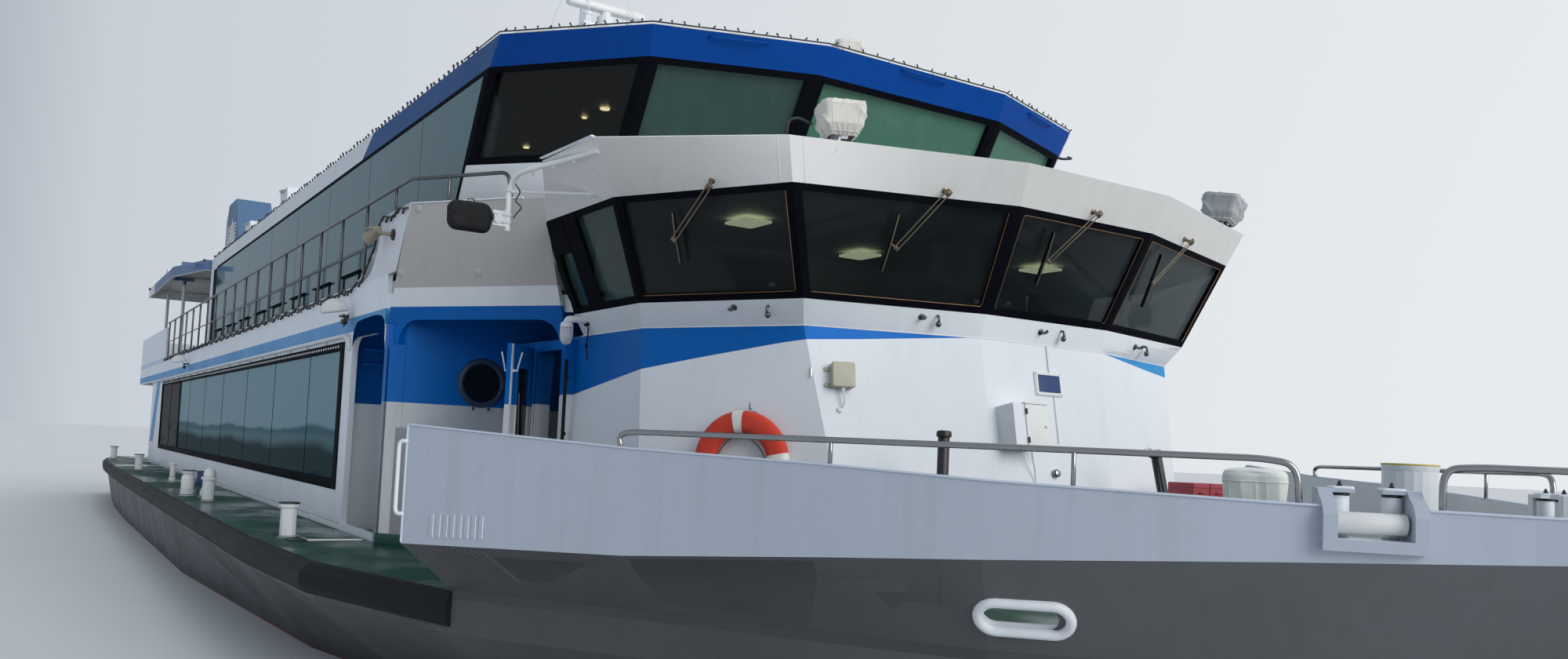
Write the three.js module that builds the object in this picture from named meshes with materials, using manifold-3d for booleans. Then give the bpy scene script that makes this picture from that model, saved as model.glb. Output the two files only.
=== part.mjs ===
// Sightseeing boat: a decked steel hull with a glazed saloon, a faceted wheelhouse tower and an upper
// lounge. Millimetres, +X to the bow, +Y to port, +Z up. The origin is on the centreline at the
// waterline, amidships.
import * as THREE from "three";
import { mergeVertices } from "three/addons/utils/BufferGeometryUtils.js";
import Module from "manifold-3d";

const wasm = await Module();
wasm.setup();

// Driving dimensions.

const GAP = 0.4;
const SIDES = ["starboard", "port"];
const SIDE_SIGN = { starboard: -1, port: 1 };

const DECK_Z = 1080;
const DECK_PLATE = 60;
const HULL_TOP_Z = DECK_Z - DECK_PLATE - GAP;
const SHEER_LOW_Z = 780;
const STERN_X = -18700;

// Hull stations: place along the boat, half widths at deck, waterline and chine, chine and keel heights.
const HULL_STATIONS = [
  { x: STERN_X, deck: 4300, water: 4150, chine: 3700, chineZ: -100, keelZ: -230 },
  { x: -16000, deck: 4650, water: 4500, chine: 4050, chineZ: -190, keelZ: -400 },
  { x: -12500, deck: 4820, water: 4650, chine: 4200, chineZ: -520, keelZ: -850 },
  { x: -8000, deck: 4870, water: 4720, chine: 4250, chineZ: -800, keelZ: -1350 },
  { x: 2000, deck: 4870, water: 4680, chine: 4150, chineZ: -850, keelZ: -1500 },
  { x: 8500, deck: 4850, water: 4250, chine: 3400, chineZ: -780, keelZ: -1500 },
  { x: 10770, deck: 4730, water: 3800, chine: 2800, chineZ: -700, keelZ: -1500 },
  { x: 12730, deck: 4230, water: 3150, chine: 2050, chineZ: -600, keelZ: -1480 },
  { x: 13980, deck: 3390, water: 2450, chine: 1500, chineZ: -520, keelZ: -1420 },
  { x: 15150, deck: 2680, water: 1750, chine: 950, chineZ: -440, keelZ: -1300 },
  { x: 15900, deck: 2200, water: 1280, chine: 620, chineZ: -380, keelZ: -1150 },
  { x: 16850, deck: 1220, water: 640, chine: 280, chineZ: -260, keelZ: -800 },
  { x: 17600, deck: 500, water: 160, chine: 90, chineZ: -60, keelZ: -260 },
];
const STEM_DECK_X = 18150;

// Bulwark stations from its aft end to the stem: top plan, deck plan, knuckle and top heights.
const BULWARK_STATIONS = [
  { x: 12720, y: 4600, deckX: 12730, deckY: 4230, knuckle: 1400, top: 2200 },
  { x: 14160, y: 3660, deckX: 13980, deckY: 3390, knuckle: 1450, top: 2110 },
  { x: 15330, y: 2950, deckX: 15150, deckY: 2680, knuckle: 1550, top: 2070 },
  { x: 16110, y: 2480, deckX: 15900, deckY: 2200, knuckle: 1610, top: 2030 },
  { x: 17130, y: 1470, deckX: 16850, deckY: 1220, knuckle: 1690, top: 1990 },
  { x: 18000, y: 620, deckX: 17600, deckY: 500, knuckle: 1750, top: 1980 },
  { x: 18450, y: 240, deckX: 18010, deckY: 130, knuckle: 1785, top: 1980 },
];
const STEM_STATION = { x: 18600, y: 0, deckX: STEM_DECK_X, deckY: 0, knuckle: 1800, top: 1980 };
const BULWARK_WALL = 50;

// Superstructure.
const SIDE_Y = 3870;
const WALL = 60;
const SIDE_TOP_Z = 3170;
const UPPER_UNDER_Z = 3300;
const UPPER_DECK_Z = 3500;
const CURB_TOP_Z = 3690;
const PARAPET_TOP_Z = 4280;
const HOUSE_AFT_X = -14100;
const UPPER_AFT_X = -18100;
const CORNER_X = 9210;
const CHAMFER_END_X = 11030;
const TOWER_SIDE_Y = 2670;
const CHAMFER_LEAN = 490;
const SALOON_WINDOW = { aft: -11600, fore: 7360, low: 1535, high: 3075 };
const SIDE_PORTAL = { aft: 7750, fore: 9090, low: 1150, high: 3130, radius: 190 };
const FRONT_PORTAL_TOP_Z = 3230;
const LOW_WALL = { length: 560, top: 2190 };

// Wheelhouse levels: height, centre facet place and half width, then the steps aft and outboard of
// the next two facets, and the place of the aft end.
const WHEELHOUSE = {
  base: { z: DECK_Z + GAP, x: 14425, a: 613, dx1: 318, dy1: 1153, dx2: 1518, dy2: 1004, aft: CORNER_X + 60 },
  sill: { z: 3071, x: 14056, a: 666, dx1: 433, dy1: 1349, dx2: 1347, dy2: 656, aft: CORNER_X + 60 },
  windowLow: { z: 3250, x: 14121, a: 669, dx1: 375, dy1: 1436, dx2: 1330, dy2: 670, aft: 11124 },
  windowHigh: { z: 4019, x: 14514, a: 732, dx1: 532, dy1: 1670, dx2: 1398, dy2: 713, aft: 11220 },
  visor: { z: 4312, x: 14640, a: 774, dx1: 560, dy1: 1735, dx2: 1000, dy2: 1000, aft: 12060 },
};

// Lounge levels, with the same columns.
const LOUNGE_AFT_X = -7500;
const LOUNGE = {
  deck: { z: UPPER_DECK_Z + GAP, x: 11140, a: 1089, dx1: 539, dy1: 1391, dx2: 1253, dy2: 990, aft: LOUNGE_AFT_X },
  sill: { z: 4660, x: 11823, a: 1089, dx1: 539, dy1: 1391, dx2: 1253, dy2: 990, aft: LOUNGE_AFT_X },
  head: { z: 5475, x: 12298, a: 1089, dx1: 539, dy1: 1391, dx2: 1253, dy2: 990, aft: LOUNGE_AFT_X },
  roof: { z: 5714, x: 12406, a: 1055, dx1: 529, dy1: 1468, dx2: 1132, dy2: 947, aft: LOUNGE_AFT_X },
};
const LOUNGE_SIDE_SILL_Z = 3800;

// Geometry helpers.

/** A manifold solid of a closed three.js geometry, turned to face outwards. */
function solid(geometry) {
  const bare = new THREE.BufferGeometry();
  const source = geometry.index ? geometry.toNonIndexed() : geometry;
  bare.setAttribute("position", source.getAttribute("position").clone());
  const merged = mergeVertices(bare, 1e-3);
  const build = (flip) => {
    const triVerts = new Uint32Array(merged.index.array);
    for (let i = 0; flip && i < triVerts.length; i += 3) {
      [triVerts[i + 1], triVerts[i + 2]] = [triVerts[i + 2], triVerts[i + 1]];
    }
    return new wasm.Manifold(
      new wasm.Mesh({ numProp: 3, vertProperties: merged.attributes.position.array, triVerts }),
    );
  };
  const made = build(false);
  return made.volume() < 0 ? build(true) : made;
}

/** A three.js geometry of a manifold solid. */
function geometryOf(made) {
  const mesh = made.getMesh();
  const geometry = new THREE.BufferGeometry();
  geometry.setAttribute("position", new THREE.BufferAttribute(new Float32Array(mesh.vertProperties), 3));
  geometry.setIndex(new THREE.BufferAttribute(new Uint32Array(mesh.triVerts), 1));
  const flat = geometry.toNonIndexed();
  flat.computeVertexNormals();
  return flat;
}

/** A solid through rings of points, equal in number, with flat first and last rings. */
function loft(rings, flatten) {
  const count = rings[0].length;
  const points = rings.flat();
  const faces = [];
  for (let r = 0; r + 1 < rings.length; r += 1) {
    for (let i = 0; i < count; i += 1) {
      const a = r * count + i;
      const b = r * count + ((i + 1) % count);
      faces.push([a, b, b + count], [a, b + count, a + count]);
    }
  }
  for (const [start, flip] of [[0, true], [(rings.length - 1) * count, false]]) {
    const contour = points.slice(start, start + count).map(flatten);
    const clockwise = THREE.ShapeUtils.isClockWise(contour);
    if (clockwise) contour.reverse();
    const place = (i) => start + (clockwise ? count - 1 - i : i);
    for (const [a, b, c] of THREE.ShapeUtils.triangulateShape(contour, [])) {
      const face = [place(a), place(b), place(c)];
      faces.push(flip !== clockwise ? face.reverse() : face);
    }
  }
  const geometry = new THREE.BufferGeometry();
  const positions = faces.flat().flatMap((i) => points[i].toArray());
  geometry.setAttribute("position", new THREE.Float32BufferAttribute(positions, 3));
  return solid(geometry);
}

const onPlan = (p) => new THREE.Vector2(p.x, p.y);
const onSection = (p) => new THREE.Vector2(p.y, p.z);

/** A solid between outlines given as [x, y] lists at rising heights. */
function tiers(levels) {
  return loft(levels.map(([z, outline]) => outline.map(([x, y]) => new THREE.Vector3(x, y, z))), onPlan);
}

/** An upright prism on an outline of [x, y] points. */
const prism = (outline, low, high) => tiers([[low, outline], [high, outline]]);

/** A prism along Y on an outline of [x, z] points. */
function sidePrism(outline, from, to) {
  return loft([from, to].map((y) => outline.map(([x, z]) => new THREE.Vector3(x, y, z))), (p) =>
    new THREE.Vector2(p.x, p.z));
}

/** A prism along X on an outline of [y, z] points. */
const acrossPrism = (outline, from, to) => sidePrism(outline, -to, -from).rotate([0, 0, 90]);

/** A box by its low and high corners. */
function box(low, high) {
  const size = high.map((value, i) => value - low[i]);
  const geometry = new THREE.BoxGeometry(...size);
  geometry.translate(...low.map((value, i) => value + size[i] / 2));
  return solid(geometry);
}

/** A round bar between two points. */
function bar(from, to, radius, segments = 8) {
  const a = new THREE.Vector3(...from);
  const b = new THREE.Vector3(...to);
  const geometry = new THREE.CylinderGeometry(radius, radius, a.distanceTo(b), segments);
  const turn = new THREE.Quaternion().setFromUnitVectors(
    new THREE.Vector3(0, 1, 0), b.clone().sub(a).normalize());
  geometry.applyQuaternion(turn);
  geometry.translate(...a.add(b).multiplyScalar(0.5).toArray());
  return solid(geometry);
}

/** A tube through points with rounded bends. */
function tube(points, radius, steps, sides = 8) {
  const path = new THREE.CatmullRomCurve3(points.map((p) => new THREE.Vector3(...p)), false, "centripetal");
  const section = new THREE.Shape();
  for (let i = 0; i < sides; i += 1) {
    const turn = (2 * Math.PI * i) / sides;
    const at = [radius * Math.cos(turn), radius * Math.sin(turn)];
    if (i === 0) section.moveTo(...at);
    else section.lineTo(...at);
  }
  return solid(new THREE.ExtrudeGeometry(section, { steps, bevelEnabled: false, extrudePath: path }));
}

const union = (parts) => parts.reduce((sum, part) => sum.add(part));

/** The outline moved inwards by a distance, edge by edge. */
function inset(outline, distance) {
  const points = outline.map(([x, y]) => new THREE.Vector2(x, y));
  const inward = THREE.ShapeUtils.isClockWise(points) ? -1 : 1;
  return points.map((p, i) => {
    const before = points[(i + points.length - 1) % points.length];
    const after = points[(i + 1) % points.length];
    const u = p.clone().sub(before).normalize();
    const v = after.clone().sub(p).normalize();
    const normalU = new THREE.Vector2(-u.y, u.x);
    const normalV = new THREE.Vector2(-v.y, v.x);
    const middle = normalU.add(normalV);
    const shift = (2 * distance * inward) / middle.lengthSq();
    return [p.x + middle.x * shift, p.y + middle.y * shift];
  });
}

/** The eight-cornered outline of a faceted level, from aft starboard round the front to aft port. */
function facetOutline(level) {
  const steps = [
    [level.x, level.a],
    [level.x - level.dx1, level.a + level.dy1],
    [level.x - level.dx1 - level.dx2, level.a + level.dy1 + level.dy2],
    [level.aft, level.a + level.dy1 + level.dy2],
  ];
  const starboard = steps.map(([x, y]) => [x, -y]).reverse();
  return [...starboard, ...steps];
}

/** The level at a height on the line through two levels. */
function levelAt(a, b, z) {
  const share = (z - a.z) / (b.z - a.z);
  return Object.fromEntries(Object.keys(a).map((key) => [key, a[key] + (b[key] - a[key]) * share]));
}

/** The form through faceted levels moved inwards, and carried on past both ends by an extra height. */
function facetForm(levels, distance, extra = 0) {
  const n = levels.length;
  const below = levelAt(levels[0], levels[1], levels[0].z - extra);
  const above = levelAt(levels[n - 2], levels[n - 1], levels[n - 1].z + extra);
  const all = extra ? [below, ...levels, above] : levels;
  return tiers(all.map((level) => [level.z, inset(facetOutline(level), distance)]));
}

/** A hollow wall through faceted levels. */
const facetShell = (levels, outer, inner) => facetForm(levels, outer).subtract(facetForm(levels, inner, 5));

/** Puts a solid, drawn across, up and out of a face, on a facet near a point. A facet is two triangles
 *  that meet on the line from its lower aft corner, so the share of each in the facing is given: 1 is the
 *  upper triangle, 0 the lower one, and 0.5 rests on their common line. */
function onFacet(low, high, index, upperShare, at, made) {
  const rings = [low, high].map((level) => facetOutline(level).map(([x, y]) => new THREE.Vector3(x, y, level.z)));
  const corner = rings[0][index];
  const [next, across, up] = [rings[0][index + 1], rings[1][index + 1], rings[1][index]].map((p) => p.clone().sub(corner));
  const lower = next.clone().cross(across).normalize();
  const upper = across.clone().cross(up).normalize();
  const out = lower.lerp(upper, upperShare).normalize();
  const level = new THREE.Vector3(0, 0, 1).cross(out).normalize();
  const place = new THREE.Vector3(...at);
  place.addScaledVector(out, -place.clone().sub(corner).dot(out));
  const turn = new THREE.Matrix4().makeBasis(level, out.clone().cross(level), out).setPosition(place);
  return made.transform(turn.elements);
}

/** Points of a rounded corner. */
function arc(cx, cz, radius, fromDegrees, toDegrees, steps = 5) {
  return Array.from({ length: steps + 1 }, (_, i) => {
    const turn = THREE.MathUtils.degToRad(fromDegrees + ((toDegrees - fromDegrees) * i) / steps);
    return [cx + radius * Math.cos(turn), cz + radius * Math.sin(turn)];
  });
}

// Materials.

const PAINTS = {
  hullGrey: { color: 0x45494c, roughness: 0.5, metalness: 0 },
  deckGreen: { color: 0x2c5a4a, roughness: 0.6, metalness: 0 },
  white: { color: 0xe6e9ee, roughness: 0.4, metalness: 0 },
  beige: { color: 0xa8a49f, roughness: 0.5, metalness: 0 },
  blue: { color: 0x1c4f9f, roughness: 0.4, metalness: 0 },
  rubber: { color: 0x17181a, roughness: 0.8, metalness: 0 },
  frameBlack: { color: 0x101215, roughness: 0.4, metalness: 0 },
  glass: { color: 0x35524f, roughness: 0.08, metalness: 0 },
  steel: { color: 0xb9bcbf, roughness: 0.25, metalness: 1 },
  bronze: { color: 0xa07a3c, roughness: 0.35, metalness: 1 },
  orange: { color: 0xe0441c, roughness: 0.6, metalness: 0 },
  red: { color: 0xb8323c, roughness: 0.5, metalness: 0 },
  canvas: { color: 0xd8d8cc, roughness: 0.9, metalness: 0 },
  seatCloth: { color: 0x2f4a6b, roughness: 0.9, metalness: 0 },
  machineGreen: { color: 0x3f5a4f, roughness: 0.5, metalness: 0.2 },
};

const group = new THREE.Group();

/** Adds a named mesh of a solid. */
function add(name, made, paint) {
  const mesh = new THREE.Mesh(geometryOf(made), new THREE.MeshStandardMaterial(PAINTS[paint]));
  mesh.name = name;
  group.add(mesh);
}

/** The same solid on each side: the maker gets the side's sign. */
function addPair(name, make, paint) {
  for (const side of SIDES) add(`${name}_${side}`, make(SIDE_SIGN[side]), paint);
}

/** A solid mirrored to port when the sign is positive; it is drawn on the starboard side. */
const toSide = (made, sign) => (sign < 0 ? made : made.mirror([0, 1, 0]));

// Hull.

const BORE_SIDES = 24;
/** A bore's corner radius that lets a round bar turn with its sides just clear. */
const boreRadius = (radius, sides = BORE_SIDES) => (radius + 0.35) / Math.cos(Math.PI / sides);
const SHAFT = { y: 1900, z: -960, radius: 45, foreX: -11900, tubeAftX: -12400, bracketX: -15350 };
const PROPELLER = { x: -15950, radius: 500, hubRadius: 110, hubLength: 260, blades: 4 };
const RUDDER = { stockX: -17050, stockRadius: 60, chord: 860, thickness: 90, top: -360, bottom: -1420 };
const ENGINE = { foreX: -4300, aftX: -6900, halfWidth: 560, low: -620, high: 780 };

function deckOutline(distance = 0) {
  const half = [...HULL_STATIONS.map((s) => [s.x, s.deck]), [STEM_DECK_X, 0]];
  const port = half.slice(0, -1).map(([x, y]) => [x, y]).reverse();
  const outline = [...half.map(([x, y]) => [x, -y]), ...port];
  return distance ? inset(outline, distance) : outline;
}

function makeHull() {
  const ring = (s) => {
    const half = [[s.chine, s.chineZ], [s.water, 0], [s.deck, SHEER_LOW_Z], [s.deck, HULL_TOP_Z]];
    const points = [[0, s.keelZ], ...half, ...half.map(([y, z]) => [-y, z]).reverse()];
    return points.map(([y, z]) => new THREE.Vector3(s.x, y, z));
  };
  const stemHalf = [560, 640, SHEER_LOW_Z, HULL_TOP_Z].map((z, i) => [4 + i, z]);
  const stemRing = [[0, 500], ...stemHalf, ...stemHalf.map(([y, z]) => [-y, z]).reverse()]
    .map(([y, z]) => new THREE.Vector3(STEM_DECK_X, y, z));
  let hull = loft([...HULL_STATIONS.map(ring), stemRing], onSection);
  for (const sign of [-1, 1]) {
    const y = sign * SHAFT.y;
    const boss = bar([SHAFT.foreX + 1500, y, SHAFT.z], [SHAFT.tubeAftX, y, SHAFT.z], 130, 12);
    const bracketBoss = bar([SHAFT.bracketX - 110, y, SHAFT.z], [SHAFT.bracketX + 110, y, SHAFT.z], 100, 12);
    hull = hull.add(boss).add(bracketBoss);
    for (const reach of [-420, 420]) {
      const arm = bar([SHAFT.bracketX, y, SHAFT.z], [SHAFT.bracketX, y + reach, -200], 36, 8);
      hull = hull.add(arm);
    }
    hull = hull.subtract(bar([SHAFT.foreX, y, SHAFT.z], [SHAFT.bracketX - 200, y, SHAFT.z],
      boreRadius(SHAFT.radius), BORE_SIDES));
    hull = hull.subtract(bar([RUDDER.stockX, y, -900], [RUDDER.stockX, y, 300],
      boreRadius(RUDDER.stockRadius), BORE_SIDES));
    hull = hull.subtract(box([ENGINE.aftX - 200, y - ENGINE.halfWidth - 200, ENGINE.low - GAP],
      [ENGINE.foreX + 200, y + ENGINE.halfWidth + 200, HULL_TOP_Z + 10]));
  }
  return hull;
}

add("hull", makeHull(), "hullGrey");

const BOLLARD_PLACES = [-15400, -7800, 800, 3000, 8650];
// Dark posts on the foredeck: foot and top places.
const FOREDECK_POSTS = [
  { foot: [14620, -1480], top: [14620, -1480, 2300] },
  { foot: [14800, 860], top: [14800, 500, 2240] },
];
const BOARDING_PLATE = { aft: 7850, fore: 8990, near: 3940, far: 4440, thickness: 20 };

function makeMainDeck() {
  let deck = prism(deckOutline(), DECK_Z - DECK_PLATE, DECK_Z);
  for (const x of BOLLARD_PLACES) {
    for (const sign of [-1, 1]) {
      deck = deck.add(bar([x, sign * 4560, DECK_Z - 10], [x, sign * 4560, DECK_Z + 330], 75, 10));
      deck = deck.add(bar([x, sign * 4560, DECK_Z + 300], [x, sign * 4560, DECK_Z + 340], 95, 10));
    }
  }
  const { aft, fore, near, far, thickness } = BOARDING_PLATE;
  const plate = box([aft, -far, DECK_Z - 10], [fore, -near, DECK_Z + thickness]);
  const posts = FOREDECK_POSTS.map(({ foot, top }) => bar([...foot, DECK_Z - 10], top, 40, 12));
  return union([deck, plate, plate.mirror([0, 1, 0]), ...posts]);
}

add("main_deck", makeMainDeck(), "deckGreen");

function makeEngine(sign) {
  return toSide(box([ENGINE.aftX, -SHAFT.y - ENGINE.halfWidth, ENGINE.low],
    [ENGINE.foreX, -SHAFT.y + ENGINE.halfWidth, ENGINE.high]), sign);
}

addPair("engine", makeEngine, "machineGreen");

/** A strip along the hull side from the stern to the fender's forward end, at four offsets. */
function makeFender(sign) {
  const line = HULL_STATIONS.filter((s) => s.x <= 12730).map((s) => [s.x, s.deck]);
  const strip = (distance) => {
    const outer = line.map(([x, y], i) => {
      const before = line[Math.max(i - 1, 0)];
      const after = line[Math.min(i + 1, line.length - 1)];
      const along = new THREE.Vector2(after[0] - before[0], after[1] - before[1]).normalize();
      const taper = i === line.length - 1 ? 0.35 : 1;
      return [x - along.y * distance * taper, y + along.x * distance * taper];
    });
    return [...line.map(([x, y]) => [x, y + 0.6]), ...outer.reverse()].map(([x, y]) => [x, sign * y]);
  };
  return tiers([[830, strip(60)], [900, strip(125)], [1000, strip(125)], [1070, strip(60)]]);
}

addPair("fender", makeFender, "rubber");

// Bow.

/** A band carried from the aft end round the stem to the other aft end, one section per station. */
function bulwarkBand(section) {
  const starboard = BULWARK_STATIONS.map((s) => ({ ...s, side: -1 }));
  const port = BULWARK_STATIONS.map((s) => ({ ...s, side: 1 })).reverse();
  const stations = [...starboard, { ...STEM_STATION, side: 0 }, ...port];
  const rings = stations.map((s, i) => {
    const before = stations[Math.max(i - 1, 0)];
    const after = stations[Math.min(i + 1, stations.length - 1)];
    const y = (p) => p.y * p.side;
    const along = new THREE.Vector2(after.x - before.x, y(after) - y(before)).normalize();
    const inward = new THREE.Vector2(-along.y, along.x);
    return section(s).map(([deckShare, z, depth]) => {
      const x = s.deckX * deckShare + s.x * (1 - deckShare);
      const across = (s.deckY * deckShare + s.y * (1 - deckShare)) * s.side;
      return new THREE.Vector3(x + inward.x * depth, across + inward.y * depth, z);
    });
  });
  return loft(rings, onSection);
}

function makeLowerBulwark() {
  return bulwarkBand((s) => [
    [1, DECK_Z + GAP, 0], [0, s.knuckle, 0], [0, s.knuckle, BULWARK_WALL], [1, DECK_Z + GAP, BULWARK_WALL],
  ]);
}

function makeUpperBulwark() {
  return bulwarkBand((s) => [
    [0, s.knuckle + GAP, 0], [0, s.knuckle + GAP, BULWARK_WALL], [0, s.top, BULWARK_WALL], [0, s.top, 0],
  ]);
}

/** A point on the bulwark's top plan at a place along the boat, with its direction. */
function bulwarkAt(x) {
  const line = [...BULWARK_STATIONS, STEM_STATION];
  const i = Math.max(1, line.findIndex((s) => s.x >= x));
  const [a, b] = [line[i - 1], line[i]];
  const share = (x - a.x) / (b.x - a.x);
  const mix = (key) => a[key] + (b[key] - a[key]) * share;
  const along = new THREE.Vector2(b.x - a.x, b.y - a.y).normalize();
  return { x, y: mix("y"), top: mix("top"), knuckle: mix("knuckle"), along };
}

const CHOCK = { x: 16260, z: 1290, halfLength: 210, halfHeight: 70 };
const FAIRLEAD = { x: 17480, halfLength: 235, notchZ: 1830, roller: 55, rollerHalf: 165 };
const GUIDE = { along: 124, inboard: 160, radius: 46, top: 2060, plate: 20, depth: 212 };

/** A box turned to lie along the bulwark at a place on the starboard side. */
function alongBulwark(place, made) {
  const angle = THREE.MathUtils.radToDeg(Math.atan2(-place.along.y, place.along.x));
  return made.rotate([0, 0, angle]).translate([place.x, -place.y, 0]);
}

const chockPlace = bulwarkAt(CHOCK.x);
const fairleadPlace = bulwarkAt(FAIRLEAD.x);

function chockTool() {
  const { halfLength, halfHeight, z } = CHOCK;
  const straight = halfLength - halfHeight;
  const outline = [...arc(straight, z, halfHeight, -90, 90, 6), ...arc(-straight, z, halfHeight, 90, 270, 6)];
  return alongBulwark(chockPlace, sidePrism(outline, -300, 600));
}

function notchTool() {
  const { halfLength, notchZ } = FAIRLEAD;
  return alongBulwark(fairleadPlace, box([-halfLength, -200, notchZ], [halfLength, 200, 2400]));
}

function fairleadFrame() {
  const { halfLength, notchZ, roller, rollerHalf } = FAIRLEAD;
  const axisZ = notchZ + roller + 25;
  const capZ = GUIDE.top + GUIDE.plate;
  let frame = box([-halfLength - 10, -60, notchZ - 60], [halfLength + 10, GUIDE.depth, notchZ]);
  const cheekOutline = [
    [-60, notchZ - 30], [GUIDE.depth, notchZ - 30], [GUIDE.depth, capZ], [GUIDE.inboard - 70, capZ],
    [GUIDE.inboard - 110, capZ - 35], [-20, capZ - 70], [-60, capZ - 130],
  ];
  for (const end of [-1, 1]) {
    const cheek = [rollerHalf + 12, halfLength + 10].map((x) => x * end).sort((a, b) => a - b);
    const cap = [GUIDE.along - 60, rollerHalf + 14].map((x) => x * end).sort((a, b) => a - b);
    const guide = bar([GUIDE.along * end, GUIDE.inboard, notchZ - 5],
      [GUIDE.along * end, GUIDE.inboard, GUIDE.top + 5], GUIDE.radius, 16);
    frame = frame.add(acrossPrism(cheekOutline, cheek[0], cheek[1])).add(guide)
      .add(box([cap[0], GUIDE.inboard - 70, GUIDE.top], [cap[1], GUIDE.depth, capZ]));
  }
  const pinHole = bar([-halfLength - 20, 45, axisZ], [halfLength + 20, 45, axisZ], boreRadius(16, 12), 12);
  return alongBulwark(fairleadPlace, frame.subtract(pinHole));
}

function makeRoller(sign) {
  const { notchZ, roller, rollerHalf, halfLength } = FAIRLEAD;
  const axisZ = notchZ + roller + 25;
  const drum = bar([-rollerHalf, 45, axisZ], [rollerHalf, 45, axisZ], roller, 16);
  const pin = bar([6 - halfLength, 45, axisZ], [halfLength - 6, 45, axisZ], 16, 12);
  return toSide(alongBulwark(fairleadPlace, drum.add(pin)), sign);
}

function bothSides(made) {
  return made.add(made.mirror([0, 1, 0]));
}

const lowerBulwark = makeLowerBulwark().subtract(bothSides(chockTool()));
add("bulwark_lower", lowerBulwark, "hullGrey");

const upperBulwark = makeUpperBulwark().subtract(bothSides(notchTool())).add(bothSides(fairleadFrame()));
add("bulwark_upper", upperBulwark, "white");
addPair("fairlead_roller", makeRoller, "white");

const RAIL = { z: 2215, inboard: 26, radius: 21, seat: 0.8 };

/** A point of the bow rail above the bulwark's top at a place along the boat. */
function railPoint(x, z, sign) {
  const place = bulwarkAt(x);
  const out = new THREE.Vector2(-place.along.y, place.along.x);
  return [x - out.x * RAIL.inboard, sign * (place.y - out.y * RAIL.inboard), z ?? place.top];
}

function makeBowRail(sign) {
  const xs = [14170, 15330, 16110, 16700];
  const rail = tube([
    railPoint(14120, RAIL.z - 20, sign), ...xs.map((x) => railPoint(x, RAIL.z, sign)),
    railPoint(17060, RAIL.z, sign), railPoint(17180, RAIL.z - 50, sign),
    railPoint(17200, RAIL.z - 130, sign), railPoint(17200, bulwarkAt(17200).top + RAIL.seat, sign),
  ], RAIL.radius, 30, 6);
  const posts = [14300, 15330, 16400].map((x) => {
    const foot = railPoint(x, bulwarkAt(x).top + RAIL.seat, sign);
    return bar(foot, railPoint(x, RAIL.z, sign), 14, 8);
  });
  return union([rail, ...posts]);
}

function makeStemRail() {
  const side = (sign) => [
    railPoint(17790, bulwarkAt(17790).top + RAIL.seat, sign), railPoint(17790, RAIL.z - 130, sign),
    railPoint(17805, RAIL.z - 50, sign), railPoint(17900, RAIL.z, sign), railPoint(18200, RAIL.z, sign),
  ];
  const rail = tube([...side(-1), [18480, 0, RAIL.z], ...side(1).reverse()], RAIL.radius, 40, 6);
  const post = bar([18480, 0, STEM_STATION.top + GAP], [18480, 0, RAIL.z], 14, 8);
  return rail.add(post);
}

addPair("bow_rail", makeBowRail, "steel");
add("bow_rail_stem", makeStemRail(), "steel");

const BITT = { x: 17040, radius: 150, top: 2230 };

function makeBitt() {
  const base = box([BITT.x - 300, -300, DECK_Z + GAP], [BITT.x + 300, 300, DECK_Z + 30]);
  const post = bar([BITT.x, 0, DECK_Z + 10], [BITT.x, 0, BITT.top], BITT.radius, 20);
  const arm = bar([BITT.x, -330, 1800], [BITT.x, 330, 1800], 45, 12);
  return union([base, post, arm]);
}

add("mooring_bitt", makeBitt(), "white");

const WINDLASS = { x: 15950, y: 80, turn: 30 };
// Rings of the cover, from the deck to the crown: height, then half length and half depth.
const WINDLASS_RINGS = [
  [DECK_Z + GAP, 175, 130], [1900, 168, 98], [2090, 186, 108], [2138, 176, 96], [2166, 120, 55],
];

function makeWindlass() {
  const corner = 0.72;
  const signs = [[1, 1], [-1, 1], [-1, -1], [1, -1]];
  const rings = WINDLASS_RINGS.map(([z, length, depth]) => [z, signs.flatMap(([u, v]) => {
    const near = [[u * length, v * depth * corner], [u * length * corner, v * depth]];
    return u * v > 0 ? near : near.reverse();
  })]);
  return tiers(rings).rotate([0, 0, WINDLASS.turn]).translate([WINDLASS.x, WINDLASS.y, 0]);
}

add("windlass_cover", makeWindlass(), "canvas");

const HOSE_BOXES = { low: [14400, 1150], size: [250, 200], gap: 12, top: 2020 };

/** Two boxes side by side on one base plate. */
function makeHoseBoxes() {
  const { low, size, gap, top } = HOSE_BOXES;
  const pair = [0, 1].map((i) => {
    const y = low[1] + i * (size[1] + gap);
    return box([low[0], y, DECK_Z + 20], [low[0] + size[0], y + size[1], top]);
  });
  const base = box([low[0] + 20, low[1] + 20, DECK_Z + GAP],
    [low[0] + size[0] - 20, low[1] + 2 * size[1] + gap - 20, DECK_Z + 60]);
  return union([base, ...pair]);
}

add("hose_boxes", makeHoseBoxes(), "red");

// Main deck house.

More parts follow.
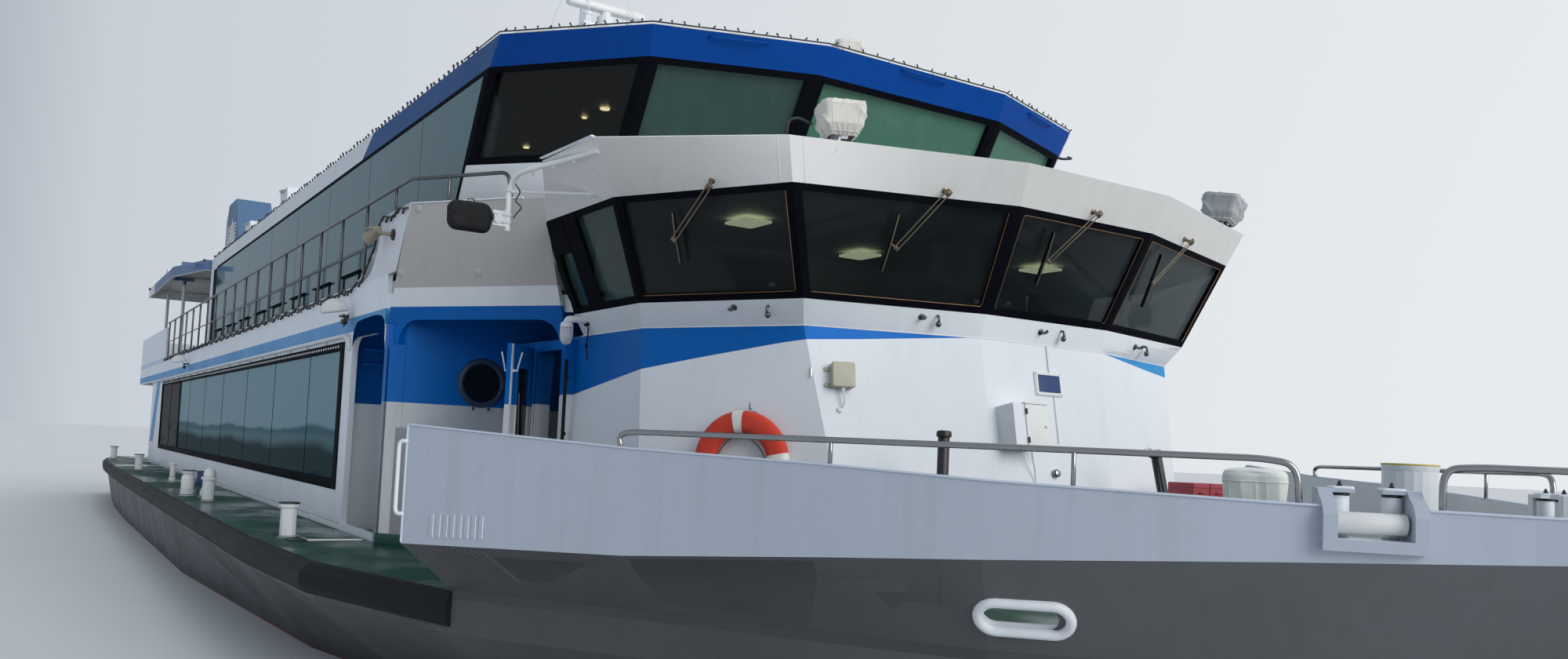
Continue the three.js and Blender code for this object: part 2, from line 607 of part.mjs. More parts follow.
/** The side plate with the saloon window and the boarding portal cut out. */
function makeSaloonSide(sign) {
  const plate = box([HOUSE_AFT_X, -SIDE_Y, DECK_Z + GAP], [CORNER_X - 120, -SIDE_Y + WALL, SIDE_TOP_Z - GAP]);
  const { aft, fore, low, high } = SALOON_WINDOW;
  const window = box([aft, -SIDE_Y - 50, low], [fore, -SIDE_Y + WALL + 50, high]);
  const portal = SIDE_PORTAL;
  const outline = [
    [portal.aft, portal.low], [portal.fore, portal.low],
    ...arc(portal.fore - portal.radius, portal.high - portal.radius, portal.radius, 0, 90),
    ...arc(portal.aft + portal.radius, portal.high - portal.radius, portal.radius, 90, 180),
  ];
  const cut = sidePrism(outline, -SIDE_Y - 50, -SIDE_Y + WALL + 50);
  return toSide(plate.subtract(window).subtract(cut), sign);
}

addPair("saloon_side", makeSaloonSide, "white");

function makeSaloonGlass(sign) {
  const { aft, fore, low, high } = SALOON_WINDOW;
  const pane = box([aft + GAP, -SIDE_Y + 22, low + GAP], [fore - GAP, -SIDE_Y + 34, high - GAP]);
  return toSide(pane, sign);
}

addPair("saloon_glazing", makeSaloonGlass, "glass");

/** Direction of the front corner panel and a point on it, by length along and depth inwards. */
const chamferAlong = new THREE.Vector2(CHAMFER_END_X - CORNER_X, SIDE_Y - TOWER_SIDE_Y).normalize();
const chamferLength = Math.hypot(CHAMFER_END_X - CORNER_X, SIDE_Y - TOWER_SIDE_Y);
const PANEL = { depth: 50, low: -100, length: chamferLength - 130, bracketZ: 3000 };

function chamferPoint(length, depth, shift) {
  const { x, y } = chamferAlong;
  return [CORNER_X + shift + x * length - y * depth, -SIDE_Y + y * length + x * depth];
}

const chamferStrip = (from, to, near, far, shift) => [
  chamferPoint(from, near, shift), chamferPoint(to, near, shift),
  chamferPoint(to, far, shift), chamferPoint(from, far, shift),
];

const PORTHOLE = { y: 2940, z: 2690, radius: 235 };
const LOBBY = { aft: SIDE_PORTAL.aft - 150, depth: 1050 };

/** The bulkhead across the boat in line with the front corner pillars, and the boarding lobbies. */
function makeFrontBulkhead() {
  let wall = box([CORNER_X - 10, -SIDE_Y + WALL + GAP, DECK_Z + GAP],
    [CORNER_X + 50, SIDE_Y - WALL - GAP, UPPER_UNDER_Z - GAP]);
  const inner = -SIDE_Y + WALL + GAP;
  const lobby = box([LOBBY.aft, inner, DECK_Z + GAP], [CORNER_X, inner + LOBBY.depth, UPPER_UNDER_Z - GAP])
    .subtract(box([LOBBY.aft + WALL, inner - 10, DECK_Z - 10],
      [CORNER_X - 10, inner + LOBBY.depth - WALL, UPPER_UNDER_Z + 10]));
  const hole = bar([CORNER_X - 60, -PORTHOLE.y, PORTHOLE.z], [CORNER_X + 90, -PORTHOLE.y, PORTHOLE.z],
    PORTHOLE.radius, 24);
  const passage = box([CORNER_X - 60, -700, DECK_Z + 60], [CORNER_X + 90, 700, 3050]);
  const lobbyDoor = box([8150, inner + LOBBY.depth - WALL - 20, DECK_Z + 60],
    [8950, inner + LOBBY.depth + 20, 3000]);
  const clear = prism(chamferStrip(-400, 600, -300, PANEL.depth + 1, PANEL.low), DECK_Z - 10, 3400)
    .add(box([CORNER_X - 121, -SIDE_Y - 10, DECK_Z - 10], [CORNER_X - 15, -SIDE_Y + 55, 3400]));
  wall = wall.add(bothSides(lobby)).subtract(bothSides(hole)).subtract(passage).subtract(bothSides(lobbyDoor));
  return wall.subtract(bothSides(clear));
}

add("front_bulkhead", makeFrontBulkhead(), "blue");

const LEAF = { thickness: 40, pinRadius: 9, proud: 26 };
const AFT_DOOR = { hingeY: 460, width: 780, low: DECK_Z + 90, high: 3010 };
const TOWER_DOOR = { hingeX: 10300, faceY: 2786, width: 650, low: DECK_Z + 90, high: 2985, open: 40 };
const LOUNGE_DOOR = { hingeY: -420, width: 840, low: UPPER_DECK_Z + 60, high: 5400 };
const leafHeight = (door) => door.high - door.low - 16;

/** A door leaf with a window and a handle: hinge line on the Z axis, closed along +X, wall on +Y. */
function doorLeaf(door) {
  const { thickness, pinRadius } = LEAF;
  const { width } = door;
  const height = leafHeight(door);
  const half = thickness / 2;
  const pane = { low: height * 0.45, high: height * 0.88, edge: width * 0.28 };
  const leaf = box([20, -half, 0], [width - 6, half, height])
    .subtract(box([pane.edge, -half - 5, pane.low], [width - pane.edge, half + 5, pane.high]));
  const glass = box([pane.edge - 10, -5, pane.low - 10], [width - pane.edge + 10, 5, pane.high + 10]);
  const pin = bar([0, 0, 30], [0, 0, height - 30], pinRadius, 12);
  const knuckles = [0.15, 0.5, 0.85].map((share) =>
    box([0, -6, height * share - 60], [30, 6, height * share + 60]));
  const handle = box([width - 160, -half - 45, height * 0.49], [width - 60, -half - 25, height * 0.5])
    .add(box([width - 80, -half - 45, height * 0.49], [width - 60, -half + 5, height * 0.5]));
  return union([leaf, glass, pin, ...knuckles, handle]);
}

/** Two hinge lugs round the leaf's pin, reaching back into the wall on the +Y side. */
function hingeLugs(door) {
  const { pinRadius, proud } = LEAF;
  return union([0.3, 0.7].map((share) => {
    const z = leafHeight(door) * share;
    return bar([0, 0, z - 45], [0, 0, z + 45], 14, 16)
      .add(box([-13, 0, z - 45], [13, proud + 20, z + 45]))
      .subtract(bar([0, 0, z - 60], [0, 0, z + 60], boreRadius(pinRadius, 12), 12));
  }));
}

/** The opening behind a closed leaf. */
function doorOpening(door) {
  const { proud } = LEAF;
  return box([35, proud - 60, 25], [door.width - 35, proud + 250, leafHeight(door) - 25]);
}

const placeAft = (made) => made.rotate([0, 0, -90])
  .translate([HOUSE_AFT_X - LEAF.proud, -AFT_DOOR.hingeY, AFT_DOOR.low + 8]);
const placeTower = (made, turn = 0) => made.rotate([0, 0, turn])
  .translate([TOWER_DOOR.hingeX, -TOWER_DOOR.faceY - LEAF.proud, TOWER_DOOR.low + 8]);
const placeLounge = (made) => made.rotate([0, 0, -90])
  .translate([LOUNGE_AFT_X - LEAF.proud, -LOUNGE_DOOR.hingeY, LOUNGE_DOOR.low + 8]);

function makeAftBulkhead() {
  const wall = box([HOUSE_AFT_X, -SIDE_Y + WALL + GAP, DECK_Z + GAP],
    [HOUSE_AFT_X + WALL, SIDE_Y - WALL - GAP, UPPER_UNDER_Z - GAP]);
  const window = box([HOUSE_AFT_X - 50, -3300, 1800], [HOUSE_AFT_X + 150, -1700, 2900]);
  return wall.subtract(bothSides(window)).subtract(bothSides(placeAft(doorOpening(AFT_DOOR))))
    .add(bothSides(placeAft(hingeLugs(AFT_DOOR))));
}

add("aft_bulkhead", makeAftBulkhead(), "white");

addPair("aft_door", (sign) => toSide(placeAft(doorLeaf(AFT_DOOR)), sign), "white");
addPair("tower_door", (sign) => toSide(placeTower(doorLeaf(TOWER_DOOR), -TOWER_DOOR.open), sign), "white");

// Front corner panels with the portals.

/** The corner: pillar, leaning corner panel, portal beam with rounded corners and the side parapet. */
function makeCornerPanel(sign) {
  const { depth, low } = PANEL;
  const { length } = PANEL;
  const topLength = length - 560;
  const upper = tiers([
    [SIDE_TOP_Z, chamferStrip(0, length, 0, depth, low)],
    [PARAPET_TOP_Z, chamferStrip(0, topLength, 0, depth, CHAMFER_LEAN)],
  ]);
  const beam = prism(chamferStrip(0, length, 0, depth, low), 2950, SIDE_TOP_Z + 20);
  const angle = THREE.MathUtils.radToDeg(Math.atan2(chamferAlong.y, chamferAlong.x));
  const radius = 230;
  const opening = [
    [150, 2900], [length + 20, 2900], [length + 20, PANEL.bracketZ],
    ...arc(length - 40 - radius, FRONT_PORTAL_TOP_Z - radius, radius, 0, 90),
    ...arc(150 + radius, FRONT_PORTAL_TOP_Z - radius, radius, 90, 180),
  ];
  const cut = sidePrism(opening, -400, 500).rotate([0, 0, angle]).translate([CORNER_X + low, -SIDE_Y, 0]);
  const post = box([CORNER_X - 118, -SIDE_Y, DECK_Z + GAP], [CORNER_X - 20, -SIDE_Y + 50, SIDE_TOP_Z + 20]);
  const lowWall = prism(chamferStrip(0, LOW_WALL.length, 0, depth, low), DECK_Z + GAP, LOW_WALL.top);
  const parapet = sidePrism([
    [7700, CURB_TOP_Z + GAP], ...arc(8100, CURB_TOP_Z + 560, 530, -90, -5, 6), [8640, PARAPET_TOP_Z - 20],
    [8700, PARAPET_TOP_Z], [CORNER_X + CHAMFER_LEAN, PARAPET_TOP_Z], [CORNER_X + 100, CURB_TOP_Z + GAP],
  ], -SIDE_Y, -SIDE_Y + depth);
  const sideClear = box([9000, -SIDE_Y - 10, DECK_Z - 10], [CORNER_X - 118, -SIDE_Y + 200, SIDE_TOP_Z + 20]);
  return toSide(union([upper, beam, post, lowWall, parapet]).subtract(cut).subtract(sideClear), sign);
}

addPair("corner_panel", makeCornerPanel, "beige");

/** A low wall round the stern and along both sides, from a forward place, at a setback. */
function sternWall(foreX, setback, thickness, low, high) {
  const side = SIDE_Y - setback;
  const aft = UPPER_AFT_X + setback;
  const outline = [
    [foreX, -side], [aft, -side], [aft, side], [foreX, side],
    [foreX, side - thickness], [aft + thickness, side - thickness],
    [aft + thickness, thickness - side], [foreX, thickness - side],
  ];
  return prism(outline, low, high);
}

/** The upper deck: floor, side fascia down to the gutter, curb and the solid aft bulwarks. */
function makeUpperDeck() {
  const edge = 52;
  const foreX = CHAMFER_END_X - 60;
  const setback = 3;
  const outline = [
    [UPPER_AFT_X + setback, setback - SIDE_Y], [CORNER_X - 190, setback - SIDE_Y],
    [CORNER_X - 60, -SIDE_Y + edge + 25], [foreX, -TOWER_SIDE_Y + edge], [foreX, TOWER_SIDE_Y - edge],
    [CORNER_X - 60, SIDE_Y - edge - 25], [CORNER_X - 190, SIDE_Y - setback],
    [UPPER_AFT_X + setback, SIDE_Y - setback],
  ];
  return union([
    prism(outline, UPPER_UNDER_Z, UPPER_DECK_Z),
    sternWall(CORNER_X - 180, 0, 50, SIDE_TOP_Z, CURB_TOP_Z),
    sternWall(-11650, setback, 44, CURB_TOP_Z - 10, 4450),
  ]);
}

add("upper_deck", makeUpperDeck(), "white");

// Wheelhouse tower.

const CABINET = { at: [14150, -455, 2370], depth: 190 };
const SIGN = { at: [14115, 12, 2757], depth: 14 };
const JUNCTION_BOX = { at: [13770, -1763, 2700], depth: 86 };
const LIFE_RING = { at: [13180, -2235, 2030], inner: 215, outer: 385, depth: 105, bevel: 32 };

function makeTower() {
  const { base, sill, windowLow } = WHEELHOUSE;
  let tower = facetShell([base, sill], 0, WALL);
  tower = tower.add(facetShell([{ ...sill, aft: windowLow.aft }, { ...windowLow, z: windowLow.z - GAP }], 0, WALL));
  const aftCut = box([CORNER_X, -2600, DECK_Z - 10], [CORNER_X + 200, 2600, 3200]);
  const { hingeX, width, faceY, low, high } = TOWER_DOOR;
  const casing = box([hingeX - 60, -faceY, low - 50], [hingeX + width + 50, -2640, high + 50])
    .add(placeTower(hingeLugs(TOWER_DOOR)))
    .subtract(prism(chamferStrip(1200, PANEL.length + GAP, -GAP, PANEL.depth + GAP, PANEL.low),
      PANEL.bracketZ - GAP, 3200));
  const door = placeTower(doorOpening(TOWER_DOOR));
  const rearSill = box([11080, -2600, 3050], [11190, 2600, 3300]);
  tower = tower.add(bothSides(casing)).subtract(aftCut).subtract(bothSides(door)).subtract(rearSill);
  const cabinet = onFacet(base, sill, 3, 1, CABINET.at, box([-118, -172, -5], [118, 172, CABINET.depth]));
  const sign = onFacet(base, sill, 3, 1, SIGN.at, box([-145, -95, -5], [145, 95, SIGN.depth]));
  return union([tower, cabinet, sign]);
}

add("tower", makeTower(), "white");

/** A ring with a flat back and a rounded section. */
function makeLifeRing() {
  const { inner, outer, depth, at, bevel } = LIFE_RING;
  const section = [
    [inner, depth - bevel], [inner, bevel], [inner + bevel, 0], [outer - bevel, 0], [outer, bevel],
    [outer, depth - bevel], [outer - bevel, depth], [inner + bevel, depth], [inner, depth - bevel],
  ].map(([radius, height]) => new THREE.Vector2(radius, height));
  const ring = solid(new THREE.LatheGeometry(section, 40)).rotate([90, 0, 0]);
  return onFacet(WHEELHOUSE.base, WHEELHOUSE.sill, 1, 0.5, at, ring.translate([0, 0, GAP]));
}

const makeJunctionBox = () => onFacet(WHEELHOUSE.base, WHEELHOUSE.sill, 2, 1, JUNCTION_BOX.at,
  box([-85, -92, GAP], [85, 92, JUNCTION_BOX.depth]));

add("life_ring", makeLifeRing(), "orange");
add("junction_box", makeJunctionBox(), "beige");

const FRAME_DEPTH = 40;

/** Cuts a window in each facet between two levels, leaving frame bars at the corners. */
function facetWindows(low, high, barWidth, railWidth) {
  const rings = [low, high].map((level) => facetOutline(level).map(([x, y]) => new THREE.Vector3(x, y, level.z)));
  const tools = [];
  for (let i = 0; i < 7; i += 1) {
    const corners = [rings[0][i], rings[0][i + 1], rings[1][i + 1], rings[1][i]];
    const width = corners[0].distanceTo(corners[1]);
    const height = Math.abs(corners[3].z - corners[0].z);
    const across = barWidth / width;
    const up = railWidth / height;
    const blend = (u, v) => {
      const lower = corners[0].clone().lerp(corners[1], u);
      const upper = corners[3].clone().lerp(corners[2], u);
      return lower.lerp(upper, v);
    };
    const face = [blend(across, up), blend(1 - across, up), blend(1 - across, 1 - up), blend(across, 1 - up)];
    const normal = face[1].clone().sub(face[0]).cross(face[3].clone().sub(face[0])).normalize();
    const push = (distance) => face.map((p) => p.clone().addScaledVector(normal, distance));
    const { x, y, z } = normal;
    const flatten = Math.abs(x) > Math.abs(y) ? (p) => new THREE.Vector2(p.y, p.z) : (p) => new THREE.Vector2(p.x, p.z);
    if (Math.abs(z) > 2) throw new Error("a window lies flat");
    tools.push(loft([push(-160), push(160)], flatten));
  }
  return tools;
}

/** The open back of the windows, behind which the lounge stands. */
const wheelhouseRear = (grow) => box([10900, -2650 - grow, 3200], [11310 + grow, 2650 + grow, 4100]);

function makeWheelhouseFrame() {
  const { windowLow, windowHigh } = WHEELHOUSE;
  let frame = facetShell([windowLow, { ...windowHigh, z: windowHigh.z - GAP }], 0, FRAME_DEPTH);
  for (const tool of facetWindows(windowLow, windowHigh, 55, 50)) frame = frame.subtract(tool);
  return frame.subtract(wheelhouseRear(0));
}

function makeWheelhouseGlass() {
  const { windowLow, windowHigh } = WHEELHOUSE;
  const glass = facetShell([windowLow, { ...windowHigh, z: windowHigh.z - GAP }], FRAME_DEPTH + GAP, FRAME_DEPTH + 12);
  return glass.subtract(wheelhouseRear(30));
}

add("wheelhouse_window_frame", makeWheelhouseFrame(), "frameBlack");
add("wheelhouse_glazing", makeWheelhouseGlass(), "glass");

/** The lounge's outer form, grown by a margin, as a tool that keeps its neighbours clear. */
function loungeForm(grow) {
  const levels = [LOUNGE.deck, LOUNGE.sill, LOUNGE.head];
  return tiers(levels.map((level, i) => [level.z - (i === 0 ? 50 : 0), inset(facetOutline(level), -grow)]));
}

const MIRROR = { x: 11700, armY: -3630, top: 4250, foot: 3800, near: -3760, far: -4115, low: 3725, high: 4025 };

/** The mirror's arm: a bent tube from the visor, a strut and a clamp. */
function makeMirrorArm() {
  const { x, armY, top, foot, near } = MIRROR;
  const arm = tube([
    [12960, -3425, top], [12500, -3495, top], [12000, armY + 45, top], [11800, armY + 14, top - 20],
    [x, armY, top - 110], [x, armY, top - 250], [x, armY, foot],
  ], 22, 30, 8);
  const strut = bar([x, armY, top - 130], [12345, -3165, 4069], 12, 8);
  const clamp = box([x - 16, near + GAP, 3830], [x + 16, armY, 3950]);
  return union([arm, strut, clamp]);
}

function makeMirror(sign) {
  const { x, near, far, low, high } = MIRROR;
  const round = 70;
  const outline = [
    ...arc(near - round, high - round, round, 0, 90, 3), ...arc(far + round, high - round, round, 90, 180, 3),
    ...arc(far + round, low + round, round, 180, 270, 3), ...arc(near - round, low + round, round, 270, 360, 3),
  ];
  return toSide(acrossPrism(outline, x - 75, x + 65), sign);
}

/** The visor band round the windows' heads, the roof behind it and the wall under it. */
function makeWheelhouseRoof() {
  const { windowHigh, visor } = WHEELHOUSE;
  const rim = facetShell([windowHigh, visor], 0, WALL);
  const slabLow = inset(facetOutline(windowHigh), 20);
  const slab = prism(slabLow, windowHigh.z, windowHigh.z + 90);
  const back = box([11060, -2700, UPPER_DECK_Z + GAP], [11115, 2700, windowHigh.z + 60]);
  const wing = prism([[11060, -3050], [11230, -3050], [11230, 3050], [11060, 3050]], windowHigh.z, windowHigh.z + 90);
  return union([rim, slab, back, wing]).subtract(loungeForm(1)).add(bothSides(makeMirrorArm()));
}

add("wheelhouse_roof", makeWheelhouseRoof(), "white");
addPair("mirror", makeMirror, "rubber");

// Covered searchlights: the places of the stand and the cover, the foot and cover heights, the half width.
const SEARCHLIGHTS = {
  bridge: { x: 13970, y: -2110, ahead: 150, foot: WHEELHOUSE.windowHigh.z + 90, low: 4350, high: 4700, half: 175 },
  lounge: { x: 11900, y: -490, ahead: 0, foot: LOUNGE.roof.z, low: 5790, high: 6015, half: 140 },
};

/** A stand with a cloth-covered lamp on it: the cover widens upwards to its lid. */
function makeSearchlight({ x, y, ahead, foot, low, high, half }) {
  const ring = (z, size) => [z, [[-1, -1], [1, -1], [1, 1], [-1, 1]].map(([u, v]) => [u * size, v * size])];
  const cover = tiers([ring(low, half * 0.6), ring(low + (high - low) * 0.3, half * 0.92),
    ring(high - 50, half), ring(high, half * 0.84)]);
  const plate = box([x - 50, y - 90, foot + GAP], [x + 50, y + 90, foot + 40]);
  const stand = bar([x, y, foot + 30], [x + ahead * 0.6, y, low + 90], 45, 12);
  return union([cover.rotate([0, 0, -20]).translate([x + ahead, y, 0]), plate, stand]);
}

addPair("bridge_searchlight", (sign) => toSide(makeSearchlight(SEARCHLIGHTS.bridge), sign), "canvas");
add("roof_searchlight", makeSearchlight(SEARCHLIGHTS.lounge), "canvas");

/** Floor, console and two helm chairs. */
function makeConsole() {
  const floor = facetForm([WHEELHOUSE.base, WHEELHOUSE.sill], WALL + GAP)
    .intersect(box([11200, -4000, 2050], [15000, 4000, 2090]));
  const desk = box([12700, -1500, 2080], [13350, 1500, 2950]);
  const chairs = [-700, 700].flatMap((y) => [
    bar([12150, y, 2080], [12150, y, 2550], 60, 10),
    box([11900, y - 260, 2530], [12380, y + 260, 2650]),
    box([11850, y - 250, 2640], [11950, y + 250, 3250]),
  ]);
  return union([floor, desk, ...chairs]);
}

add("wheelhouse_console", makeConsole(), "frameBlack");

// Upper lounge.

/** The lean line of the lounge's front corner: place along the boat at a height. */
const cornerX = (z) => {
  const { sill, head } = LOUNGE;
  const slope = (head.x - sill.x) / (head.z - sill.z);
  return sill.x - sill.dx1 - sill.dx2 + slope * (z - sill.z);
};

function loungeWallRegion(grow) {
  const low = LOUNGE_SIDE_SILL_Z + grow;
  const high = LOUNGE.sill.z + grow;
  return sidePrism([
    [LOUNGE_AFT_X - 100, 3400], [LOUNGE_AFT_X - 100, low], [cornerX(low) - 20 - grow, low],
    [cornerX(high) - 20 - grow, high], [13000, high], [13000, 3400],
  ], -4000, 4000);
}

const loungeShell = facetShell([LOUNGE.deck, LOUNGE.sill, { ...LOUNGE.head, z: LOUNGE.head.z - GAP }], 0, WALL);

function makeLoungeWall() {
  const aftBand = box([LOUNGE_AFT_X - 10, -4000, 3400], [LOUNGE_AFT_X + 900, 4000, 5600]);
  const region = loungeWallRegion(0).add(aftBand);
  return loungeShell.intersect(region).subtract(placeLounge(doorOpening(LOUNGE_DOOR)))
    .add(placeLounge(hingeLugs(LOUNGE_DOOR)));
}

const LOUNGE_BAYS = 11;

function makeLoungeFrame() {
  let frame = loungeShell.subtract(loungeWallRegion(GAP));
  frame = frame.subtract(box([LOUNGE_AFT_X - 10, -4000, 3400], [LOUNGE_AFT_X + 900 + GAP, 4000, 5600]));
  for (const tool of facetWindows(LOUNGE.sill, LOUNGE.head, 90, 55).slice(1, 6)) frame = frame.subtract(tool);
  const aft = LOUNGE_AFT_X + 1000;
  const fore = cornerX(LOUNGE_SIDE_SILL_Z) - 60;
  const pitch = (fore - aft) / LOUNGE_BAYS;
  const low = LOUNGE_SIDE_SILL_Z + 40;
  const high = LOUNGE.head.z - 50;
  for (let i = 0; i < LOUNGE_BAYS; i += 1) {
    const from = aft + pitch * i + 20;
    const to = aft + pitch * (i + 1) - 20;
    const last = i === LOUNGE_BAYS - 1;
    const topTo = last ? cornerX(high) - 80 : to;
    const lowTo = last ? cornerX(low) - 80 : to;
    frame = frame.subtract(sidePrism([[from, low], [lowTo, low], [topTo, high], [from, high]], -4000, 4000));
  }
  return frame;
}

function makeLoungeGlass() {
  const low = { ...LOUNGE.deck, z: LOUNGE_SIDE_SILL_Z - 60 };
  const share = (low.z - LOUNGE.deck.z) / (LOUNGE.sill.z - LOUNGE.deck.z);
  low.x = LOUNGE.deck.x + (LOUNGE.sill.x - LOUNGE.deck.x) * share;
  const glass = facetShell([low, LOUNGE.sill, { ...LOUNGE.head, z: LOUNGE.head.z - GAP }], WALL + GAP, WALL + 11);
  return glass.subtract(box([LOUNGE_AFT_X - 10, -4000, 3400], [LOUNGE_AFT_X + 850, 4000, 5600]));
}

add("lounge_wall", makeLoungeWall(), "white");
add("lounge_window_frame", makeLoungeFrame(), "frameBlack");
add("lounge_glazing", makeLoungeGlass(), "glass");

add("lounge_door", placeLounge(doorLeaf(LOUNGE_DOOR)), "white");

const BAND_END = { lowX: 5490, highX: 6750 };

function bandRegion(grow) {
  return sidePrism([
    [BAND_END.lowX - grow, 5300], [BAND_END.highX - grow, 5900], [14000, 5900], [14000, 5300],
  ], -5000, 5000);
}

const FUNNEL = { x: -6300, y: 2950, half: [850, 330], top: 6850 };
const ROOF_VENTS = [{ x: -4300, y: 3000 }, { x: -300, y: 3050 }];

function makeRoofBand() {
  const { head, roof } = LOUNGE;
  return facetShell([head, roof], 0, WALL).intersect(bandRegion(0));
}

function makeLoungeRoof() {
  const levels = [LOUNGE.head, LOUNGE.roof];
  const clear = facetForm(levels, -10, 5).subtract(facetForm(levels, WALL + GAP, 10)).intersect(bandRegion(GAP));
  return facetForm(levels, 0).subtract(clear);
}

function makeRoofVent({ x, y }) {
  const top = 6120;
  return [-1, 1].map((sign) => tiers([
    [LOUNGE.roof.z - 10, [[x - 260, sign * y - 240], [x + 260, sign * y - 240], [x + 260, sign * y + 240],
      [x - 260, sign * y + 240]]],
    [top, [[x - 300, sign * y - 270], [x + 340, sign * y - 270], [x + 340, sign * y + 270], [x - 300, sign * y + 270]]],
  ]));
}

add("roof_band", makeRoofBand(), "blue");
add("lounge_roof", union([makeLoungeRoof(), ...ROOF_VENTS.flatMap(makeRoofVent)]), "white");

function makeFunnel(sign) {
  const { x, y, half, top } = FUNNEL;
  const profile = [
    [x - half[0], LOUNGE.roof.z + GAP], [x + half[0] + 200, LOUNGE.roof.z + GAP],
    [x + half[0] - 250, top - 200], [x + half[0] - 450, top], [x - half[0] + 250, top],
    [x - half[0], top - 350],
  ];
  return toSide(sidePrism(profile, -y - half[1], -y + half[1]), sign);
}

addPair("funnel", makeFunnel, "white");

const MAST = { x: 4300, height: 10400, footZ: LOUNGE.roof.z + GAP };
const RADAR = { x: MAST.x + 760, baseZ: 8330, halfLength: 600, halfDepth: 85 };

function makeMast() {
  const pole = bar([MAST.x, 0, MAST.footZ], [MAST.x, 0, MAST.height], 90, 16);
  const base = box([MAST.x - 350, -350, MAST.footZ], [MAST.x + 350, 350, MAST.footZ + 40]);
  const platform = box([MAST.x - 80, -420, 8080], [RADAR.x + 200, 420, 8120]);
  const legs = [-1, 1].map((sign) => bar([MAST.x - 1300, sign * 700, MAST.footZ + 75], [MAST.x, 0, 8100], 50, 10));
  const feet = [-1, 1].map((sign) => box([MAST.x - 1480, sign * 700 - 160, MAST.footZ],
    [MAST.x - 1120, sign * 700 + 160, MAST.footZ + 90]));
  const yard = bar([MAST.x, -1300, 9300], [MAST.x, 1300, 9300], 35, 10);
  const whip = bar([MAST.x, 0, MAST.height - 5], [MAST.x, 0, MAST.height + 900], 18, 8);
  const pedestal = bar([RADAR.x, 0, 8110], [RADAR.x, 0, RADAR.baseZ], 130, 16);
  return union([pole, base, platform, ...legs, ...feet, yard, whip, pedestal]);
}

function makeScanner() {
  const { x, baseZ, halfLength, halfDepth } = RADAR;
  const arm = box([x - halfDepth, -halfLength, baseZ + 70], [x + halfDepth, halfLength, baseZ + 190]);
  const hub = bar([x, 0, baseZ + GAP], [x, 0, baseZ + 80], 80, 16);
  return arm.add(hub);
}

add("mast", makeMast(), "white");
add("radar_scanner", makeScanner(), "white");

const CANOPY = { fore: -7560, aft: -15400, halfFore: 3580, half: 4020, low: 5480, high: 5714, poleX: -14900 };

function makeCanopy() {
  const { fore, aft, halfFore, half, low, high } = CANOPY;
  const outline = [
    [aft, -half], [-9600, -half], [fore, -halfFore], [fore, halfFore], [-9600, half], [aft, half],
  ];
  const top = prism(outline, low, high).subtract(prism(inset(outline, 60), low - 10, high - 50));
  const poles = [];
  for (const x of [CANOPY.poleX, -11200]) {
    for (const sign of [-1, 1]) {
      poles.push(bar([x, sign * 3600, UPPER_DECK_Z + GAP], [x, sign * 3600, high - 40], 38, 10));
    }
  }
  const beams = [CANOPY.poleX, -11200, -8200].map((x) => box([x - 40, -half + 30, high - 130],
    [x + 40, half - 30, high - 30]));
  const lamps = [-1, 1].flatMap((sign) => [
    bar([-13100, sign * 3650, high - 5], [-13100, sign * 3650, high + 110], 40, 10),
    box([-13320, sign * 3650 - 180, high + 100], [-12880, sign * 3650 + 180, high + 330]),
  ]);
  return union([top, ...poles, ...beams, ...lamps]);
}

add("aft_canopy", makeCanopy(), "white");

// Railings.

const PROMENADE = { aft: -11600, fore: 8100, pitch: 820, topZ: 4550, midZ: 4070, inset: 25 };

function makePromenadeRail(sign) {
  const { aft, fore, topZ, midZ } = PROMENADE;
  const y = -SIDE_Y + PROMENADE.inset;
  const turn = [9560, y, topZ];
  const end = [10760, -3080, topZ];
  const count = Math.round((fore - aft) / PROMENADE.pitch);
  const parts = Array.from({ length: count + 1 }, (_, i) => {
    const x = aft + 60 + ((fore - 560 - aft) * i) / count;
    return bar([x, y, CURB_TOP_Z + GAP], [x, y, topZ], 17, 6);
  });
  parts.push(bar([aft + 40, y, topZ], turn, 24, 8), bar(turn, end, 24, 8));
  parts.push(bar([aft + 40, y, midZ], [7900, y, midZ], 19, 6));
  for (const [x, postY] of [[8900, y], [9760, -3720], [10700, -3130]]) {
    parts.push(bar([x, postY, PARAPET_TOP_Z + GAP], [x, postY, topZ], 17, 6));
  }
  return toSide(union(parts), sign);
}

addPair("promenade_rail", makePromenadeRail, "steel");

// Underwater gear.

function makePropeller(sign) {
  const { x, radius, hubRadius, hubLength, blades } = PROPELLER;
  const parts = [
    bar([x - hubLength / 2, 0, 0], [x + hubLength / 2, 0, 0], hubRadius, 16),
    bar([x, 0, 0], [SHAFT.foreX - 60, 0, 0], SHAFT.radius, BORE_SIDES),
  ];
  const sections = [[70, 60, 16, 55], [220, 150, 12, 38], [380, 150, 9, 27], [radius, 70, 6, 20]];
  const blade = loft(sections.map(([out, half, thick, pitch]) => {
    const turn = THREE.MathUtils.degToRad(pitch);
    return [[-half, -thick], [half, -thick], [half, thick], [-half, thick]].map(([u, v]) => new THREE.Vector3(
      x + u * Math.sin(turn) + v * Math.cos(turn), u * Math.cos(turn) - v * Math.sin(turn), out));
  }), (p) => new THREE.Vector2(p.x, p.y));
  for (let i = 0; i < blades; i += 1) parts.push(blade.rotate([(360 * i) / blades + 17, 0, 0]));
  return toSide(union(parts).translate([0, -SHAFT.y, SHAFT.z]), sign);
}

